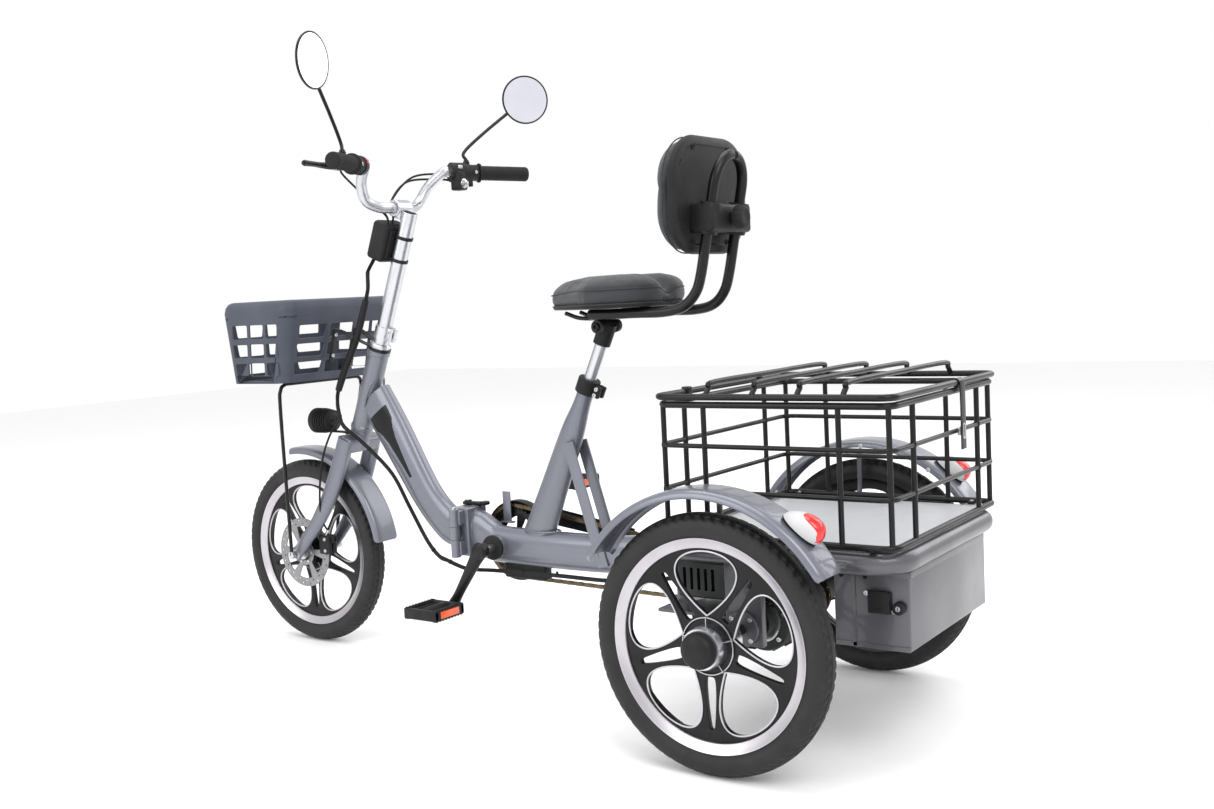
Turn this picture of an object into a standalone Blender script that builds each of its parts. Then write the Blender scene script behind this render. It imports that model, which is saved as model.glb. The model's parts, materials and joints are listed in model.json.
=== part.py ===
"""Adult folding electric tricycle with a front basket and a rear cargo cage.

Metres, +Z up. The front points to -Y and the rider's left is +X. The origin lies on the ground, midway
between the foremost and the rearmost point. Each sub-part is one named object, and the objects of a moving
body hang from an empty on the body's joint axis.
"""
import math

import bmesh
import bpy
from mathutils import Matrix, Vector

# --- driving dimensions -------------------------------------------------------------------------------
GAP = 0.0003            # between pieces that touch
RUNNING = 0.0005        # radial clearance of a turning or sliding fit

TYRE_R = 0.210
TYRE_HALF = 0.0235
RIM_R = 0.172
RIM_HALF = 0.0165
WHEELBASE = 1.240
TRACK = 0.626
REAR_Y = 0.575          # rear axle
AXLE_R = 0.0085
FRONT_AXLE_R = 0.006

HEAD_ANGLE = math.radians(22.0)     # steering axis, measured from the vertical
FORK_OFFSET = 0.057                 # front axle ahead of the steering axis
CROWN_S = 0.300                     # places along the steering axis, from the point nearest the axle
HEAD_LOW_S = 0.330
HEAD_TOP_S = 0.517
STEM_TOP_S = 0.827
STEERER_R = 0.0125
CROWN_R = 0.023
HEAD_TUBE_R = 0.023
STEM_R = 0.0165
STEM_WALL = 0.0025
FORK_HALF = 0.054                   # dropout face from the centre plane
HUB_HALF = 0.042
ROTOR_R = 0.080
ROTOR_X = 0.033

BAR_R = 0.0111
BAR_FORWARD = 0.030
GRIP_R = 0.016
GRIP_LENGTH = 0.118
BAR_ROUTE = ((0.0, 0.000, 0.000), (0.022, 0.000, 0.000), (0.028, -0.001, 0.000), (0.052, -0.013, 0.002),
             (0.080, -0.020, 0.016), (0.101, -0.008, 0.050), (0.119, 0.0228, 0.0792), (0.291, 0.114, 0.074))

HINGE_Y = -0.190        # split plane of the frame hinge
HINGE_LOW = 0.237
HINGE_HIGH = 0.337
HINGE_PLATE = 0.024
HINGE_HALF = 0.030
PIN_X = 0.045
PIN_R = 0.0045
KNUCKLE_R = 0.0100

TUBE_HALF_W = 0.022     # main tube
TUBE_HALF_H = 0.037
TUBE_Z = 0.2615
CROSS_Y = 0.385         # front cross tube of the rear subframe
CROSS_Z = 0.312
CROSS_R = 0.018
RAIL_R = 0.018
RAIL_X = 0.217
RAIL_Z = 0.3365
RAIL_REAR = 0.845

SEAT_ANGLE = math.radians(25.0)
SEAT_FOOT = Vector((0.0, -0.005, 0.287))
SEAT_TUBE_LENGTH = 0.345
SEATPOST_TOP_S = 0.442
SEATPOST_R = 0.0125
SEAT_TUBE_R = 0.0165
SEAT_PAD_Z = 0.7370
SEAT_TOP_Z = 0.803
SEAT_FRONT = 0.064
SEAT_REAR = 0.340
SEAT_HALF = 0.120

LOOP_X = 0.050          # legs of the backrest loop
LOOP_R = 0.0095
LEG_LOW = Vector((0.0, 0.430, 0.790))
LEG_TOP = Vector((0.0, 0.4625, 0.940))
CLAMP_Z = 0.8875
BACK_HALF = 0.132
BACK_LOW = 0.826
BACK_TOP = 1.033
SHELL_Y = 0.4133

BB_Y = -0.097
BB_Z = 0.262
BB_R = 0.024
SPINDLE_R = 0.0085
CRANK_X = 0.079
CRANK_LENGTH = 0.138
CRANK_ANGLE = math.radians(236.0)   # left crank at rest, seen from the left with the front to the left
PEDAL_PIN_R = 0.006
CHAIN_X = -0.040
RING_R = 0.070
SPROCKET_R = 0.030
MOTOR_NECK_R = 0.022
MOTOR_R = 0.055

CAGE_X = 0.2274
CAGE_FRONT = 0.441
CAGE_REAR = 0.849
CAGE_LOW = 0.3621
CAGE_TOP = 0.578
CAGE_RAILS = (0.4366, 0.5107)
CAGE_SIDE_POSTS = (0.528, 0.764)
CAGE_END_POST_X = 0.144
WIRE_R = 0.0055
LID_OVERHANG = 0.004
LID_HOOPS = (0.534, 0.618, 0.697, 0.774)
HOOP_RISE = 0.022

BOX_X = 0.172
BOX_FRONT = 0.721
BOX_REAR = 0.847
BOX_LOW = 0.192
BOX_TOP = RAIL_Z - RAIL_R - GAP
SHEET = 0.002
DECK_SHEET = 0.0012
DECK_RISE = 0.0008

FENDER_R = 0.250
FENDER_HALF = 0.038
FRONT_FENDER_R = 0.241
FRONT_FENDER_HALF = 0.033

BASKET_HALF = 0.166
BASKET_BEHIND = 0.156
BASKET_AHEAD = 0.077
BASKET_LOW = 0.607
BASKET_TOP = 0.786
BASKET_WALL = 0.004

# how finely round shapes are divided
WHEEL_SEGMENTS = 26
PETAL_POINTS = 8

# --- places worked out from the driving dimensions ---------------------------------------------------
FRONT_Y = REAR_Y - WHEELBASE
BASKET_REAR = FRONT_Y + BASKET_BEHIND
BASKET_FRONT = FRONT_Y - BASKET_AHEAD
AXIS = Vector((0.0, math.sin(HEAD_ANGLE), math.cos(HEAD_ANGLE)))
AHEAD = Vector((0.0, -math.cos(HEAD_ANGLE), math.sin(HEAD_ANGLE)))
STEER_FOOT = Vector((0.0, FRONT_Y, TYRE_R)) - AHEAD * FORK_OFFSET
SEAT_AXIS = Vector((0.0, math.sin(SEAT_ANGLE), math.cos(SEAT_ANGLE)))
LEG_AXIS = (LEG_TOP - LEG_LOW).normalized()
SEAT_TUBE_TOP = SEAT_FOOT + SEAT_AXIS * SEAT_TUBE_LENGTH
PEDAL_SWING = Vector((0.0, math.cos(CRANK_ANGLE), math.sin(CRANK_ANGLE))) * CRANK_LENGTH

FINISHES = {
    "frame_paint": ((0.23, 0.24, 0.30), 0.32, 0.55),
    "dark_paint": ((0.12, 0.12, 0.14), 0.42, 0.35),
    "deck_sheet": ((0.55, 0.56, 0.58), 0.45, 0.20),
    "black_gloss": ((0.012, 0.012, 0.014), 0.25, 0.0),
    "black_plastic": ((0.020, 0.020, 0.022), 0.55, 0.0),
    "tyre_rubber": ((0.016, 0.016, 0.017), 0.80, 0.0),
    "alloy_black": ((0.020, 0.020, 0.022), 0.35, 0.3),
    "silver": ((0.62, 0.63, 0.65), 0.28, 1.0),
    "steel": ((0.45, 0.45, 0.46), 0.35, 1.0),
    "leatherette": ((0.045, 0.047, 0.052), 0.50, 0.0),
    "basket_plastic": ((0.060, 0.066, 0.085), 0.50, 0.0),
    "motor_casting": ((0.030, 0.034, 0.032), 0.50, 0.4),
    "lamp_base": ((0.62, 0.62, 0.63), 0.35, 0.0),
    "chain_steel": ((0.16, 0.13, 0.09), 0.40, 0.9),
}


# --- mesh tools --------------------------------------------------------------------------------------
def clear_scene():
    for item in list(bpy.data.objects):
        bpy.data.objects.remove(item, do_unlink=True)


def finish(name):
    material = bpy.data.materials.get(name)
    if material:
        return material
    colour, roughness, metallic = FINISHES[name]
    material = bpy.data.materials.new(name)
    material.use_nodes = True
    shader = material.node_tree.nodes["Principled BSDF"]
    shader.inputs["Base Color"].default_value = (*colour, 1.0)
    shader.inputs["Roughness"].default_value = roughness
    shader.inputs["Metallic"].default_value = metallic
    return material


def dress(obj, name, finish_name):
    """Names a finished object, gives it its one material and shades its round faces smooth."""
    obj.name = name
    obj.data.name = name
    obj.data.materials.clear()
    obj.data.materials.append(finish(finish_name))
    obj.data.polygons.foreach_set("material_index", [0] * len(obj.data.polygons))
    obj.data.shade_smooth()
    obj.data.set_sharp_from_angle(angle=math.radians(35.0))
    return obj


def from_bmesh(shape):
    """Links a bmesh as an object whose faces point out."""
    bmesh.ops.remove_doubles(shape, verts=shape.verts, dist=0.000001)
    bmesh.ops.recalc_face_normals(shape, faces=shape.faces)
    mesh = bpy.data.meshes.new("solid")
    shape.to_mesh(mesh)
    shape.free()
    obj = bpy.data.objects.new("solid", mesh)
    bpy.context.scene.collection.objects.link(obj)
    return obj


def loft(rings, closed=False):
    """Joins rings of equally many points, and caps both ends unless the rings close on themselves."""
    shape = bmesh.new()
    rows = [[shape.verts.new(point) for point in ring] for ring in rings]
    pairs = list(zip(rows, rows[1:])) + ([(rows[-1], rows[0])] if closed else [])
    for first, second in pairs:
        for i in range(len(first)):
            j = (i + 1) % len(first)
            shape.faces.new((first[i], first[j], second[j], second[i]))
    if not closed:
        shape.faces.new(rows[0])
        shape.faces.new(rows[-1])
    return from_bmesh(shape)


def sweep(path, section, side=(1.0, 0.0, 0.0), closed=False, scales=None):
    """Carries a closed section of (side, up) points along a path without twisting it."""
    points = [Vector(point) for point in path]
    last = len(points) - 1
    side = Vector(side)
    rings = []
    for i, point in enumerate(points):
        before = points[i - 1] if closed or i else point
        after = points[(i + 1) % len(points)] if closed or i < last else point
        tangent = (after - before).normalized()
        side = (side - tangent * side.dot(tangent)).normalized()
        up = tangent.cross(side)
        wide, high = scales[i] if scales else (1.0, 1.0)
        rings.append([point + side * (a * wide) + up * (b * high) for a, b in section])
    return loft(rings, closed)


def oval(half_wide, half_high, sides=12, power=1.0):
    """Section points of an ellipse; a power under 1 squares its corners."""
    points = []
    for i in range(sides):
        angle = 2.0 * math.pi * (i + 0.5) / sides
        a, b = math.cos(angle), math.sin(angle)
        points.append((half_wide * math.copysign(abs(a) ** power, a),
                       half_high * math.copysign(abs(b) ** power, b)))
    return points


def tube(path, radius, sides=8, closed=False, side=(1.0, 0.0, 0.0)):
    return sweep(path, oval(radius, radius, sides), side, closed)


def turned(profile, start, axis, segments=32, ring=False):
    """Turns a profile of (along, radius) points about an axis.

    A ring's profile closes on itself. Any other starts and ends on the axis, and its ends are flat.
    """
    start, axis = Vector(start), Vector(axis).normalized()
    side = axis.orthogonal().normalized() if abs(axis.x) < 0.9 else Vector((0.0, 0.0, -1.0))
    up = axis.cross(side)
    angles = [2.0 * math.pi * i / segments for i in range(segments)]
    spokes = [side * math.cos(angle) + up * math.sin(angle) for angle in angles]
    rings = [[start + axis * along + spoke * radius for spoke in spokes] for along, radius in profile
             if radius or ring]
    return loft(rings, closed=ring)


def rod(start, end, radius, segments=12):
    """A plain round bar between two points."""
    start, end = Vector(start), Vector(end)
    length = (end - start).length
    return turned(((0, 0), (0, radius), (length, radius), (length, 0)), start, end - start, segments)


def pipe_ring(start, end, outer, inner, segments=24):
    """A round bush between two points."""
    start, end = Vector(start), Vector(end)
    length = (end - start).length
    profile = ((0, inner), (0, outer), (length, outer), (length, inner))
    return turned(profile, start, end - start, segments, ring=True)


def block(low, high, bevel=0.0, segments=1):
    """A box between two corners, its edges bevelled."""
    low, high = Vector(map(min, low, high)), Vector(map(max, low, high))
    shape = bmesh.new()
    bmesh.ops.create_cube(shape, size=1.0)
    for vert in shape.verts:
        vert.co = Vector(((low[k] + high[k]) / 2 + vert.co[k] * (high[k] - low[k]) for k in range(3)))
    if bevel:
        bmesh.ops.bevel(shape, geom=shape.edges, offset=bevel, segments=segments, affect="EDGES", profile=0.5)
    return from_bmesh(shape)


def prism(outline, place, thickness):
    """An outline of (a, b) points through place(a, b, h), from h = 0 to the thickness."""
    return loft([[place(a, b, h) for a, b in outline] for h in (0.0, thickness)])


def rounded(low_a, high_a, low_b, high_b, radius, steps=4):
    """Outline of a rectangle with round corners."""
    centres = ((high_a - radius, high_b - radius), (low_a + radius, high_b - radius),
               (low_a + radius, low_b + radius), (high_a - radius, low_b + radius))
    points = []
    for corner, (a, b) in enumerate(centres):
        for i in range(steps + 1):
            angle = math.pi / 2 * (corner + i / steps)
            points.append((a + radius * math.cos(angle), b + radius * math.sin(angle)))
    return points


def smooth(points, steps=6):
    """A Catmull-Rom curve through the points."""
    points = [Vector(point) for point in points]
    padded = [points[0] * 2 - points[1], *points, points[-1] * 2 - points[-2]]
    curve = []
    for a, b, c, d in zip(padded, padded[1:], padded[2:], padded[3:]):
        for i in range(steps):
            t = i / steps
            curve.append(0.5 * (2 * b + (c - a) * t + (2 * a - 5 * b + 4 * c - d) * t * t
                                + (3 * b - a - 3 * c + d) * t ** 3))
    return [*curve, points[-1]]


def apply_boolean(target, tool, operation):
    modifier = target.modifiers.new(operation.lower(), "BOOLEAN")
    modifier.operation = operation
    modifier.solver = "EXACT"
    modifier.object = tool
    graph = bpy.context.evaluated_depsgraph_get()
    mesh = bpy.data.meshes.new_from_object(target.evaluated_get(graph))
    target.modifiers.clear()
    target.data = mesh
    bpy.data.objects.remove(tool, do_unlink=True)
    return target


def fuse(*solids):
    """One body from solids that overlap."""
    target = solids[0]
    for solid in solids[1:]:
        apply_boolean(target, solid, "UNION")
    return target


def cut(target, *tools):
    for tool in tools:
        apply_boolean(target, tool, "DIFFERENCE")
    return target


def pivot(name, place, parent=None):
    """An empty on a joint's axis."""
    empty = bpy.data.objects.new(name, None)
    bpy.context.scene.collection.objects.link(empty)
    empty.empty_display_size = 0.05
    if parent:
        empty.parent = parent
        empty.matrix_parent_inverse = Matrix.Translation(-parent_place(parent))
    empty.location = place
    return empty


def parent_place(empty):
    """Where a pivot stands; every pivot's location is a world place."""
    return Vector(empty.location)


def hang(parent, *objects):
    """Parents finished objects to a pivot and leaves them where they are."""
    for obj in objects:
        obj.parent = parent
        obj.matrix_parent_inverse = Matrix.Translation(-parent_place(parent))


def steer(s, side=0.0, ahead=0.0):
    """A point by its place along the steering axis, to the left of it and ahead of it."""
    return STEER_FOOT + AXIS * s + Vector((side, 0.0, 0.0)) + AHEAD * ahead


# --- wheels ------------------------------------------------------------------------------------------
def petal(index):
    """One of the five drop-shaped openings, as (y, z) points about the hub."""
    turn = math.pi / 2 + 2.0 * math.pi * index / 5
    points = []
    for i in range(PETAL_POINTS):
        phase = 2.0 * math.pi * (i + 0.5) / PETAL_POINTS
        out = 0.048 + 0.102 * (1.0 - math.cos(phase)) / 2.0
        across = 0.072 * math.sin(phase) * abs(math.sin(phase / 2.0))
        points.append((out * math.cos(turn) - across * math.sin(turn),
                       out * math.sin(turn) + across * math.cos(turn)))
    return points


def wedge(index):
    """One of the five narrow openings between the petals."""
    turn = math.pi / 2 + 2.0 * math.pi * (index + 0.5) / 5
    corners = ((0.052, -0.0085), (0.130, -0.0042), (0.134, 0.0), (0.130, 0.0042), (0.052, 0.0085))
    return [(a * math.cos(turn) - b * math.sin(turn), a * math.sin(turn) + b * math.cos(turn)) for a,
            b in corners]


def spoked_wheel(x, y, face, hub):
    """Rim ring, pierced disc and hub as one casting; face is +1 when the bright side looks to +X."""
    centre = Vector((x, y, TYRE_R))
    rim = ((-RIM_HALF, RIM_R), (-RIM_HALF, RIM_R - 0.016), (-0.006, RIM_R - 0.022), (0.006, RIM_R - 0.022),
           (RIM_HALF, RIM_R - 0.016), (RIM_HALF, RIM_R), (0.0, RIM_R - 0.004))
    wheel = turned(rim, centre, (1, 0, 0), WHEEL_SEGMENTS, ring=True)
    low = -0.010 if face > 0 else -0.012
    edge = RIM_R - 0.008

    def place(a, b, h):
        return centre + Vector((h - 0.05, a, b))

    angles = [2.0 * math.pi * (i + 0.5) / WHEEL_SEGMENTS for i in range(WHEEL_SEGMENTS)]
    disc = loft([[centre + Vector((x, edge * math.cos(t), edge * math.sin(t))) for t in angles]
                 for x in (low, low + 0.022)])

    for index in range(5):
        cut(disc, prism(petal(index), place, 0.1), prism(wedge(index), place, 0.1))
    return fuse(wheel, disc, turned(hub, centre, (1, 0, 0), 14))


def tyre(name, x, y):
    half, top = TYRE_HALF, TYRE_R
    bead = RIM_R + GAP
    profile = ((-RIM_HALF, bead), (-half, bead + 0.014), (-half + 0.009, top - 0.004), (0, top),
               (half - 0.009, top - 0.004), (half, bead + 0.014), (RIM_HALF, bead))
    return dress(turned(profile, (x, y, TYRE_R), (1, 0, 0), WHEEL_SEGMENTS, ring=True), name, "tyre_rubber")


def rear_wheel(side, word):
    """A rear wheel with its hub cap outside and its half shaft inside, and its tyre."""
    out = 0.056 * side
    shaft = (0.130 - TRACK / 2) * side
    hub = ((shaft, 0), (shaft, AXLE_R), (-0.042 * side, AXLE_R), (-0.042 * side, 0.034),
           (0.012 * side, 0.040),
           (0.020 * side, 0.036), (0.030 * side, 0.034), (0.034 * side, 0.026), (0.050 * side, 0.024),
           (out, 0.016), (out, 0))
    wheel = dress(spoked_wheel(side * TRACK / 2, REAR_Y, side, hub), f"rear_wheel_{word}", "alloy_black")
    return wheel, tyre(f"rear_tyre_{word}", side * TRACK / 2, REAR_Y)


def front_wheel():
    hub = ((-HUB_HALF, 0), (-HUB_HALF, 0.018), (-0.030, 0.026), (0.020, 0.026), (0.031, 0.018),
           (HUB_HALF, 0.018), (HUB_HALF, 0))
    wheel = spoked_wheel(0.0, FRONT_Y, 1, hub)
    bore = rod((-0.2, FRONT_Y, TYRE_R), (0.2, FRONT_Y, TYRE_R), FRONT_AXLE_R + RUNNING, 20)
    return dress(cut(wheel, bore), "front_wheel", "alloy_black"), tyre("front_tyre", 0.0, FRONT_Y)


def front_rotor():
    start, end = (ROTOR_X, FRONT_Y, TYRE_R), (ROTOR_X + 0.002, FRONT_Y, TYRE_R)
    rotor = pipe_ring(start, end, ROTOR_R, 0.0185, 24)

    def place(a, b, h):
        return Vector((ROTOR_X - 0.01 + h, FRONT_Y + a, TYRE_R + b))

    for i in range(6):
        turn = 2.0 * math.pi * i / 6
        corners = [(r * math.cos(turn + t), r * math.sin(turn + t)) for r, t in
                   ((0.030, 0.16), (0.060, 0.10), (0.062, 0.85), (0.034, 0.85))]
        cut(rotor, prism(corners, place, 0.03))
    return dress(rotor, "front_rotor", "silver")


# --- rear frame --------------------------------------------------------------------------------------
def hinge_leaf(y_near, y_far, spans):
    """A hinge plate with its knuckles; spans are the heights that the knuckles fill."""
    outline = rounded(-HINGE_HALF, HINGE_HALF, HINGE_LOW, HINGE_HIGH, 0.012, 3)
    low, high = min(y_near, y_far), max(y_near, y_far)
    leaf = prism(outline, lambda a, b, h: Vector((a, low + h, b)), high - low)
    for bottom, top in spans:
        arm_low, arm_high = (y_near, y_near + 0.014) if y_far > y_near else (y_near - 0.014, y_near)
        arm = block((HINGE_HALF - 0.008, arm_low, bottom + 0.003), (PIN_X, arm_high, top - 0.003))
        fuse(leaf, fuse(arm, rod((PIN_X, HINGE_Y, bottom), (PIN_X, HINGE_Y, top), KNUCKLE_R, 16)))
    return leaf


def rear_frame():
    """Main tube with the hinge's rear leaf and pin, bottom bracket shell, seat tube and its two braces."""
    end = CROSS_Y - CROSS_R - GAP
    centre_high = (HINGE_LOW + HINGE_HIGH) / 2
    path = [(0, HINGE_Y + 0.012, centre_high), (0, HINGE_Y + 0.024, centre_high), (0, HINGE_Y + 0.055, 0.274),
            (0, HINGE_Y + 0.095, TUBE_Z + 0.001), (0, 0.16, TUBE_Z), (0, end, 0.279)]
    scales = [(1, 1.18), (1, 1.16), (1, 1.10), (1, 1.02), (1, 1), (1, 0.95)]
    frame = sweep(path, oval(TUBE_HALF_W, TUBE_HALF_H, 12, 0.7), scales=scales)
    middle_low, middle_high = HINGE_LOW + 0.036, HINGE_HIGH - 0.036
    spans = ((HINGE_LOW, middle_low - GAP), (middle_high + GAP, HINGE_HIGH))
    fuse(frame, hinge_leaf(HINGE_Y + GAP, HINGE_Y + HINGE_PLATE, spans))
    fuse(frame, rod((PIN_X, HINGE_Y, HINGE_LOW), (PIN_X, HINGE_Y, HINGE_HIGH + 0.004), PIN_R, 16))
    fuse(frame, rod((-0.034, BB_Y, BB_Z), (0.034, BB_Y, BB_Z), BB_R, 18))
    steps = ((0.0, 0.019, 0.036), (0.10, 0.019, 0.031), (0.225, 0.0185, 0.026), (0.285, SEAT_TUBE_R, 0.018),
             (0.310, SEAT_TUBE_R, SEAT_TUBE_R), (SEAT_TUBE_LENGTH, SEAT_TUBE_R, SEAT_TUBE_R))
    seat_path = [SEAT_FOOT + SEAT_AXIS * s for s, _, _ in steps]
    fuse(frame, sweep(seat_path, oval(1, 1, 12), scales=[(w, h) for _, w, h in steps]))
    top, foot = Vector((0, 0.097, 0.480)), Vector((0, 0.168, 0.240))
    for side in (-1, 1):
        offset = Vector((side * (TUBE_HALF_W + 0.0015), 0, 0))
        fuse(frame, sweep([top + offset, foot + offset], rounded(-0.002, 0.002, -0.0125, 0.0125, 0.0015, 1)))
    fuse(frame, rod((-TUBE_HALF_W - 0.003, top.y - 0.004, top.z - 0.006),
                    (TUBE_HALF_W + 0.003, top.y - 0.004, top.z - 0.006), 0.007, 12))
    fuse(frame, block((-0.012, -0.090, 0.196), (0.012, 0.015, TUBE_Z - TUBE_HALF_H + 0.004), 0.004))
    post_bore = rod(SEAT_FOOT + SEAT_AXIS * 0.09, SEAT_TUBE_TOP + SEAT_AXIS * 0.05, SEATPOST_R + RUNNING, 16)
    cut(frame, post_bore, rod((-0.06, BB_Y, BB_Z), (0.06, BB_Y, BB_Z), SPINDLE_R + RUNNING, 16))
    return dress(frame, "rear_frame", "frame_paint")


def rear_subframe():
    """Deck rail, cross tube, axle hangers with bearing bosses, motor plate and fender stays."""
    corner = 0.055
    half = []
    for i in range(5):
        angle = math.pi / 2 * i / 4
        half.append((RAIL_X - corner + corner * math.cos(angle),
                     RAIL_REAR - corner + corner * math.sin(angle)))
    outline = [(RAIL_X, CROSS_Y), *half]
    path = [(x, y, RAIL_Z) for x, y in outline] + [(-x, y, RAIL_Z) for x, y in reversed(outline)]
    frame = tube(path, RAIL_R, 10, side=(0, 0, 1))
    reach = TRACK / 2 - FENDER_HALF - 0.004
    fuse(frame, rod((-reach, CROSS_Y, CROSS_Z), (reach, CROSS_Y, CROSS_Z), CROSS_R, 14))
    for side in (-1, 1):
        hanger = block((side * 0.192, REAR_Y - 0.034, TYRE_R - 0.030), (side * 0.206, REAR_Y + 0.034, RAIL_Z),
                       0.002)
        fuse(frame, hanger)
        fuse(frame, rod((side * 0.184, REAR_Y, TYRE_R), (side * 0.216, REAR_Y, TYRE_R), 0.030, 16))
        top = TYRE_R + FENDER_R - 0.022
        edge = side * (TRACK / 2 - FENDER_HALF - 0.0065)
        stay = smooth([(side * RAIL_X, REAR_Y, RAIL_Z), (side * (RAIL_X + 0.034), REAR_Y, RAIL_Z + 0.002),
                       (edge - side * 0.002, REAR_Y, RAIL_Z + 0.035), (edge, REAR_Y, top)], 2)
        fuse(frame, tube(stay, 0.005, 6, side=(0, 1, 0)))
        rear = smooth([(side * RAIL_X, 0.775, RAIL_Z), (side * (RAIL_X + 0.030), 0.765, RAIL_Z),
                       (edge, 0.755, 0.345)], 2)
        fuse(frame, tube(rear, 0.005, 6, side=(0, 0, 1)))
        fuse(frame, block((side * 0.100, CROSS_Y, TYRE_R), (side * 0.106, CROSS_Y + 0.02, CROSS_Z)))
    fuse(frame, block((-0.15, CROSS_Y, TYRE_R), (0.17, REAR_Y - MOTOR_R - GAP, TYRE_R + 0.006)))
    cut(frame, rod((-0.5, REAR_Y, TYRE_R), (0.5, REAR_Y, TYRE_R), AXLE_R + RUNNING, 14))
    return dress(frame, "rear_subframe", "dark_paint")


def deck_panel():
    """Sheet over the deck rails, pressed up a little inside the cage's lowest loop."""
    outline = rounded(-RAIL_X - 0.002, RAIL_X + 0.002, CROSS_Y + 0.030, RAIL_REAR - 0.003, 0.045, 4)
    low = RAIL_Z + RAIL_R + GAP
    inset = 2 * WIRE_R + GAP
    field = rounded(-CAGE_X + inset, CAGE_X - inset, CAGE_FRONT + inset, CAGE_REAR - inset, 0.020, 4)
    sheet = prism(outline, lambda a, b, h: Vector((a, b, low + h)), DECK_SHEET)
    fuse(sheet, prism(field, lambda a, b, h: Vector((a, b, low + h)), DECK_SHEET + DECK_RISE))
    return dress(sheet, "deck_panel", "deck_sheet")


def rear_box():
    """Sheet-metal box under the deck's rear end, open at the top, with the socket boss on its left side."""
    outer = block((-BOX_X, BOX_FRONT, BOX_LOW), (BOX_X, BOX_REAR, BOX_TOP), SHEET)
    inner = block((-BOX_X + SHEET, BOX_FRONT + SHEET, BOX_LOW + SHEET),
                  (BOX_X - SHEET, BOX_REAR - SHEET, BOX_TOP + 0.05))
    fuse(outer, block((BOX_X - 0.001, 0.783, 0.252), (BOX_X + 0.006, 0.817, 0.284), 0.001))
    return dress(cut(outer, inner), "rear_box", "dark_paint")


def battery_pack():
    low = (-BOX_X + SHEET + 0.008, BOX_FRONT + SHEET + 0.006, BOX_LOW + SHEET + GAP)
    high = (BOX_X - SHEET - 0.008, BOX_REAR - SHEET - 0.006, BOX_TOP - 0.010)
    return dress(block(low, high, 0.006), "battery_pack", "black_plastic")


def controller_case():
    low = CROSS_Y + CROSS_R + 0.012
    case = block((0.030, low, 0.236), (0.150, REAR_Y - MOTOR_R - 0.006, 0.300), 0.003)
    slots = [block((0.13, low + 0.012 + 0.014 * i, 0.250), (0.16, low + 0.018 + 0.014 * i, 0.288))
             for i in range(5)]
    return dress(cut(case, *slots), "controller_case", "black_plastic")


def drive_motor():
    """Motor and differential around the rear axle, with a blind bore for each half shaft."""
    profile = ((-0.168, 0), (-0.168, MOTOR_NECK_R), (0.0, MOTOR_NECK_R), (0.004, MOTOR_R - 0.004),
               (0.010, MOTOR_R),
               (0.140, MOTOR_R), (0.146, MOTOR_R - 0.004), (0.150, 0.030), (0.172, 0.028), (0.172, 0))
    motor = turned(profile, (0, REAR_Y, TYRE_R), (1, 0, 0), 18)
    for side in (-1, 1):
        cut(motor, rod((side * (0.130 - GAP), REAR_Y, TYRE_R), (side * 0.3, REAR_Y, TYRE_R), AXLE_R + RUNNING,
                       16))
    return dress(motor, "drive_motor", "motor_casting")


def fender(name, x, y, radius, half, first, last, steps):
    """A sheet arc with rolled edges over a wheel, between two angles."""
    outer = ((-half, -0.014), (-half + 0.003, -0.005), (-half + 0.014, -0.0005), (0, 0.001),
             (half - 0.014, -0.0005),
             (half - 0.003, -0.005), (half, -0.014))
    inner = [(a * (half - 0.0018) / half, b - 0.0018 if abs(a) < half else b) for a, b in reversed(outer)]
    section = [*outer, *inner]
    rings = []
    for i in range(steps + 1):
        angle = math.radians(first + (last - first) * i / steps)
        out = Vector((0, math.cos(angle), math.sin(angle)))
        rings.append([Vector((x + a, y, TYRE_R)) + out * (radius + b) for a, b in section])
    return dress(loft(rings), name, "frame_paint")


def tail_light(side, word):
    """Lamp housing that stands on the rear end of a fender."""
    angle = math.radians(50.0)
    out, back = Vector((0, math.cos(angle), math.sin(angle))), Vector((0, math.sin(angle), -math.cos(angle)))
    foot = Vector((side * TRACK / 2, REAR_Y, TYRE_R)) + out * (FENDER_R + 0.001 + GAP)
    rings = []
    for height, long, wide in ((0.0, 0.034, 0.020), (0.012, 0.031, 0.021), (0.026, 0.022, 0.018),
                               (0.032, 0.012, 0.012)):
        rings.append([foot + out * height + back * (a + height * 0.35) + Vector((b, 0, 0)) for a,
                      b in oval(long, wide, 14, 0.8)])
    return dress(loft(rings), f"tail_light_{word}", "lamp_base")


def seat_clamp():
    low, high = SEAT_TUBE_TOP - SEAT_AXIS * 0.026, SEAT_TUBE_TOP + SEAT_AXIS * 0.004
    collar = pipe_ring(low, high, 0.0215, SEAT_TUBE_R + GAP, 20)
    middle = (low + high) / 2 + Vector((0, math.cos(SEAT_ANGLE), -math.sin(SEAT_ANGLE))) * 0.029
    lug = block(middle - Vector((0.012, 0.008, 0.011)), middle + Vector((0.012, 0.008, 0.011)), 0.002)
    return dress(fuse(collar, lug), "seat_clamp", "black_plastic")


# --- drive -------------------------------------------------------------------------------------------
def chain():
    """The chain as one band around the chainring and the rear sprocket."""
    front, rear = Vector((CHAIN_X, BB_Y, BB_Z)), Vector((CHAIN_X, REAR_Y, TYRE_R))
    line = rear - front
    lean = math.atan2(line.z, line.y)
    spread = math.acos((RING_R - SPROCKET_R) / line.length)
    path = []
    for centre, radius, first, last in ((front, RING_R, lean + spread, lean - spread + 2 * math.pi),
                                        (rear, SPROCKET_R, lean - spread, lean + spread)):
        for i in range(11):
            angle = first + (last - first) * i / 10
            path.append(centre + Vector((0, math.cos(angle), math.sin(angle))) * (radius + 0.0050))
    return dress(sweep(path, ((0.0035, 0.003), (-0.0035, 0.003), (-0.0035, -0.003), (0.0035, -0.003)),
                       closed=True), "chain", "chain_steel")


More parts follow.
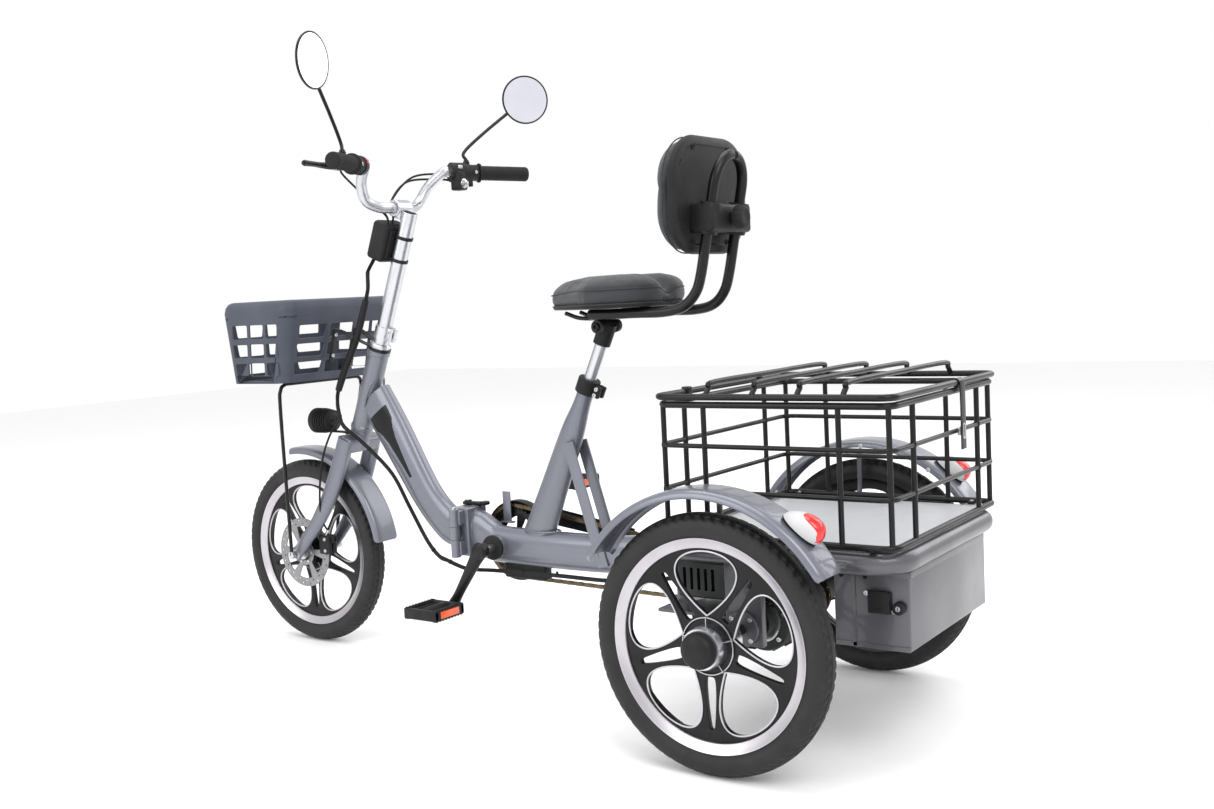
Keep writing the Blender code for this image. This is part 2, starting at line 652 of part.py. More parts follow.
def chainring():
    ring = pipe_ring((CHAIN_X - 0.0015, BB_Y, BB_Z), (CHAIN_X + 0.0015, BB_Y, BB_Z), RING_R, SPINDLE_R + GAP,
                     22)

    def place(a, b, h):
        return Vector((CHAIN_X - 0.01 + h, BB_Y + a, BB_Z + b))

    for i in range(5):
        turn = 2.0 * math.pi * i / 5
        corners = [(r * math.cos(turn + t), r * math.sin(turn + t)) for r,
                   t in ((0.024, 0.25), (0.056, 0.15), (0.056, 1.1), (0.024, 1.0))]
        cut(ring, prism(corners, place, 0.02))
    return dress(ring, "chainring", "steel")


def rear_sprocket():
    start, end = (CHAIN_X - 0.0015, REAR_Y, TYRE_R), (CHAIN_X + 0.0015, REAR_Y, TYRE_R)
    return dress(pipe_ring(start, end, SPROCKET_R, MOTOR_NECK_R + RUNNING, 24), "rear_sprocket", "steel")


def crank(side, word):
    """A crank arm with its pedal pin; the left one carries the spindle, which the right one is bored for."""
    hub = Vector((side * CRANK_X, BB_Y, BB_Z))
    end = hub + PEDAL_SWING * side
    along = PEDAL_SWING.normalized() * side
    path = [hub - along * 0.012, hub, hub + along * 0.03, end - along * 0.03, end, end + along * 0.012]
    scales = [(0.8, 0.7), (1, 1.05), (0.85, 0.85), (0.7, 0.62), (0.8, 0.75), (0.6, 0.5)]
    arm = sweep(path, oval(0.0085, 0.0165, 10, 0.8), scales=scales)
    fuse(arm, rod(hub - Vector((side * 0.014, 0, 0)), hub + Vector((side * 0.008, 0, 0)), 0.0155, 12))
    fuse(arm, rod(end, end + Vector((side * 0.080, 0, 0)), PEDAL_PIN_R, 12))
    if side > 0:
        fuse(arm, rod((CRANK_X - 0.01, BB_Y, BB_Z), (-CRANK_X + 0.004, BB_Y, BB_Z), SPINDLE_R, 16))
    else:
        cut(arm, rod((0, BB_Y, BB_Z), (-CRANK_X + 0.004 - GAP, BB_Y, BB_Z), SPINDLE_R + GAP, 16))
    return dress(arm, f"crank_{word}", "black_gloss")


def pedal(side, word):
    """A platform pedal with open windows, bored for its pin."""
    centre = Vector((side * (CRANK_X + 0.060), BB_Y, BB_Z)) + PEDAL_SWING * side
    body = block(centre - Vector((0.044, 0.043, 0.0125)), centre + Vector((0.044, 0.043, 0.0125)), 0.004)
    for near in (-1, 1):
        low = centre + Vector((-0.030, min(near * 0.013, near * 0.032), -0.02))
        high = centre + Vector((0.030, max(near * 0.013, near * 0.032), 0.02))
        cut(body, block(low, high))
    inner = centre - Vector((side * 0.1, 0, 0))
    cut(body, rod(inner, centre + Vector((side * (0.020 + RUNNING), 0, 0)), PEDAL_PIN_R + RUNNING, 16))
    return dress(body, f"pedal_{word}", "black_plastic")


# --- cargo cage --------------------------------------------------------------------------------------
def loop_path(overhang, z, radius=0.022):
    outline = rounded(-CAGE_X - overhang, CAGE_X + overhang, CAGE_FRONT - overhang, CAGE_REAR + overhang,
                      radius, 3)
    return [(a, b, z) for a, b in outline]


def cargo_cage():
    """Wire cage: four rail loops, posts and the two eyes that the lid's front bar turns in."""
    cage = tube(loop_path(0, CAGE_LOW), WIRE_R, 6, closed=True, side=(0, 0, 1))
    for z in (*CAGE_RAILS, CAGE_TOP):
        radius = WIRE_R if z == CAGE_TOP else WIRE_R - 0.0015
        cage = join_loose(cage, tube(loop_path(0, z), radius, 6, closed=True, side=(0, 0, 1)))
    corner = 0.022 * (1 - math.sqrt(0.5))
    spots = [(side * CAGE_X, y) for side in (-1, 1) for y in CAGE_SIDE_POSTS]
    spots += [(side * (CAGE_X - corner), y) for side in (-1, 1)
              for y in (CAGE_FRONT + corner, CAGE_REAR - corner)]
    spots += [(side * CAGE_END_POST_X, y) for side in (-1, 1) for y in (CAGE_FRONT, CAGE_REAR)]
    for x, y in spots:
        fuse(cage, rod((x, y, CAGE_LOW - 0.001), (x, y, CAGE_TOP + 0.001), WIRE_R - 0.001, 5))
    front, height = CAGE_FRONT - LID_OVERHANG, lid_height()
    for side in (-1, 1):
        eye = block((side * 0.120, front - 0.010, CAGE_TOP - 0.002),
                    (side * 0.136, CAGE_FRONT + 0.004, height + 0.0095))
        cut(eye, rod((-0.3, front, height), (0.3, front, height), WIRE_R + RUNNING, 16))
        fuse(cage, eye)
    return dress(cage, "cargo_cage", "black_gloss")


def join_loose(first, second):
    """Two solids that don't touch yet, as one object that a later union joins."""
    shape = bmesh.new()
    shape.from_mesh(first.data)
    shape.from_mesh(second.data)
    joined = from_bmesh(shape)
    bpy.data.objects.remove(first, do_unlink=True)
    bpy.data.objects.remove(second, do_unlink=True)
    return joined


def lid_height():
    return CAGE_TOP + 2 * WIRE_R + 0.002


def cage_lid():
    """Lid frame with four raised hoops."""
    height = lid_height()
    lid = tube(loop_path(LID_OVERHANG, height), WIRE_R, 8, closed=True, side=(0, 0, 1))
    edge = CAGE_X + LID_OVERHANG
    for y in LID_HOOPS:
        path = [(-edge, y, height), (-edge + 0.030, y, height + HOOP_RISE),
                (edge - 0.030, y, height + HOOP_RISE), (edge, y, height)]
        fuse(lid, tube(path, WIRE_R - 0.001, 6, side=(0, 1, 0)))
    return dress(lid, "cage_lid", "black_gloss")


def lid_hasp():
    """Swinging plate that hangs from the lid's rear bar, over the cage's rear rail."""
    y, z = CAGE_REAR + LID_OVERHANG, lid_height()
    bush = pipe_ring((-0.058, y, z), (-0.034, y, z), WIRE_R + 0.0018, WIRE_R + RUNNING, 16)
    plate = block((-0.057, y + WIRE_R + 0.001, z - 0.110), (-0.035, y + WIRE_R + 0.003, z + 0.002), 0.0005)
    return dress(fuse(bush, plate), "lid_hasp", "black_gloss")


# --- seat --------------------------------------------------------------------------------------------
def seatpost():
    start = SEAT_FOOT + SEAT_AXIS * 0.155
    end = SEAT_FOOT + SEAT_AXIS * SEATPOST_TOP_S
    return dress(rod(start, end, SEATPOST_R, 16), "seatpost", "silver")


def seat_frame():
    """Saddle clamp, rails and the backrest loop, welded to one plate under the saddle."""
    half = LOOP_X + 0.006
    rise = SEAT_PAD_Z - GAP - LOOP_R
    right = [(half, 0.190, rise), (half, 0.290, rise), (half - 0.001, 0.352, rise),
             (half - 0.003, 0.392, rise + 0.008),
             (LOOP_X + 0.001, 0.417, rise + 0.030), (LOOP_X, LEG_LOW.y, LEG_LOW.z)]
    leg = smooth(right, 2)[:-1]
    arch = []
    for i in range(7):
        angle = math.pi * i / 6
        arch.append(Vector((LOOP_X * math.cos(angle), LEG_TOP.y, LEG_TOP.z)) + LEG_AXIS
                    * (0.058 * math.sin(angle)))
    path = leg + [Vector((LOOP_X, LEG_LOW.y, LEG_LOW.z))] + arch
    path += [Vector((-p.x, p.y, p.z)) for p in reversed(path[:len(leg) + 1])]
    frame = tube(path, LOOP_R, 7)
    fuse(frame, block((-half - 0.004, 0.186, rise - 0.006), (half + 0.004, 0.236, rise - 0.002), 0.001))
    fuse(frame, block((-half - 0.004, 0.282, rise - 0.006), (half + 0.004, 0.306, rise - 0.002), 0.001))
    for side in (-1, 1):
        rail = smooth([(side * 0.024, 0.110, SEAT_PAD_Z - 0.006), (side * 0.023, 0.150, rise - 0.007),
                       (side * 0.022, 0.235, rise - 0.007), (side * 0.024, 0.300, rise - 0.004)], 2)
        fuse(frame, tube(rail, 0.004, 6))
    top = SEAT_FOOT + SEAT_AXIS * SEATPOST_TOP_S
    fuse(frame, rod((-0.034, top.y + 0.006, top.z + 0.016), (0.034, top.y + 0.006, top.z + 0.016), 0.0140,
                    12))
    post = rod(top - SEAT_AXIS * 0.020, top + SEAT_AXIS * 0.024, 0.0175, 16)
    fuse(frame, post)
    cut(frame, rod(top - SEAT_AXIS * 0.06, top + SEAT_AXIS * GAP, SEATPOST_R + GAP, 20))
    return dress(frame, "seat_frame", "black_gloss")


def saddle_pad():
    """The saddle's outer shape: narrow at the nose, broad and round at the back."""
    rows = []
    length = SEAT_REAR - SEAT_FRONT
    for height, inset in ((0.0, 0.010), (0.014, 0.0), (0.044, 0.001), (0.058, 0.010),
                          (SEAT_TOP_Z - SEAT_PAD_Z, 0.030)):
        ring = []
        for i in range(28):
            angle = 2.0 * math.pi * i / 28
            back = 0.5 - 0.5 * math.copysign(abs(math.cos(angle)) ** 0.8, math.cos(angle))
            wide = SEAT_HALF * (0.42 + 0.58 * min(1.0, back / 0.55) ** 1.2)
            x = (wide - inset) * math.copysign(abs(math.sin(angle)) ** 0.62, math.sin(angle))
            ring.append((x, SEAT_FRONT + inset + (length - 2 * inset) * back, SEAT_PAD_Z + height))
        rows.append(ring)
    return dress(loft(rows), "saddle_pad", "leatherette")


def backrest_shell():
    """Moulded back of the backrest with the clamp that grips the loop's two legs."""
    outline = rounded(-BACK_HALF, BACK_HALF, BACK_LOW, BACK_TOP, 0.062, 5)
    low = prism(outline, lambda a, b, h: Vector((a, SHELL_Y + h + (b - BACK_LOW) * 0.05, b)), 0.010)
    fuse(low, block((-0.071, SHELL_Y + 0.008, CLAMP_Z - 0.026), (0.071, SHELL_Y + 0.0590, CLAMP_Z + 0.026),
                    0.004))
    for side in (-1, 1):
        offset = Vector((side * LOOP_X, 0, 0))
        cut(low, rod(LEG_LOW + offset - LEG_AXIS * 0.03, LEG_TOP + offset + LEG_AXIS * 0.03, LOOP_R + RUNNING,
                     20))
    return dress(low, "backrest_shell", "black_plastic")


def backrest_pad():
    rows = []
    for depth, inset in ((0.0, 0.004), (0.010, 0.0), (0.028, 0.006), (0.040, 0.026)):
        outline = rounded(-BACK_HALF + inset, BACK_HALF - inset, BACK_LOW + inset, BACK_TOP - inset,
                          0.062 - inset, 5)
        rows.append([(a, SHELL_Y - GAP - depth + (b - BACK_LOW) * 0.05, b) for a, b in outline])
    return dress(loft(rows), "backrest_pad", "leatherette")


def backrest_knob():
    start = (0, SHELL_Y + 0.0590 + GAP, CLAMP_Z)
    profile = ((0, 0), (0, 0.012), (0.006, 0.012), (0.007, 0.021), (0.022, 0.021), (0.025, 0.016), (0.025, 0))
    return dress(turned(profile, start, (0, 1, 0), 20), "backrest_knob", "black_plastic")


# --- front frame and fold ----------------------------------------------------------------------------
def front_frame():
    """Down tube with the hinge's front leaf and the head tube."""
    middle = steer((HEAD_LOW_S + HEAD_TOP_S) / 2 - 0.004)
    centre_high = (HINGE_LOW + HINGE_HIGH) / 2
    start = middle + Vector((0, 0.015, -0.010))
    path = [start, (0, start.y + 0.052, start.z - 0.078), (0, start.y + 0.135, start.z - 0.208),
            (0, HINGE_Y - 0.060, centre_high + 0.014), (0, HINGE_Y - 0.030, centre_high + 0.002),
            (0, HINGE_Y - 0.012, centre_high)]
    scales = [(0.95, 1.20), (1, 1.16), (1, 1.00), (1, 1.04), (1, 1.16), (1, 1.2)]
    frame = sweep(path, oval(TUBE_HALF_W - 0.001, TUBE_HALF_H, 16, 0.75), scales=scales)
    fuse(frame, rod(steer(HEAD_LOW_S), steer(HEAD_TOP_S), HEAD_TUBE_R, 24))
    middle_low, middle_high = HINGE_LOW + 0.036, HINGE_HIGH - 0.036
    fuse(frame, hinge_leaf(HINGE_Y - GAP, HINGE_Y - HINGE_PLATE, ((middle_low, middle_high),)))
    cut(frame, rod((PIN_X, HINGE_Y, HINGE_LOW - 0.02), (PIN_X, HINGE_Y, HINGE_HIGH + 0.02), PIN_R + RUNNING,
                   16))
    cut(frame, rod(steer(HEAD_LOW_S - 0.05), steer(HEAD_TOP_S + 0.05), STEERER_R + RUNNING, 20))
    return dress(frame, "front_frame", "frame_paint")


def fold_latch():
    """Lever on top of the hinge that swings aside before the frame folds."""
    z = HINGE_HIGH + GAP
    outline = rounded(-0.024, -0.006, HINGE_Y - 0.022, HINGE_Y + 0.040, 0.008, 3)
    lever = prism(outline, lambda a, b, h: Vector((a, b, z + h)), 0.007)
    fuse(lever, rod((-0.015, HINGE_Y - 0.012, z), (-0.015, HINGE_Y - 0.012, z + 0.011), 0.008, 16))
    return dress(lever, "fold_latch", "black_gloss")


# --- steering ----------------------------------------------------------------------------------------
def fork():
    """Legs, crown, steerer and the front axle."""
    race = HEAD_LOW_S - GAP - CROWN_S
    steerer = turned(((-0.010, 0), (-0.010, CROWN_R), (race, CROWN_R), (race, STEERER_R), (0.300, STEERER_R),
                      (0.300, 0)),
                     steer(CROWN_S), AXIS, 16)
    fuse(steerer, block_on_axis(-0.050, 0.050, CROWN_S - 0.020, CROWN_S + 0.014, -0.021, 0.021))
    for side in (-1, 1):
        route = [steer(CROWN_S + 0.010, side * 0.043, 0), steer(0.235, side * 0.045, 0.001),
                 steer(0.170, side * 0.047, 0.006),
                 steer(0.100, side * 0.050, 0.021), steer(0.045, side * 0.053, 0.040),
                 steer(0.0, side * 0.0545, FORK_OFFSET)]
        scales = [(1, 1), (1, 1.05), (1, 1), (0.9, 0.9), (0.75, 0.75), (0.5, 0.62)]
        fuse(steerer, sweep(route, oval(0.012, 0.0195, 12, 0.85), scales=scales))
        x = side * FORK_HALF
        fuse(steerer, rod((x - side * 0.008, FRONT_Y, TYRE_R), (x + side * 0.014, FRONT_Y, TYRE_R), 0.011,
                          12))
    fuse(steerer, rod((-FORK_HALF, FRONT_Y, TYRE_R), (FORK_HALF, FRONT_Y, TYRE_R), FRONT_AXLE_R, 16))
    return dress(steerer, "fork", "frame_paint")


def block_on_axis(left, right, s_low, s_high, back, ahead):
    """A box whose sides follow the steering axis."""
    def corner(x, s, f):
        return steer(s, x, f)

    outline = ((left, back), (right, back), (right, ahead), (left, ahead))
    return loft([[corner(x, s, f) for x, f in outline] for s in (s_low, s_high)])


def stem():
    """Bored stem tube with the lower clamp and the handlebar clamp."""
    base, length, bore = steer(HEAD_TOP_S + GAP), STEM_TOP_S - HEAD_TOP_S - GAP, STEM_R - STEM_WALL
    profile = ((0, bore), (0, 0.0225), (0.014, 0.0225), (0.017, STEM_R), (length, STEM_R), (length, bore))
    body = turned(profile, base, AXIS, 16, ring=True)
    fuse(body, block_on_axis(-0.013, 0.013, 0.540, 0.572, -0.030, -bore - 0.001))
    bar = steer(STEM_TOP_S, 0, BAR_FORWARD)
    fuse(body, block_on_axis(-0.016, 0.016, STEM_TOP_S - 0.020, STEM_TOP_S - 0.002, bore + 0.001,
                             BAR_FORWARD))
    fuse(body, rod(bar - Vector((0.020, 0, 0)), bar + Vector((0.020, 0, 0)), BAR_R + 0.0065, 16))
    cut(body, rod(bar - Vector((0.1, 0, 0)), bar + Vector((0.1, 0, 0)), BAR_R + RUNNING, 16))
    return dress(body, "stem", "silver")


def bar_points(side):
    centre = steer(STEM_TOP_S, 0, BAR_FORWARD)
    return [centre + Vector((side * x, y, z)) for x, y, z in BAR_ROUTE]


def handlebar():
    halves = []
    for side in (-1, 1):
        *bent, straight, outer = bar_points(side)
        halves.append([*bent, straight, straight.lerp(outer, 0.08), outer])
    right, left = halves
    curve = smooth([*reversed(right[1:]), *left], 2)
    for end, inside in ((0, 1), (-1, -2)):
        curve[end] = curve[end] + (curve[inside] - curve[end]).normalized() * 0.004
    return dress(tube(curve, BAR_R, 8, side=(0, 0, 1)), "handlebar", "silver")


def grip_frame(side):
    """Inner end, outward, forward and upward directions of a grip."""
    straight, outer = bar_points(side)[-2:]
    outward = (outer - straight).normalized()
    inner = outer - outward * (GRIP_LENGTH - 0.002)
    forward = Vector((0, 0, 1)).cross(outward).normalized() * (-side)
    up = outward.cross(forward) * (-side)
    return inner, outward, forward, up.normalized()


def by_grip(side, out, forward, up):
    inner, outward, front, top = grip_frame(side)
    return inner + outward * out + front * forward + top * up


def grip(side, name):
    """A hollow grip, closed at its outer end, with a flange inside."""
    inner, outward, _, _ = grip_frame(side)
    end = GRIP_LENGTH
    profile = ((0, 0), (0, 0.021), (0.004, 0.021), (0.006, GRIP_R), (end - 0.004, GRIP_R),
               (end, GRIP_R - 0.003), (end, 0))
    body = turned(profile, inner, outward, 20)
    return dress(cut(body, rod(inner - outward * 0.01, inner + outward * (end - 0.004), BAR_R + RUNNING, 20)),
                 name, "tyre_rubber")


def brake_perch(side, name):
    """Clamp on the bar inside the grip, with the lever's fork ahead of it and the mirror boss on top.

    The right one is moulded in one with the switch housing beside it.
    """
    clamp = BAR_R + 0.007
    pod = ((-0.066, 0), (-0.066, 0.0215), (-0.029, 0.0215)) if side < 0 else ((-0.030, 0),)
    start = by_grip(side, 0, 0, 0)
    body = turned((*pod, (pod[-1][0], clamp), (-0.0015, clamp), (-0.0015, 0)), start,
                  by_grip(side, 1, 0, 0) - start, 14)
    arm = sweep([by_grip(side, -0.016, 0.010, 0), by_grip(side, -0.016, 0.026, -0.001),
                 by_grip(side, -0.010, 0.038, -0.001)],
                rounded(-0.007, 0.007, -0.011, 0.011, 0.003, 1), side=(0, 0, 1))
    boss = by_grip(side, -0.016, 0.024, 0.0)
    fuse(body, arm, rod(boss, boss + Vector((0, 0, 0.018)), 0.0075, 12))
    if side < 0:
        centre = by_grip(side, -0.052, 0, 0)
        fuse(body, block(centre - Vector((0.012, 0.004, 0.040)), centre + Vector((0.016, 0.026, 0.002)),
                         0.003))
    slot = sweep([by_grip(side, -0.030, 0.036, -0.001), by_grip(side, 0.020, 0.036, -0.001)],
                 rounded(-0.0045, 0.0045, -0.0100, 0.0100, 0.001, 1), side=(0, 0, 1))
    cut(body, slot, rod(by_grip(side, -0.12, 0, 0), by_grip(side, 0.05, 0, 0), BAR_R + RUNNING, 16))
    return dress(body, name, "black_plastic")


def brake_lever(side, word):
    route = [by_grip(side, -0.014, 0.034, -0.001), by_grip(side, 0.004, 0.046, -0.001),
             by_grip(side, 0.030, 0.053, -0.001),
             by_grip(side, 0.070, 0.055, -0.001), by_grip(side, 0.102, 0.060, -0.001)]
    lever = sweep(smooth(route, 3), oval(0.0038, 0.0060, 8), side=(0, 0, 1))
    return dress(lever, f"brake_lever_{word}", "black_gloss")


def ignition_key():
    centre = by_grip(-1, -0.052, 0, 0) + Vector((0.002, 0.026 + GAP, -0.026))
    profile = ((0, 0), (0, 0.008), (0.004, 0.008), (0.004, 0))
    key = turned(profile, centre, (0, 1, 0), 16)
    fuse(key, block(centre + Vector((-0.001, 0.003, -0.009)), centre + Vector((0.001, 0.024, 0.009)), 0.0004))
    return dress(key, "ignition_key", "steel")


def mirror(side, word, centre, facing):
    """A round mirror on its bent stalk; its foot stands on the perch boss."""
    foot = by_grip(side, -0.016, 0.024, 0.0) + Vector((0, 0, 0.018 + GAP))
    facing = Vector(facing).normalized()
    back = Vector(centre) - facing * 0.010
    knee = foot + Vector((0, -0.004, 0.030))
    path = [foot, foot + Vector((0, 0, 0.012)), knee, knee + (back - knee) * 0.35 + Vector((0, 0, 0.004)),
            back]
    stalk = tube(smooth(path, 2), 0.0036, 6)
    profile = ((-0.012, 0), (-0.010, 0.022), (-0.005, 0.046), (0.0, 0.0535), (0.003, 0.0535), (0.004, 0.050),
               (0.004, 0))
    fuse(stalk, rod(foot, foot + Vector((0, 0, 0.009)), 0.0075, 12))
    return dress(fuse(stalk, turned(profile, centre, facing, 16)), f"mirror_{word}", "black_gloss"), foot


def headlight():
    """Ribbed lamp on a bracket ahead of the fork crown."""
    centre = Vector((0, FRONT_Y + 0.063, 0.511))
    profile = ((-0.028, 0), (-0.028, 0.014), (-0.020, 0.026), (-0.012, 0.026), (-0.010, 0.0285),
               (0.026, 0.0285), (0.030, 0.0265), (0.030, 0))
    lamp = turned(profile, centre, (0, -1, 0), 24)
    foot = steer(CROWN_S, 0, CROWN_R + GAP)
    arm = sweep([foot, foot + AHEAD * 0.014, centre + Vector((0, 0.006, -0.024))],
                rounded(-0.009, 0.009, -0.0015, 0.0015, 0.0005, 1))
    return dress(fuse(lamp, arm), "headlight", "black_plastic"), foot


def display_case():
    """Meter case strapped to the front of the stem."""
    low, high = 0.708, 0.792
    return dress(fuse(block_on_axis(-0.036, 0.036, low, high, STEM_R + 0.004, STEM_R + 0.050),
                      cut(block_on_axis(-0.024, 0.024, low + 0.006, low + 0.022, -STEM_R - 0.004,
                                        STEM_R + 0.006),
                          rod(steer(low), steer(high), STEM_R + GAP, 20))), "display_case", "black_plastic")


def basket_ring(z, inset, steps=2):
    """Outline of the basket at a height; its rear leans forward towards the bottom."""
    share = (BASKET_TOP - z) / (BASKET_TOP - BASKET_LOW)
    rear = BASKET_REAR - 0.056 * share
    half = BASKET_HALF - 0.016 * share
    front = BASKET_FRONT + 0.006 * share
    return [(a, b, z) for a, b in rounded(-half + inset, half - inset, front + inset, rear - inset, 0.030,
                                          steps)]


def basket():
    """Moulded basket, open at the top, with its rolled rim and windows through the walls."""
    rim, wall = 0.030, BASKET_WALL
    shell = loft([basket_ring(BASKET_LOW, 0), basket_ring(BASKET_TOP - 0.034, 0),
                  basket_ring(BASKET_TOP - 0.010, 0.008),
                  basket_ring(BASKET_TOP, 0.024)])
    inner = loft([basket_ring(BASKET_LOW + wall, wall), basket_ring(BASKET_TOP - 0.036, wall),
                  basket_ring(BASKET_TOP - 0.014, wall + 0.009), basket_ring(BASKET_TOP - 0.005, rim),
                  basket_ring(BASKET_TOP + 0.01, rim)])
    cut(shell, inner)
    middle = (BASKET_FRONT + BASKET_REAR - 0.02) / 2
    for row in range(3):
        low = BASKET_LOW + 0.020 + 0.041 * row
        for column in (-1, 0, 1):
            y = middle + column * 0.058
            cut(shell, block((-0.3, y - 0.023, low), (0.3, y + 0.023, low + 0.030)))
        for column in (-1, 0, 1):
            x = column * 0.088
            cut(shell, block((x - 0.036, BASKET_FRONT - 0.1, low),
                             (x + 0.036, BASKET_REAR + 0.1, low + 0.030)))
    return dress(shell, "basket", "basket_plastic")


def basket_stays():
    """Rod from one axle end up under the basket and down to the other end."""
    z = BASKET_LOW - 0.004 - GAP
    foot = FORK_HALF + 0.014 + 0.004 + 2 * GAP
    half = [(foot, FRONT_Y, TYRE_R), (foot, FRONT_Y, TYRE_R + 0.020),
            (foot + 0.004, FRONT_Y + 0.004, TYRE_R + 0.08),
            (0.118, FRONT_Y + 0.050, z - 0.060), (0.120, FRONT_Y + 0.058, z - 0.012),
            (0.108, FRONT_Y + 0.060, z)]
    path = smooth(half, 2) + smooth([(-x, y, zz) for x, y, zz in reversed(half)], 2)
    stays = tube(path, 0.004, 6, side=(0, 1, 0))
    return dress(stays, "basket_stays", "black_gloss")


def front_caliper():
    """Brake caliper astride the rotor, behind the left fork leg."""
    centre = Vector((ROTOR_X + 0.001, FRONT_Y + 0.078, TYRE_R + 0.024))
    body = block(centre - Vector((0.014, 0.017, 0.022)), centre + Vector((0.012, 0.017, 0.022)), 0.003)
    slot = rod((ROTOR_X - 0.0012, FRONT_Y, TYRE_R), (ROTOR_X + 0.0032, FRONT_Y, TYRE_R), ROTOR_R + 0.0015, 48)
    return dress(cut(body, slot), "front_caliper", "black_plastic")


# --- cables ------------------------------------------------------------------------------------------
def cable(name, route, steps):
    """A cable bundle: a round bevel on one poly spline."""
    curve = bpy.data.curves.new(name, "CURVE")
    curve.dimensions = "3D"
    curve.bevel_depth = 0.0048
    curve.bevel_resolution = 2
    curve.use_fill_caps = True
    points = smooth(route, steps)
    spline = curve.splines.new("POLY")
    spline.points.add(len(points) - 1)
    for spot, point in zip(spline.points, points):
        spot.co = (*point, 1.0)
    obj = bpy.data.objects.new(name, curve)
    bpy.context.scene.collection.objects.link(obj)
    curve.materials.append(finish("black_plastic"))
    return obj


STEER_CABLE = ((0.020, -0.418, 0.838), (0.021, -0.424, 0.790), (0.022, -0.462, 0.700), (0.024, -0.508, 0.620),
               (0.027, -0.531, 0.565), (0.031, -0.522, 0.520))
FRAME_CABLE = ((0.0315, -0.5205, 0.517), (0.035, -0.498, 0.496), (0.035, -0.440, 0.459),
               (0.033, -0.372, 0.402),
               (0.032, -0.326, 0.330), (0.036, -0.277, 0.262), (0.043, -0.238, 0.233),
               (0.045, -0.212, 0.2268),
               (0.045, -0.1975, 0.2265), (0.045, -0.1945, 0.2258), (0.045, -0.1918, 0.2247),
               (0.045, -0.1902, 0.2229),
               (0.045, -0.1900, 0.2216))
REAR_CABLE = ((0.045, -0.1900, 0.2188), (0.045, -0.1898, 0.2176), (0.045, -0.1882, 0.2157),
              (0.045, -0.1855, 0.2144),
              (0.045, -0.1825, 0.2140), (0.045, -0.165, 0.2140), (0.041, -0.140, 0.2140),
              (0.034, -0.108, 0.2143),
              (0.030, -0.050, 0.2145), (0.030, 0.060, 0.2160), (0.030, 0.200, 0.2170), (0.034, 0.320, 0.2330),
              (0.060, 0.400, 0.2440))


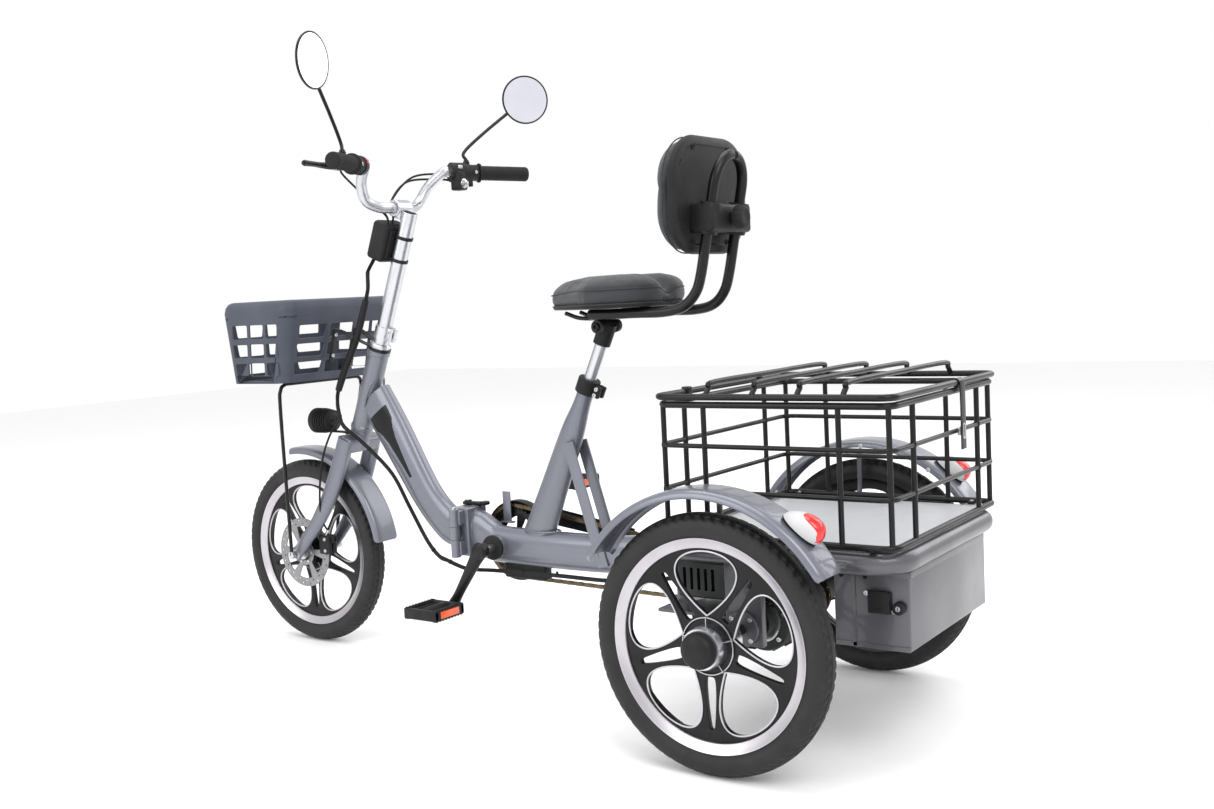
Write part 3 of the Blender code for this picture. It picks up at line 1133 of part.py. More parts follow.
# --- assembly ----------------------------------------------------------------------------------------
def build():
    clear_scene()
    rear_frame()
    rear_subframe()
    deck_panel()
    rear_box()
    battery_pack()
    controller_case()
    drive_motor()
    seat_clamp()
    chain()
    cargo_cage()
    for side, word in ((1, "left"), (-1, "right")):
        fender(f"rear_fender_{word}", side * TRACK / 2, REAR_Y, FENDER_R, FENDER_HALF, 149, 31, 10)
        tail_light(side, word)
        wheel_pivot = pivot(f"pivot_wheel_{word}", (side * TRACK / 2, REAR_Y, TYRE_R))
        hang(wheel_pivot, *rear_wheel(side, word))
    cable("cable_rear", REAR_CABLE, 3)

    cap = dress(block((BOX_X + 0.006 + GAP, 0.782, 0.251), (BOX_X + 0.011, 0.818, 0.285), 0.001),
                "charge_cap", "black_plastic")
    hang(pivot("pivot_charge_cap", (BOX_X + 0.0085, 0.800, 0.286)), cap)
    lock_profile = ((GAP, 0), (GAP, 0.010), (0.012, 0.010), (0.014, 0.008), (0.014, 0))
    lock = dress(turned(lock_profile, (BOX_X, 0.832, 0.262), (1, 0, 0), 16), "box_lock", "black_plastic")
    hang(pivot("pivot_box_lock", (BOX_X, 0.832, 0.262)), lock)

    lid_pivot = pivot("pivot_lid", (0, CAGE_FRONT - LID_OVERHANG, lid_height()))
    hang(lid_pivot, cage_lid())
    hang(pivot("pivot_hasp", (0, CAGE_REAR + LID_OVERHANG, lid_height()), lid_pivot), lid_hasp())

    seat_pivot = pivot("pivot_seat", SEAT_TUBE_TOP)
    hang(seat_pivot, seatpost(), seat_frame(), saddle_pad())
    back_pivot = pivot("pivot_backrest", (0, SHELL_Y, CLAMP_Z), seat_pivot)
    hang(back_pivot, backrest_shell(), backrest_pad())
    hang(pivot("pivot_knob", (0, SHELL_Y + 0.059, CLAMP_Z), back_pivot), backrest_knob())

    crank_pivot = pivot("pivot_crank", (0, BB_Y, BB_Z))
    hang(crank_pivot, crank(1, "left"), crank(-1, "right"), chainring())
    for side, word in ((1, "left"), (-1, "right")):
        place = Vector((side * CRANK_X, BB_Y, BB_Z)) + PEDAL_SWING * side
        hang(pivot(f"pivot_pedal_{word}", place, crank_pivot), pedal(side, word))
    hang(pivot("pivot_sprocket", (CHAIN_X, REAR_Y, TYRE_R)), rear_sprocket())

    fold_pivot = pivot("pivot_fold", (PIN_X, HINGE_Y, HINGE_LOW))
    hang(fold_pivot, front_frame(), cable("cable_frame", FRAME_CABLE, 3))
    hang(pivot("pivot_fold_latch", (-0.015, HINGE_Y - 0.012, HINGE_HIGH), fold_pivot), fold_latch())

    steer_pivot = pivot("pivot_steering", steer(HEAD_LOW_S), fold_pivot)
    front_fender = fender("front_fender", 0, FRONT_Y, FRONT_FENDER_R, FRONT_FENDER_HALF, 99, 9, 8)
    hang(steer_pivot, fork(), stem(), handlebar(), front_fender, display_case(), basket(), basket_stays(),
         front_caliper(),
         grip(1, "grip_left"), brake_perch(1, "brake_perch_left"), brake_perch(-1, "control_pod_right"),
         cable("cable_steering", STEER_CABLE, 3))
    lamp, lamp_foot = headlight()
    hang(pivot("pivot_headlight", lamp_foot, steer_pivot), lamp)
    hang(pivot("pivot_throttle", grip_frame(-1)[0], steer_pivot), grip(-1, "throttle_grip"))
    for side, word in ((1, "left"), (-1, "right")):
        hang(pivot(f"pivot_lever_{word}", by_grip(side, -0.010, 0.036, 0), steer_pivot),
             brake_lever(side, word))
    key_place = by_grip(-1, -0.052, 0, 0) + Vector((0.002, 0.026, -0.026))
    hang(pivot("pivot_key", key_place, steer_pivot), ignition_key())
    for side, word, centre, facing in ((1, "left", (0.305, -0.240, 1.226), (-0.25, 0.96, -0.05)),
                                       (-1, "right", (-0.317, -0.228, 1.209), (0.58, 0.81, -0.08))):
        glass, foot = mirror(side, word, centre, facing)
        hang(pivot(f"pivot_mirror_{word}", foot, steer_pivot), glass)
    hang(pivot("pivot_front_wheel", (0, FRONT_Y, TYRE_R), steer_pivot), *front_wheel(), front_rotor())


build()
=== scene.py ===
"""Looks of an adult folding electric tricycle, built round its fixed frame and laid out as a Blender add-on."""
import json
import math

import bmesh
import bpy
import numpy as np
from mathutils import Matrix, Vector


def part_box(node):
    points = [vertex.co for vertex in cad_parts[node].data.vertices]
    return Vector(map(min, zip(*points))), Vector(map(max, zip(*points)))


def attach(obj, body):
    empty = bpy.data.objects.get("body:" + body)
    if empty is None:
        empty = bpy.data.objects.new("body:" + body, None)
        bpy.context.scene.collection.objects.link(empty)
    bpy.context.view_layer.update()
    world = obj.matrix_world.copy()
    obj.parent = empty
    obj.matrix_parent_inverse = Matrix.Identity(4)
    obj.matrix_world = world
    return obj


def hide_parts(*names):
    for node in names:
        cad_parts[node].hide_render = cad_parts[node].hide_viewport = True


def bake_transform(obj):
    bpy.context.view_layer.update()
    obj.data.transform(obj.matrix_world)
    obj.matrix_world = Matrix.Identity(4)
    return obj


bl_info = {
    "name": "Folding Electric Tricycle",
    "version": (1, 0, 0),
    "blender": (4, 5, 0),
    "location": "View3D > Sidebar > Tricycle",
    "description": "Builds the visible pieces and finishes of an adult folding electric tricycle",
    "category": "Object",
}

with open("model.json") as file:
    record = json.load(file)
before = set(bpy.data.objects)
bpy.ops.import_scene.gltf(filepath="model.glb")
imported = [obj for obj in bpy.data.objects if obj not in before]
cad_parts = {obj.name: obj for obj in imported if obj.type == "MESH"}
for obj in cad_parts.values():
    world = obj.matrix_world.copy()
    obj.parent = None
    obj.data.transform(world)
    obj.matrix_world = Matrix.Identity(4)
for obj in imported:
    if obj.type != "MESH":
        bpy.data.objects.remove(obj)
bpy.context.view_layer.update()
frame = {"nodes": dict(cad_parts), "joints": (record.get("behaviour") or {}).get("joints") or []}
JOINTS = {joint["name"]: joint for joint in frame["joints"]}


# --- places read from the frame ----------------------------------------------------------------------
def vec(*xyz):
    return np.array(xyz, float)


def unit(v):
    return v / np.linalg.norm(v, axis=-1, keepdims=True)


def spot(joint):
    return np.array(JOINTS[joint]["pos_m"], float)


def low(node):
    return np.array(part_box(node)[0])


def high(node):
    return np.array(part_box(node)[1])


def mid(node):
    return (low(node) + high(node)) / 2


FRONT_HUB = spot("front_wheel_spin")
LEFT_HUB = spot("rear_wheel_left_spin")
RIGHT_HUB = spot("rear_wheel_right_spin")
AXLE_Y, TYRE_R = LEFT_HUB[1], LEFT_HUB[2]
HALF_TRACK = LEFT_HUB[0]
BRACKET = spot("crank_spin")
PIN = spot("frame_fold")
HINGE_LOW, HINGE_HIGH = PIN[2], spot("fold_latch_turn")[2]
HINGE_MIDDLE = (HINGE_LOW + HINGE_HIGH) / 2
AXIS = np.array(JOINTS["steering_turn"]["axis"], float)
AHEAD = vec(0, -AXIS[2], AXIS[1])
HEAD_LOW = 0.33                        # the lower race's place along the steering axis
STEER_FOOT = spot("steering_turn") - AXIS * HEAD_LOW
HEAD_TOP = 0.517
STEM_TOP = 0.827
CROWN = 0.3
BAR_CENTRE = STEER_FOOT + AXIS * STEM_TOP + AHEAD * 0.03
SEAT_AXIS = np.array(JOINTS["seat_height"]["axis"], float)
LEG_AXIS = np.array(JOINTS["backrest_height"]["axis"], float)
SEAT_FOOT = vec(0, -0.005, 0.287)
KNOB = spot("knob_turn")
LID_Z = spot("lid_open")[2]
PAD_Z = low("saddle_pad")[2]
CAGE_LOW, CAGE_HIGH = low("cargo_cage"), high("cargo_cage")
DECK_TOP = high("deck_panel")[2]
BOX_LOW, BOX_HIGH = low("rear_box"), high("rear_box")
THROTTLE = spot("throttle_twist")
OUTWARD = {-1: np.array(JOINTS["throttle_twist"]["axis"], float)}
OUTWARD[1] = OUTWARD[-1] * vec(-1, 1, 1)
GRIP_INNER = {-1: THROTTLE, 1: THROTTLE * vec(-1, 1, 1)}
GRIP_LENGTH = 0.118
BAR_R = 0.0111
TUBE_Z = 0.2615
X_AXIS, Y_AXIS, Z_AXIS = np.eye(3)


def steer(s, side=0.0, ahead=0.0):
    """A point by its place along the steering axis, to the left of it and ahead of it."""
    return STEER_FOOT + AXIS * s + X_AXIS * side + AHEAD * ahead


def by_grip(side, out, forward, up):
    """A point by its distance along a grip, ahead of it and above it."""
    outward = OUTWARD[side]
    front = unit(np.cross(Z_AXIS, outward)) * -side
    top = unit(np.cross(outward, front)) * -side
    return GRIP_INNER[side] + outward * out + front * forward + top * up


# --- surfaces ----------------------------------------------------------------------------------------
def curve_through(points, per_span=8, closed=False):
    """Catmull-Rom: between two points, half of (2b + (c-a)t + (2a-5b+4c-d)t2 + (3b-a-3c+d)t3)."""
    p = np.asarray(points, float)
    if closed:
        pad = np.concatenate([p[-1:], p, p[:2]])
    else:
        pad = np.concatenate([2 * p[:1] - p[1:2], p, 2 * p[-1:] - p[-2:-1]])
    t = (np.arange(per_span) / per_span)[None, :, None]
    a, b, c, d = pad[:-3, None], pad[1:-2, None], pad[2:-1, None], pad[3:, None]
    curve = 0.5 * (2 * b + (c - a) * t + (2 * a - 5 * b + 4 * c - d) * t * t + (3 * b - a - 3 * c + d) * t ** 3)
    curve = curve.reshape(-1, p.shape[1])
    return curve if closed else np.concatenate([curve, p[-1:]])


def oval(wide, tall, count=24, power=1.0):
    """Section points (wide cos^power, tall sin^power); a power under 1 squares the corners."""
    angle = 2 * math.pi * (np.arange(count) + 0.5) / count
    a, b = np.cos(angle), np.sin(angle)
    return np.stack([wide * np.sign(a) * abs(a) ** power, tall * np.sign(b) * abs(b) ** power], 1)


def round_box(wide, tall, radius, steps=4):
    """Section points of a rectangle of half sizes wide and tall whose corners are quarter circles."""
    corner = np.repeat(np.arange(4), steps + 1)
    angle = math.pi / 2 * (corner + np.tile(np.arange(steps + 1) / steps, 4))
    sx, sy = np.array([1, -1, -1, 1])[corner], np.array([1, 1, -1, -1])[corner]
    return np.stack([sx * (wide - radius) + radius * np.cos(angle), sy * (tall - radius) + radius * np.sin(angle)], 1)


def loop_at(x0, x1, y0, y1, z, radius, steps=6):
    """A level rectangle with round corners, as a closed path."""
    flat = round_box((x1 - x0) / 2, (y1 - y0) / 2, radius, steps)
    return np.column_stack([flat[:, 0] + (x0 + x1) / 2, flat[:, 1] + (y0 + y1) / 2, np.full(len(flat), z)])


def swept(path, section, across=(1, 0, 0), closed=False, scales=None):
    """Section carried along a path: point + wide * a + tall * b, with wide square to the path."""
    path = np.asarray(path, float)
    if closed:
        tangent = unit(np.roll(path, -1, 0) - np.roll(path, 1, 0))
    else:
        tangent = unit(np.gradient(path, axis=0))
    across = np.broadcast_to(np.asarray(across, float), path.shape)
    wide = unit(across - tangent * np.sum(across * tangent, 1, keepdims=True))
    tall = np.cross(tangent, wide)
    scales = np.ones((len(path), 2)) if scales is None else np.asarray(scales, float)
    a = section[None, :, 0] * scales[:, :1]
    b = section[None, :, 1] * scales[:, 1:]
    return path[:, None] + wide[:, None] * a[..., None] + tall[:, None] * b[..., None]


def along(path, *values):
    """Values given at the first, middle and last points of a path's parameter, spread evenly over its rows."""
    knots = np.linspace(0, 1, len(values))
    t = np.linspace(0, 1, len(path))
    table = np.asarray(values, float)
    return np.stack([np.interp(t, knots, table[:, k]) for k in range(table.shape[1])], 1)


def turned(profile, centre, axis, count=48):
    """Grid of a profile of (along, radius) turned about an axis."""
    axis = unit(np.asarray(axis, float))
    side = unit(np.cross(axis, vec(0, 0, 1) if abs(axis[2]) < 0.9 else vec(0, 1, 0)))
    up = np.cross(axis, side)
    angle = 2 * math.pi * np.arange(count) / count
    spoke = side * np.cos(angle)[:, None] + up * np.sin(angle)[:, None]
    profile = np.asarray(profile, float)
    return centre + axis * profile[:, None, :1] + spoke[None] * profile[:, None, 1:]


def rod(start, end, radius, count=24, chamfer=0.0006):
    start, end = np.asarray(start, float), np.asarray(end, float)
    length = np.linalg.norm(end - start)
    c = min(chamfer, radius / 3, length / 3)
    profile = ((0, radius - c), (c, radius), (length - c, radius), (length, radius - c))
    return turned(profile, start, end - start, count)


def brick(centre, half, radius, axes=None, steps=4):
    """A box with round edges: a round-cornered section whose inset follows a quarter circle at both ends."""
    half = np.asarray(half, float)
    quarter = np.linspace(0, math.pi / 2, steps + 1)
    height = np.concatenate([-half[2] + radius * (1 - np.cos(quarter)),
                             half[2] - radius * (1 - np.cos(quarter[::-1]))])
    inset = np.concatenate([radius * (1 - np.sin(quarter)), radius * (1 - np.sin(quarter[::-1]))])
    rows = []
    for z, cut in zip(height, inset):
        section = round_box(half[0] - cut, half[1] - cut, max(radius - cut, radius * 0.05), steps)
        rows.append(np.column_stack([section, np.full(len(section), z)]))
    axes = np.eye(3) if axes is None else np.asarray(axes, float)
    return np.asarray(centre) + np.stack(rows) @ axes


class Shell:
    """Collects grids of points and turns them into one mesh."""

    def __init__(self):
        self.points, self.faces, self.marks, self.total = [], [], [], 0

    def add(self, grid, mark=0, rows_close=False, columns_close=True, caps=True, flip=False):
        """Joins neighbours of a grid by quads; caps close the first and the last row."""
        n, m = grid.shape[:2]
        index = self.total + np.arange(n * m).reshape(n, m)
        if rows_close:
            index = np.concatenate([index, index[:1]])
        if columns_close:
            index = np.concatenate([index, index[:, :1]], axis=1)
        quads = np.stack([index[:-1, :-1], index[:-1, 1:], index[1:, 1:], index[1:, :-1]], -1).reshape(-1, 4)
        faces = quads.tolist()
        if caps and not rows_close and columns_close:
            faces += [index[0, :m][::-1].tolist(), index[-1, :m].tolist()]
        if flip:
            faces = [face[::-1] for face in faces]
        self.points.append(grid.reshape(-1, 3))
        self.faces += faces
        self.marks += [mark] * len(faces)
        self.total += n * m
        return self

    def tube(self, path, radius, mark=0, closed=False, across=(1, 0, 0), count=14):
        return self.add(swept(path, oval(radius, radius, count), across, closed), mark, rows_close=closed)

    def made(self, name, body, finishes, slot=None, sharp=35.0, replaces=(), ride=True):
        """The mesh as an object that rides on a body, with one material for each mark."""
        mesh = bpy.data.meshes.new(name)
        mesh.from_pydata(np.concatenate(self.points).tolist(), [], self.faces)
        piece = bpy.data.objects.new(name, mesh)
        bpy.context.scene.collection.objects.link(piece)
        shape = bmesh.new()
        shape.from_mesh(mesh)
        bmesh.ops.recalc_face_normals(shape, faces=shape.faces)
        shape.to_mesh(mesh)
        shape.free()
        finishes = [finishes] if isinstance(finishes, str) else finishes
        for finish in finishes:
            mesh.materials.append(material(finish))
        mesh.polygons.foreach_set("material_index", self.marks)
        mesh.shade_smooth()
        mesh.set_sharp_from_angle(angle=math.radians(sharp))
        return settle(piece, body if ride else None, replaces)


def settle(piece, body, replaces):
    """Tells the frame which body a piece rides on and hides the frame nodes that it stands for."""
    if body:
        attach(piece, body)
    if replaces:
        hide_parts(*replaces)
    return piece


def plate(outlines, half, bevel, place):
    """A flat sheet with holes: closed outlines of (a, b) filled, given thickness and bevelled, then put at place."""
    curve = bpy.data.curves.new("plate", "CURVE")
    curve.dimensions = "2D"
    curve.fill_mode = "BOTH"
    curve.extrude = half - bevel
    curve.bevel_depth = bevel
    curve.offset = -bevel
    curve.bevel_resolution = 2
    for outline in outlines:
        outline = np.asarray(outline, float)
        spline = curve.splines.new("POLY")
        spline.points.add(len(outline) - 1)
        spline.points.foreach_set("co", np.column_stack([outline, np.zeros(len(outline)),
            np.ones(len(outline))]).ravel())
        spline.use_cyclic_u = True
    holder = bpy.data.objects.new("plate", curve)
    bpy.context.scene.collection.objects.link(holder)
    mesh = bpy.data.meshes.new_from_object(holder.evaluated_get(bpy.context.evaluated_depsgraph_get()))
    shape = bmesh.new()
    shape.from_mesh(mesh)
    bmesh.ops.remove_doubles(shape, verts=shape.verts, dist=0.00001)
    shape.to_mesh(mesh)
    shape.free()
    flat = np.zeros(len(mesh.vertices) * 3)
    mesh.vertices.foreach_get("co", flat)
    flat = flat.reshape(-1, 3)
    faces = [list(polygon.vertices) for polygon in mesh.polygons]
    bpy.data.objects.remove(holder)
    bpy.data.curves.remove(curve)
    bpy.data.meshes.remove(mesh)
    origin, a, b, out = (np.asarray(v, float) for v in place)
    return origin + flat[:, :1] * a + flat[:, 1:2] * b + flat[:, 2:] * out, faces


def add_plate(shell, outlines, half, bevel, place, mark=0):
    points, faces = plate(outlines, half, bevel, place)
    shell.faces += [[i + shell.total for i in face] for face in faces]
    shell.marks += [mark] * len(faces)
    shell.points.append(points)
    shell.total += len(points)


def ring(radius, count=96):
    angle = 2 * math.pi * np.arange(count) / count
    return np.stack([radius * np.cos(angle), radius * np.sin(angle)], 1)


# --- shared effects ----------------------------------------------------------------------------------
def new_group(name, inputs, outputs):
    group = bpy.data.node_groups.new(name, "ShaderNodeTree")
    for label, kind, value in inputs:
        socket = group.interface.new_socket(label, in_out="INPUT", socket_type=kind)
        socket.default_value = value
    for label, kind in outputs:
        group.interface.new_socket(label, in_out="OUTPUT", socket_type=kind)
    return group, group.nodes.new("NodeGroupInput"), group.nodes.new("NodeGroupOutput")


def noise(tree, scale=None, detail=4.0, value=None, stretch=None):
    """A noise texture on Object coordinates; scale is a socket or value is a number."""
    coordinate = tree.nodes.new("ShaderNodeTexCoord").outputs["Object"]
    if stretch:
        mapping = tree.nodes.new("ShaderNodeMapping")
        mapping.inputs["Scale"].default_value = stretch
        tree.links.new(coordinate, mapping.inputs["Vector"])
        coordinate = mapping.outputs["Vector"]
    texture = tree.nodes.new("ShaderNodeTexNoise")
    texture.inputs["Detail"].default_value = detail
    tree.links.new(coordinate, texture.inputs["Vector"])
    if scale is not None:
        tree.links.new(scale, texture.inputs["Scale"])
    else:
        texture.inputs["Scale"].default_value = value
    return texture.outputs["Fac"]


def sums(tree, kind, first, second):
    """A Math node; each term is a socket or a number."""
    node = tree.nodes.new("ShaderNodeMath")
    node.operation = kind
    for socket, term in zip(node.inputs, (first, second)):
        if isinstance(term, (int, float)):
            socket.default_value = term
        else:
            tree.links.new(term, socket)
    return node.outputs[0]


def between(tree, value, start, end, to_start=0.0, to_end=1.0):
    node = tree.nodes.new("ShaderNodeMapRange")
    for socket, number in zip(node.inputs[1:5], (start, end, to_start, to_end)):
        socket.default_value = number
    tree.links.new(value, node.inputs[0])
    return node.outputs[0]


def blend_colour(tree, factor, first, second):
    node = tree.nodes.new("ShaderNodeMix")
    node.data_type = "RGBA"
    tree.links.new(factor, node.inputs[0])
    for socket, colour in ((node.inputs[6], first), (node.inputs[7], second)):
        if isinstance(colour, tuple):
            socket.default_value = (*colour, 1.0)
        else:
            tree.links.new(colour, socket)
    return node.outputs[2]


def patina_group():
    """Cloudy tone and settled dust as masks over a colour."""
    group, given, made = new_group(
        "Patina",
        (("Colour", "NodeSocketColor", (0.5, 0.5, 0.5, 1)), ("Second", "NodeSocketColor", (0.4, 0.4, 0.4, 1)),
         ("Cloud", "NodeSocketFloat", 0.3), ("Dust", "NodeSocketFloat", 0.1), ("Scale", "NodeSocketFloat", 14.0)),
        (("Colour", "NodeSocketColor"), ("Mask", "NodeSocketFloat")))
    cloud = between(group, noise(group, given.outputs["Scale"], 5.0), 0.38, 0.66)
    cloud = sums(group, "MULTIPLY", cloud, given.outputs["Cloud"])
    toned = blend_colour(group, cloud, given.outputs["Colour"], given.outputs["Second"])
    split = group.nodes.new("ShaderNodeSeparateXYZ")
    group.links.new(group.nodes.new("ShaderNodeTexCoord").outputs["Object"], split.inputs[0])
    near_ground = between(group, split.outputs["Z"], 0.55, 0.0, 0.25, 1.0)
    dust = sums(group, "MULTIPLY", between(group, noise(group, None, 8.0, 30.0), 0.42, 0.72), near_ground)
    dust = sums(group, "MULTIPLY", dust, given.outputs["Dust"])
    group.links.new(blend_colour(group, dust, toned, (0.34, 0.32, 0.29)), made.inputs["Colour"])
    group.links.new(sums(group, "MAXIMUM", dust, cloud), made.inputs["Mask"])
    return group


def grain_group():
    """Fine moulded or sprayed grain: a height and a roughness that varies with it."""
    group, given, made = new_group(
        "Grain",
        (("Scale", "NodeSocketFloat", 600.0), ("Roughness", "NodeSocketFloat", 0.5),
         ("Spread", "NodeSocketFloat", 0.1),
         ("Mask", "NodeSocketFloat", 0.0)),
        (("Height", "NodeSocketFloat"), ("Roughness", "NodeSocketFloat")))
    fine = noise(group, given.outputs["Scale"], 3.0)
    broad = noise(group, None, 4.0, 22.0)
    spread = sums(group, "MULTIPLY", sums(group, "SUBTRACT", broad, 0.5), given.outputs["Spread"])
    rough = sums(group, "ADD", sums(group, "ADD", given.outputs["Roughness"], spread),
                 sums(group, "MULTIPLY", given.outputs["Mask"], 0.25))
    group.links.new(fine, made.inputs["Height"])
    group.links.new(rough, made.inputs["Roughness"])
    return group


def hide_group():
    """Leatherette: cells with soft creases between them, over a finer cell."""
    group, given, made = new_group("Hide", (("Scale", "NodeSocketFloat", 420.0),), (("Height", "NodeSocketFloat"),))
    coordinate = group.nodes.new("ShaderNodeTexCoord").outputs["Object"]
    heights = []
    for share in (1.0, 2.6):
        cells = group.nodes.new("ShaderNodeTexVoronoi")
        cells.feature = "DISTANCE_TO_EDGE"
        group.links.new(coordinate, cells.inputs["Vector"])
        group.links.new(sums(group, "MULTIPLY", given.outputs["Scale"], share), cells.inputs["Scale"])
        heights.append(between(group, cells.outputs["Distance"], 0.0, 0.22))
    group.links.new(sums(group, "ADD", heights[0], sums(group, "MULTIPLY", heights[1], 0.35)), made.inputs["Height"])
    return group


def flake_group():
    """Metal flakes in paint: bright specks on single cells."""
    group, given, made = new_group("Flake", (("Scale", "NodeSocketFloat", 2600.0),
        ("Amount", "NodeSocketFloat", 0.3)),
                                   (("Mask", "NodeSocketFloat"),))
    cells = group.nodes.new("ShaderNodeTexVoronoi")
    group.links.new(group.nodes.new("ShaderNodeTexCoord").outputs["Object"], cells.inputs["Vector"])
    group.links.new(given.outputs["Scale"], cells.inputs["Scale"])
    split = group.nodes.new("ShaderNodeSeparateColor")
    group.links.new(cells.outputs["Color"], split.inputs[0])
    group.links.new(sums(group, "MULTIPLY", between(group, split.outputs[0], 0.7, 1.0), given.outputs["Amount"]),
                    made.inputs["Mask"])
    return group


EFFECTS = {}


def effect(name):
    """The shared node group of that name, built when it is first asked for."""
    if name not in EFFECTS:
        EFFECTS[name] = {"Patina": patina_group, "Grain": grain_group, "Hide": hide_group,
                         "Flake": flake_group}[name]()
    return EFFECTS[name]


def use(tree, name, **values):
    node = tree.nodes.new("ShaderNodeGroup")
    node.node_tree = effect(name)
    for label, value in values.items():
        node.inputs[label].default_value = value if isinstance(value, float) else (*value, 1.0)
    return node


# --- finishes ----------------------------------------------------------------------------------------
def base_material(name, colour, second, roughness, metallic=0.0, cloud=0.3, dust=0.08, scale=14.0, grain=700.0,
                  depth=0.0002, spread=0.12, strength=0.5, specular=0.5):
    """A Principled material whose colour, roughness and normal come from the shared effects."""
    made = bpy.data.materials.new(name)
    made.use_nodes = True
    tree = made.node_tree
    shader = tree.nodes["Principled BSDF"]
    patina = use(tree, "Patina", Colour=colour, Second=second, Cloud=cloud, Dust=dust, Scale=scale)
    texture = use(tree, "Grain", Scale=grain, Roughness=roughness, Spread=spread)
    tree.links.new(patina.outputs["Colour"], shader.inputs["Base Color"])
    tree.links.new(patina.outputs["Mask"], texture.inputs["Mask"])
    tree.links.new(texture.outputs["Roughness"], shader.inputs["Roughness"])
    bump = tree.nodes.new("ShaderNodeBump")
    bump.inputs["Distance"].default_value = depth
    bump.inputs["Strength"].default_value = strength
    tree.links.new(texture.outputs["Height"], bump.inputs["Height"])
    tree.links.new(bump.outputs["Normal"], shader.inputs["Normal"])
    shader.inputs["Metallic"].default_value = metallic
    shader.inputs["Specular IOR Level"].default_value = specular
    return made, tree, shader, patina, bump


def paint(name, colour, coat=0.6, specular=0.5):
    """Metallic paint: flakes in a tinted ground under clear coat."""
    dark = tuple(0.8 * c for c in colour)
    made, tree, shader, patina, _ = base_material(name, colour, dark, 0.34, 0.45, 0.35, 0.02, 9.0, 900.0, 0.00006,
        0.06,
                                                   specular=specular)
    flakes = use(tree, "Flake", Scale=2400.0, Amount=0.35)
    bright = blend_colour(tree, flakes.outputs["Mask"], patina.outputs["Colour"],
                          tuple(min(1.0, 1.9 * c) for c in colour))
    tree.links.new(bright, shader.inputs["Base Color"])
    shader.inputs["Coat Weight"].default_value = coat
    shader.inputs["Coat Roughness"].default_value = 0.08
    return made


def metal(name, colour, roughness, stretch=None, depth=0.00005):
    """Bare metal; stretch draws its grain out into brushing."""
    made, tree, _, _, bump = base_material(name, colour, tuple(0.82 * c for c in colour), roughness, 1.0, 0.3, 0.04,
                                                20.0, 500.0, depth, 0.12)
    if stretch:
        tree.links.new(noise(tree, None, 3.0, 60.0, stretch), bump.inputs["Height"])
    return made


def plastic(name, colour, roughness=0.5, grain=1100.0, depth=0.00025, dust=0.03):
    lighter = tuple(1.6 * c + 0.004 for c in colour)
    return base_material(name, colour, lighter, roughness, 0.0, 0.35, dust, 12.0, grain, depth, 0.14, specular=0.2)[0]


def leatherette(name, colour):
    lighter = tuple(1.5 * c for c in colour)
    made, tree, shader, _, bump = base_material(name, colour, lighter, 0.46, 0.0, 0.45, 0.02, 7.0, 900.0, 0.0004,
        0.16, 0.65, 0.26)
    tree.links.new(use(tree, "Hide", Scale=430.0).outputs["Height"], bump.inputs["Height"])
    shader.inputs["Sheen Weight"].default_value = 0.15
    return made


def lens(name, colour, roughness=0.12):
    made, _, shader, _, _ = base_material(name, colour, tuple(0.6 * c for c in colour), roughness, 0.0, 0.4, 0.03,
        40.0,
                                             260.0, 0.0003, 0.05)
    shader.inputs["Coat Weight"].default_value = 0.4
    # The faint emission in the lens colour is a glow. On the headlight and the tail lights it is a lamp's glow. On
    # the pedal reflectors and the red switch buttons it is a painted glow, as they are not lamps.
    shader.inputs["Emission Color"].default_value = (*colour, 1.0)
    shader.inputs["Emission Strength"].default_value = 0.08
    return made


def tyre_rubber(name):
    return base_material(name, (0.0075, 0.0075, 0.008), (0.012, 0.012, 0.012), 0.5, 0.0, 0.5, 0.02, 18.0, 1500.0,
                         0.0003, 0.16,
                         specular=0.36)[0]


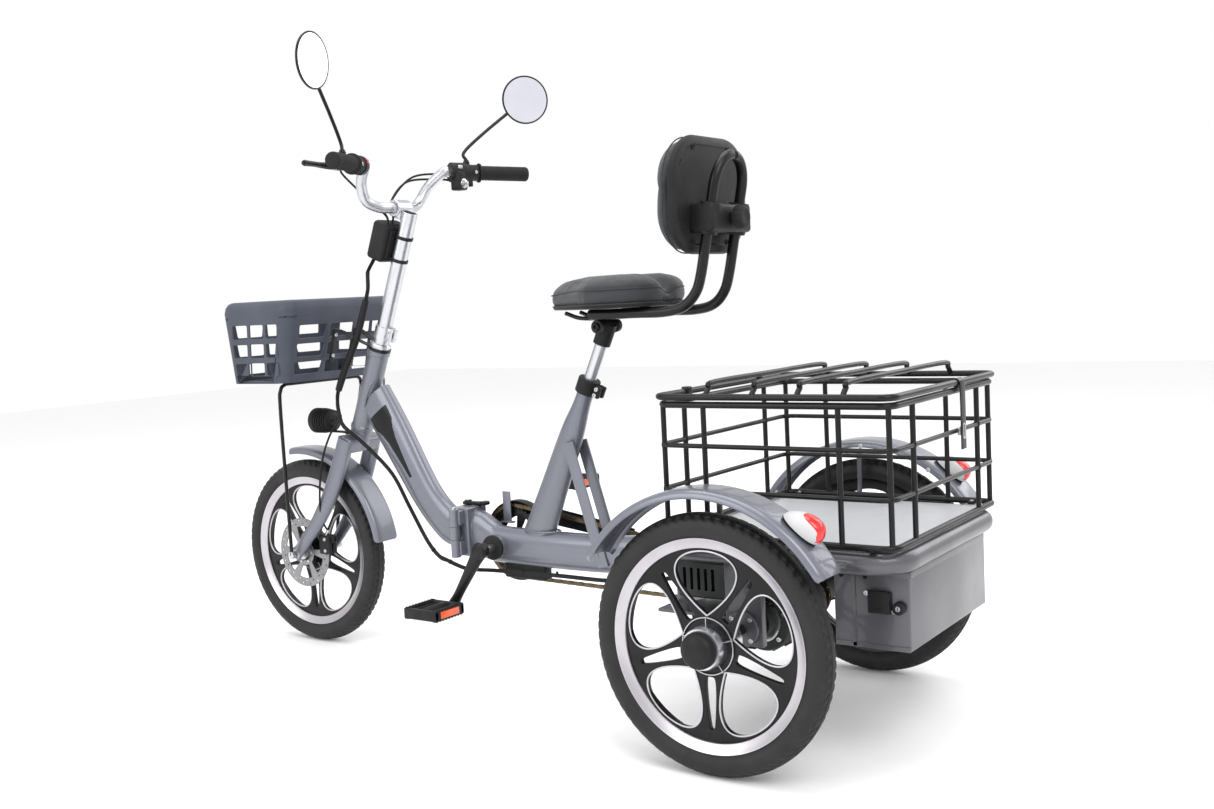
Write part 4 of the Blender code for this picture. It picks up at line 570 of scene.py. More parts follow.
MAKERS = {
    "Frame paint": lambda n: paint(n, tuple(colours().frame)),
    "Dark paint": lambda n: paint(n, tuple(colours().rear), 0.35),
    "Deck sheet": lambda n: base_material(n, tuple(colours().deck), (0.42, 0.43, 0.45), 0.42, 0.35, 0.35, 0.06, 8.0,
    700.0, 0.0001, 0.1)[0],
    "Gloss black": lambda n: paint(n, tuple(colours().cage), 0.14, 0.3),
    "Black plastic": lambda n: plastic(n, (0.009, 0.009, 0.01), 0.46),
    "Soft black": lambda n: plastic(n, (0.01, 0.01, 0.011), 0.62, 1500.0, 0.0003),
    "Tyre rubber": tyre_rubber,
    "Machined rim": lambda n: metal(n, (0.5, 0.48, 0.51), 0.28, (1.0, 12.0, 12.0), 0.00003),
    "Wheel black": lambda n: paint(n, (0.006, 0.006, 0.007), 0.12, 0.3),
    "Silver": lambda n: metal(n, (0.56, 0.57, 0.6), 0.27, None, 0.00001),
    "Bright steel": lambda n: metal(n, (0.55, 0.56, 0.57), 0.26),
    "Disc steel": lambda n: metal(n, (0.27, 0.27, 0.28), 0.34, (1.0, 30.0, 30.0), 0.00003),
    "Brass steel": lambda n: metal(n, (0.13, 0.1, 0.06), 0.4),
    "Leatherette": lambda n: leatherette(n, tuple(colours().seat)),
    "Stitching": lambda n: base_material(n, (0.016, 0.017, 0.018), (0.04, 0.04, 0.042), 0.7, 0.0, 0.5, 0.05, 60.0,
    1400.0, 0.0003, 0.1)[0],
    "Basket plastic": lambda n: plastic(n, tuple(colours().basket), 0.44, 1000.0, 0.0002),
    "Cast housing": lambda n: base_material(n, (0.03, 0.036, 0.033), (0.05, 0.055, 0.05), 0.5, 0.5, 0.5, 0.12, 12.0,
    420.0, 0.0004, 0.12)[0],
    "Lamp white": lambda n: plastic(n, (0.46, 0.46, 0.47), 0.3, 900.0, 0.00008),
    # Red lens and Orange reflector carry a faint emission. It is a painted glow on the pedal reflectors and the red
    # switch buttons, which are not lamps.
    "Red lens": lambda n: lens(n, (0.62, 0.012, 0.01)),
    "Orange reflector": lambda n: lens(n, (0.75, 0.1, 0.02)),
    "Mirror glass": lambda n: metal(n, (0.8, 0.8, 0.88), 0.05, None, 0.00001),
    "Lamp glass": lambda n: lens(n, (0.75, 0.76, 0.78), 0.08),
    "Floor": lambda n: base_material(n, (0.92, 0.92, 0.92), (0.9, 0.9, 0.9), 0.7, 0.0, 0.2, 0.0, 1.2, 60.0, 0.0002,
    0.05)[0],
}


def material(name):
    return bpy.data.materials.get(name) or MAKERS[name](name)


def colours():
    return bpy.context.scene.tricycle_colours


def sizes():
    return bpy.context.scene.tricycle_sizes


class TricycleColours(bpy.types.PropertyGroup):
    """Colours that a user would change."""
    frame: bpy.props.FloatVectorProperty(name="Frame", description="Main paint", subtype="COLOR", size=3, min=0,
        max=1,
                                         default=(0.14, 0.146, 0.178))
    rear: bpy.props.FloatVectorProperty(name="Rear", description="Paint of the deck rail and the box",
        subtype="COLOR",
                                        size=3, min=0, max=1, default=(0.088, 0.089, 0.1))
    deck: bpy.props.FloatVectorProperty(name="Deck", description="Sheet under the cage", subtype="COLOR", size=3,
        min=0,
                                        max=1, default=(0.52, 0.53, 0.55))
    cage: bpy.props.FloatVectorProperty(name="Cage", description="Coating of cage and seat loop", subtype="COLOR",
                                        size=3, min=0, max=1, default=(0.007, 0.007, 0.008))
    seat: bpy.props.FloatVectorProperty(name="Seat", description="Leatherette", subtype="COLOR", size=3, min=0, max=1,
                                        default=(0.028, 0.03, 0.034))
    basket: bpy.props.FloatVectorProperty(name="Basket", description="Moulded basket", subtype="COLOR", size=3, min=0,
                                          max=1, default=(0.055, 0.061, 0.08))


class TricycleSizes(bpy.types.PropertyGroup):
    """Surface sizes that a user would change."""
    tread_depth: bpy.props.FloatProperty(name="Tread depth", description="Depth of the tyre's grooves", unit="LENGTH",
                                         default=0.0026, min=0.0, max=0.004)
    tread_blocks: bpy.props.IntProperty(name="Tread blocks", description="Blocks round each tyre", default=72,
                                        min=20, max=160)
    cable_radius: bpy.props.FloatProperty(name="Cable radius", description="Radius of one thin cable", unit="LENGTH",
                                          default=0.0022, min=0.001, max=0.004)
    cushion_pressure: bpy.props.FloatProperty(name="Cushion pressure", description="Pressure that fills the cushions",
                                              default=4.0, min=0.0, max=10.0)


# --- wheels ------------------------------------------------------------------------------------------
def petal(index, count=72):
    """Drop-shaped opening: radius 48 mm + 102 mm (1 - cos p) / 2, sideways 72 mm sin p |sin(p / 2)|."""
    p = 2 * math.pi * (np.arange(count) + 0.5) / count
    out = 0.048 + 0.051 * (1 - np.cos(p))
    across = 0.072 * np.sin(p) * abs(np.sin(p / 2))
    return turn_flat(out, across, math.pi / 2 + 2 * math.pi * index / 5)


def wedge(index):
    """Narrow slot between two petals, widest by the hub and round at both ends."""
    t = np.linspace(0, 2 * math.pi, 40, endpoint=False)
    out = 0.0925 - 0.0425 * np.cos(t)
    across = (0.0112 - 0.0058 * (1 - np.cos(t)) / 2) * np.sign(np.sin(t)) * abs(np.sin(t)) ** 0.35
    return turn_flat(out, across, math.pi / 2 + 2 * math.pi * (index + 0.5) / 5)


def turn_flat(out, across, turn):
    return np.stack([out * math.cos(turn) - across * math.sin(turn), out * math.sin(turn) + across * math.cos(turn)],
                    1)


def wheel_shell(centre, face, hub, cap):
    """Pierced disc, barrel, rim band, outlines and hub; face is the side that the bright band looks to."""
    shell = Shell()
    out = X_AXIS * face
    holes = [shape(i) for i in range(5) for shape in (petal, wedge)]
    add_plate(shell, [ring(0.16, 120), *holes], 0.005, 0.0016, (centre + out * 0.003, Y_AXIS, Z_AXIS, out), 0)
    barrel = ((-0.0165, 0.1712), (-0.015, 0.164), (-0.01, 0.156), (-0.008, 0.152), (0.006, 0.152), (0.0095, 0.1548),
              (0.01, 0.16), (0.0, 0.166))
    shell.add(turned(barrel, centre, out, 120), 0, rows_close=True)
    band = ((0.0096, 0.1546), (0.011, 0.1553), (0.0152, 0.1688), (0.0165, 0.1702), (0.0168, 0.1716), (0.014, 0.1719),
            (0.009, 0.164))
    shell.add(turned(band, centre, out, 144), 1, rows_close=True)
    for i in range(5):
        flat = petal(i, 96)
        path = centre + out * 0.0082 + flat[:, :1] * Y_AXIS + flat[:, 1:] * Z_AXIS
        shell.add(swept(path, round_box(0.0011, 0.0013, 0.0005, 2), out, closed=True), 1, rows_close=True)
        turn = math.pi / 2 + 2 * math.pi * i / 5
        spoke = Y_AXIS * math.cos(turn) + Z_AXIS * math.sin(turn)
        shell.add(swept([centre + out * 0.0134 + spoke * r for r in (0.0335, 0.04, 0.0475)],
                        round_box(0.0007, 0.0007, 0.0003, 2), out), 1)
    outline = ((0.0118, 0.0447), (0.0118, 0.0461), (0.0095, 0.0465), (0.0095, 0.0443))
    shell.add(turned(outline, centre, out, 96), 1, rows_close=True)
    shell.add(turned(hub, centre, out, 72), 2)
    shell.add(turned(cap, centre, out, 64), 3)
    stem = centre + Y_AXIS * 0.12 * math.cos(0.94) + Z_AXIS * 0.12 * math.sin(0.94)
    shell.add(rod(stem, centre + (stem - centre) * 1.29, 0.0032, 16), 3)
    return shell


def tyre_shell(centre):
    """Section x = 23.5 mm sin f, r = 188.5 mm + 21.5 mm cos f; the grooves lower r by the tread depth."""
    blocks, depth = sizes().tread_blocks, sizes().tread_depth
    rows, columns = blocks * 6, 56
    turn = (2 * math.pi * np.arange(rows) / rows)[:, None]
    f = np.linspace(-2.42, 2.42, columns)[None, :]
    x = 0.0235 * np.sign(np.sin(f)) * abs(np.sin(f)) ** 0.92
    r = 0.1885 + 0.0215 * np.sign(np.cos(f)) * abs(np.cos(f)) ** 0.9
    place = (turn * blocks / (2 * math.pi) + 1.1 * abs(f)) % 1.0
    cross = np.clip(1.6 - 7.0 * abs(place - 0.5), 0, 1) * (abs(f) > 0.16)
    round_cut = np.maximum(np.clip(1.5 - abs(abs(f) - 0.2) / 0.045, 0, 1),
                           np.clip(1.5 - abs(abs(f) - 0.66) / 0.045, 0, 1))
    tread = np.maximum(cross, round_cut) * (abs(f) < 1.12)
    shoulder = 0.45 * ((turn * blocks / math.pi) % 1.0 > 0.5) * (abs(f) > 1.12) * (abs(f) < 1.42)
    bands = 0.5 * np.exp(-((abs(f) - 1.95) / 0.05) ** 2) - 0.35 * np.exp(-((abs(f) - 1.62) / 0.04) ** 2)
    r = r - depth * (tread + shoulder) * np.cos(f).clip(0.25, 1) - depth * bands * 0.3
    x = x + 0.0006 * np.sign(f) * (shoulder > 0) * -1
    x = np.broadcast_to(x, r.shape)
    grid = centre + np.stack([x, r * np.cos(turn), r * np.sin(turn)], -1)
    return Shell().add(grid, 0, rows_close=True, columns_close=True)


def rotor_shell(centre, x):
    """Brake disc: windows between its arms and small round holes in its braking band."""
    shell = Shell()
    outlines = [ring(0.0795, 120), ring(0.019, 48)]
    for i in range(6):
        t = np.linspace(0.16, 0.86, 8) + math.pi * i / 3
        inner, outer = 0.03 * np.stack([np.cos(t + 0.1), np.sin(t + 0.1)], 1), 0.06 * np.stack([np.cos(t), np.sin(t)],
            1)
        outlines.append(np.concatenate([inner, outer[::-1]]))
    for i in range(36):
        t = math.pi * i / 18
        outlines.append(ring(0.0022, 10) + vec(math.cos(t), math.sin(t)) * (0.0665 if i % 2 else 0.0735))
    add_plate(shell, outlines, 0.001, 0.0002, (centre + X_AXIS * (x + 0.001), Y_AXIS, Z_AXIS, X_AXIS), 0)
    for i in range(6):
        t = math.pi * i / 3 + 0.05
        head = centre + X_AXIS * (x + 0.0015) + (Y_AXIS * math.cos(t) + Z_AXIS * math.sin(t)) * 0.0235
        shell.add(rod(head, head + X_AXIS * 0.0032, 0.0034, 12), 1)
    return shell


class TRICYCLE_OT_rear_wheels(bpy.types.Operator):
    """Builds the two rear wheels with their tyres."""
    bl_idname = "tricycle.rear_wheels"
    bl_label = "Rear wheels"

    def execute(self, context):
        hub = ((-0.056, 0.0082), (-0.042, 0.0085), (-0.0418, 0.033), (-0.006, 0.0345), (0.0118, 0.0345),
               (0.032, 0.0335),
               (0.034, 0.0325), (0.0341, 0.029))
        cap = ((0.032, 0.0295), (0.042, 0.0292), (0.047, 0.0276), (0.052, 0.0225), (0.0548, 0.015), (0.0558, 0.006),
               (0.056, 0.0005))
        for side, word, centre in ((1, "left", LEFT_HUB), (-1, "right", RIGHT_HUB)):
            wheel_shell(centre, side, hub, cap).add(rod(centre - X_AXIS * side * 0.183, centre - X_AXIS * side * 0.04,
                0.0085, 24), 3).made(
                f"Rear_wheel_{word}", f"wheel_{word}", ("Wheel black", "Machined rim", "Silver", "Black plastic"),
                                     "alloy_black",
                replaces=(f"rear_wheel_{word}",))
            tyre_shell(centre).made(f"Rear_tyre_{word}", f"wheel_{word}", "Tyre rubber", "tyre_rubber",
                                    replaces=(f"rear_tyre_{word}",))
        return {"FINISHED"}


class TRICYCLE_OT_front_wheel(bpy.types.Operator):
    """Builds the front wheel, its tyre and its brake disc."""
    bl_idname = "tricycle.front_wheel"
    bl_label = "Front wheel"

    def execute(self, context):
        hub = ((-0.0415, 0.008), (-0.0418, 0.0175), (-0.03, 0.0255), (0.018, 0.026), (0.0205, 0.03), (0.024, 0.03),
               (0.03, 0.018), (0.0318, 0.0178), (0.032, 0.008))
        cap = ((0.032, 0.008), (0.0322, 0.016), (0.0415, 0.0155), (0.0418, 0.008))
        finishes = ("Wheel black", "Machined rim", "Wheel black", "Bright steel")
        wheel_shell(FRONT_HUB, 1, hub, cap).made("Front_wheel", "wheel_front", finishes, "alloy_black",
            replaces=("front_wheel",))
        tyre_shell(FRONT_HUB).made("Front_tyre", "wheel_front", "Tyre rubber", "tyre_rubber",
            replaces=("front_tyre",))
        rotor_shell(FRONT_HUB, 0.033).made("Brake_disc", "wheel_front", ("Disc steel", "Bright steel"), "silver",
            replaces=("front_rotor",))
        return {"FINISHED"}


# --- frame -------------------------------------------------------------------------------------------
def tapered(points, section, across=(1, 0, 0), per_span=10):
    """Catmull-Rom through rows of (x, y, z, wide, tall), and the section carried along with those scales."""
    curve = curve_through(points, per_span)
    return swept(curve[:, :3], section, across, scales=curve[:, 3:])


def bead(shell, centre, a, b, wide, tall, mark=0, radius=0.0021):
    """A weld: a thin round bead along an ellipse, its radius rippled 34 times on the way round."""
    t = 2 * math.pi * np.arange(136) / 136
    path = np.asarray(centre) + np.outer(wide * np.cos(t), a) + np.outer(tall * np.sin(t), b)
    ripple = 1 + 0.16 * np.cos(34 * t)
    shell.add(swept(path, oval(radius, radius, 8), np.cross(a, b), closed=True, scales=np.stack([ripple, ripple], 1)),
              mark, rows_close=True)


def bolt(shell, place, direction, radius=0.004, height=0.003, mark=0):
    """A round bolt head with a round dished socket."""
    direction = unit(np.asarray(direction, float))
    profile = ((0, radius), (height * 0.7, radius), (height, radius * 0.85), (height, radius * 0.5),
               (height * 0.4, radius * 0.45))
    shell.add(turned(profile, np.asarray(place, float), direction, 24), mark)


def hinge_leaf(shell, y_low, y_high, spans, near):
    """A hinge plate and its knuckles round the pin."""
    centre = vec(0, (y_low + y_high) / 2, HINGE_MIDDLE)
    shell.add(brick(centre, (0.03, 0.05, (y_high - y_low) / 2), 0.0025, (X_AXIS, Z_AXIS, Y_AXIS), 4))
    for low_z, high_z in spans:
        middle = (low_z + high_z) / 2
        arm = vec(0.034, near, middle)
        shell.add(brick(arm, (0.011, 0.0065, (high_z - low_z) / 2 - 0.003), 0.002))
        shell.add(rod(vec(PIN[0], PIN[1], low_z), vec(PIN[0], PIN[1], high_z), 0.01, 32))


class TRICYCLE_OT_rear_frame(bpy.types.Operator):
    """Builds the main tube, the seat tube and its braces, and the bottom bracket."""
    bl_idname = "tricycle.rear_frame"
    bl_label = "Rear frame"

    def execute(self, context):
        shell = Shell()
        y = PIN[1]
        main = ((0, y + 0.014, HINGE_MIDDLE, 1, 1.16), (0, y + 0.03, HINGE_MIDDLE - 0.001, 1, 1.15),
                (0, y + 0.055, 0.274, 1, 1.1),
                (0, y + 0.095, TUBE_Z + 0.001, 1, 1.02), (0, 0.16, TUBE_Z, 1, 1), (0, 0.366, 0.279, 1, 0.95))
        shell.add(tapered(main, oval(0.022, 0.037, 40, 0.72)))
        hinge_leaf(shell, y + 0.0003, y + 0.024, ((HINGE_LOW, HINGE_LOW + 0.0357), (HINGE_HIGH - 0.0357, HINGE_HIGH)),
                   y + 0.0075)
        shell.add(rod(vec(PIN[0], y, HINGE_LOW), vec(PIN[0], y, HINGE_HIGH + 0.004), 0.0044, 24), 2)
        bead(shell, vec(0, y + 0.0245, HINGE_MIDDLE), X_AXIS, Z_AXIS, 0.0222, 0.0435)
        shell.add(rod(BRACKET - X_AXIS * 0.034, BRACKET + X_AXIS * 0.034, 0.024, 48))
        for side in (-1, 1):
            cup = ((0.0338, 0.0225), (0.0338, 0.0252), (0.0392, 0.0252), (0.04, 0.024), (0.04, 0.011))
            shell.add(turned(cup, BRACKET, X_AXIS * side, 48), 1)
        steps = ((0.0, 0.019, 0.036), (0.1, 0.019, 0.031), (0.225, 0.0185, 0.026), (0.285, 0.0165, 0.0185),
                 (0.312, 0.0165, 0.0165),
                 (0.345, 0.0165, 0.0165))
        shell.add(tapered([(*(SEAT_FOOT + SEAT_AXIS * s), w, h) for s, w, h in steps], oval(1, 1, 40)))
        bead(shell, SEAT_FOOT + vec(0, 0.0105, 0.0105), X_AXIS, Y_AXIS, 0.0208, 0.0415)
        top, foot = vec(0, 0.097, 0.48), vec(0, 0.168, 0.24)
        for side in (-1, 1):
            offset = X_AXIS * side * 0.0236
            shell.add(swept([top + offset, (top + foot) / 2 + offset, foot + offset],
                            round_box(0.002, 0.0125, 0.0012, 3)))
            bead(shell, foot + offset + vec(0, -0.012, 0.03), vec(0, 0.3, -0.95), X_AXIS, 0.02, 0.0018, radius=0.0015)
        shell.add(rod(vec(-0.025, top[1] - 0.004, top[2] - 0.006), vec(0.025, top[1] - 0.004, top[2] - 0.006), 0.007,
                      24))
        shell.add(brick(vec(0, -0.0375, 0.2125), (0.012, 0.0525, 0.016), 0.004), 1)
        for place in (0.06, 0.2, 0.3):
            shell.add(swept(arc_band(vec(0.012, place, 0.224), 0.0205), round_box(0.003, 0.0007, 0.0004, 2), Y_AXIS),
                      1)
        shell.made("Rear_frame", "chassis", ("Frame paint", "Black plastic", "Bright steel"), "frame_paint",
                   replaces=("rear_frame",))
        clamp = Shell()
        collar_low = SEAT_FOOT + SEAT_AXIS * 0.319
        collar = ((0, 0.0168), (0.0004, 0.0212), (0.002, 0.0222), (0.028, 0.0222), (0.0296, 0.0212), (0.03, 0.014))
        clamp.add(turned(collar, collar_low, SEAT_AXIS, 48))
        back = vec(0, SEAT_AXIS[2], -SEAT_AXIS[1])
        lug = collar_low + SEAT_AXIS * 0.015 + back * 0.0285
        for side in (-1, 1):
            clamp.add(brick(lug + X_AXIS * side * 0.0072, (0.0045, 0.0075, 0.0115), 0.002, (X_AXIS, back, SEAT_AXIS)))
        for rise in (-0.006, 0.006):
            clamp.add(rod(lug + SEAT_AXIS * rise - X_AXIS * 0.012, lug + SEAT_AXIS * rise + X_AXIS * 0.012, 0.0026,
                          16), 1)
            bolt(clamp, lug + SEAT_AXIS * rise + X_AXIS * 0.0116, X_AXIS, 0.0043, 0.0034, 1)
        clamp.made("Post_clamp", "chassis", ("Black plastic", "Bright steel"), "black_plastic",
                   replaces=("seat_clamp",))
        return {"FINISHED"}


def arc_band(centre, radius):
    """Half a circle below a point, from its left to its right, in the plane across the frame."""
    t = np.linspace(math.pi * 0.02, -math.pi * 0.45, 12)
    return centre + np.stack([radius * 0.45 * np.cos(t) + 0.01, 0 * t, radius * 0.45 * np.sin(t)], 1)


class TRICYCLE_OT_front_frame(bpy.types.Operator):
    """Builds the down tube, the head tube and its bearings, and the fold latch."""
    bl_idname = "tricycle.front_frame"
    bl_label = "Front frame"

    def execute(self, context):
        shell = Shell()
        y = PIN[1]
        start = steer((HEAD_LOW + HEAD_TOP) / 2 - 0.004) + vec(0, 0.015, -0.01)
        down = ((*start, 0.95, 1.2), (0, start[1] + 0.052, start[2] - 0.078, 1, 1.16),
                (0, start[1] + 0.135, start[2] - 0.208, 1, 1.0),
                (0, y - 0.06, HINGE_MIDDLE + 0.014, 1, 1.04), (0, y - 0.03, HINGE_MIDDLE + 0.002, 1, 1.14),
                (0, y - 0.014, HINGE_MIDDLE, 1, 1.16))
        section = oval(0.021, 0.037, 48, 0.75)
        shell.add(tapered(down, section, per_span=14))
        hinge_leaf(shell, y - 0.024, y - 0.0003, ((HINGE_LOW + 0.036, HINGE_HIGH - 0.036),), y - 0.0075)
        bead(shell, vec(0, y - 0.0245, HINGE_MIDDLE), X_AXIS, Z_AXIS, 0.0212, 0.0432)
        head = ((0, 0.0235), (0.001, 0.0248), (0.009, 0.0248), (0.011, 0.023), (0.176, 0.023), (0.178, 0.0248),
                (0.186, 0.0248), (0.187, 0.0235))
        shell.add(turned(head, steer(HEAD_LOW), AXIS, 64))
        bead(shell, start + vec(0, -0.002, 0.004), X_AXIS, unit(AXIS + vec(0, 0.1, 0)), 0.0235, 0.047)
        gusset = [start + vec(0, 0.02, -0.085), start + vec(0, 0.0, -0.05), start + vec(0, -0.02, -0.03)]
        shell.add(swept(curve_through(gusset, 8), round_box(0.0022, 0.012, 0.001, 2)))
        curve = curve_through(down, 30)[14:52]
        for side in (1, -1):
            lean = np.linspace(-0.62, 0.62, 14)
            patch = curve[:, None, :3] + X_AXIS * side * (0.0003 + 0.021 * (np.cos(lean) ** 0.75))[None, :, None]
            tangent = unit(np.gradient(curve[:, :3], axis=0))
            tall = np.cross(tangent, X_AXIS)
            share = 1 - 0.65 * np.linspace(0, 1, len(curve)) ** 2
            rise = 0.037 * np.sign(lean) * abs(np.sin(lean)) ** 0.75
            patch = patch + tall[:, None] * (rise[None, :] * (share * curve[:, 4])[:, None])[..., None]
            shell.add(patch, 1, columns_close=False, caps=False)
        shell.made("Front_frame", "front_section", ("Frame paint", "Wheel black"), "frame_paint",
                   replaces=("front_frame",))
        latch = Shell()
        pivot = spot("fold_latch_turn")
        latch.add(brick(pivot + vec(0, 0.021, 0.0042), (0.0088, 0.0305, 0.0034), 0.0025))
        latch.add(brick(pivot + vec(0, 0.045, 0.0052), (0.01, 0.008, 0.0044), 0.0035))
        latch.add(rod(pivot + vec(0, 0, 0.0004), pivot + vec(0, 0, 0.01), 0.008, 32))
        bolt(latch, pivot + vec(0, 0, 0.0095), Z_AXIS, 0.0052, 0.0017, 1)
        latch.made("Fold_latch", "latch", ("Gloss black", "Bright steel"), "black_gloss", replaces=("fold_latch",))
        return {"FINISHED"}


class TRICYCLE_OT_rear_subframe(bpy.types.Operator):
    """Builds the deck rail, the cross tube, the axle hangers and the fender stays, and dresses the deck."""
    bl_idname = "tricycle.rear_subframe"
    bl_label = "Rear subframe"

    def execute(self, context):
        shell = Shell()
        rail_x, rail_z, rear, corner, cross_y, cross_z = 0.217, 0.3365, 0.845, 0.055, 0.385, 0.312
        t = np.linspace(0, math.pi / 2, 14)
        bend = np.stack([rail_x - corner + corner * np.cos(t), rear - corner + corner * np.sin(t), 0 * t + rail_z], 1)
        side_run = np.stack([0 * t + rail_x, np.linspace(cross_y, bend[0, 1] - 0.01, len(t)), 0 * t + rail_z], 1)
        half = np.concatenate([side_run, bend])
        path = np.concatenate([half, (half * vec(-1, 1, 1))[::-1]])
        shell.tube(path, 0.018, 0, across=Z_AXIS, count=32)
        reach = HALF_TRACK - 0.042
        shell.add(rod(vec(-reach, cross_y, cross_z), vec(reach, cross_y, cross_z), 0.018, 40), 0)
        for side in (-1, 1):
            shell.add(turned(((0, 0.015), (0.002, 0.0178), (0.0032, 0.016), (0.0036, 0.003)),
                             vec(side * (reach - 0.001), cross_y, cross_z), X_AXIS * side, 32), 1)
            shell.add(brick(vec(side * 0.199, AXLE_Y, (TYRE_R + rail_z - 0.03) / 2),
                            (0.007, 0.034, (rail_z - TYRE_R + 0.03) / 2), 0.002), 0)
            boss = ((-0.016, 0.01), (-0.0158, 0.0285), (-0.014, 0.03), (0.014, 0.03), (0.0158, 0.0285), (0.016, 0.01))
            shell.add(turned(boss, vec(side * 0.2, AXLE_Y, TYRE_R), X_AXIS, 48), 0)
            for angle in (0.8, 2.35, 3.93, 5.5):
                place = vec(side * 0.206, AXLE_Y + 0.024 * math.cos(angle), TYRE_R + 0.024 * math.sin(angle))
                bolt(shell, place + X_AXIS * side * 0.009, X_AXIS * side, 0.0042, 0.003, 2)
            edge = side * (HALF_TRACK - 0.0445)
            stay = ((side * rail_x, AXLE_Y, rail_z), (side * (rail_x + 0.034), AXLE_Y, rail_z + 0.002),
                    (edge - side * 0.002, AXLE_Y, rail_z + 0.035),
                    (edge, AXLE_Y, TYRE_R + 0.228))
            shell.tube(curve_through(stay, 8), 0.005, 0, across=Y_AXIS, count=16)
            rear_stay = ((side * rail_x, 0.775, rail_z), (side * (rail_x + 0.03), 0.765, rail_z),
                         (edge, 0.755, 0.345))
            shell.tube(curve_through(rear_stay, 8), 0.005, 0, across=Z_AXIS, count=16)
            shell.add(brick(vec(side * 0.103, cross_y + 0.01, (TYRE_R + cross_z) / 2),
                            (0.003, 0.01, (cross_z - TYRE_R) / 2), 0.001), 0)
        plate_y = (cross_y + AXLE_Y - 0.0553) / 2
        shell.add(brick(vec(0.01, plate_y, TYRE_R + 0.003), (0.16, (AXLE_Y - 0.0553 - cross_y) / 2, 0.003), 0.0012),
                  0)
        shell.made("Rear_subframe", "chassis", ("Dark paint", "Black plastic", "Bright steel"), "dark_paint",
                   replaces=("rear_subframe",))
        dress("deck_panel", "Deck sheet")
        rivets = Shell()
        for side in (-1, 1):
            for place in (0.48, 0.6, 0.72, 0.8):
                bolt(rivets, vec(side * 0.205, place, DECK_TOP - 0.0004), Z_AXIS, 0.0042, 0.0016)
        rivets.made("Deck_screws", "chassis", "Bright steel", "steel")
        return {"FINISHED"}


def dress(node, finish):
    """A new finish on a frame node that stays."""
    slots = frame["nodes"][node].data.materials
    slots.clear()
    slots.append(material(finish))


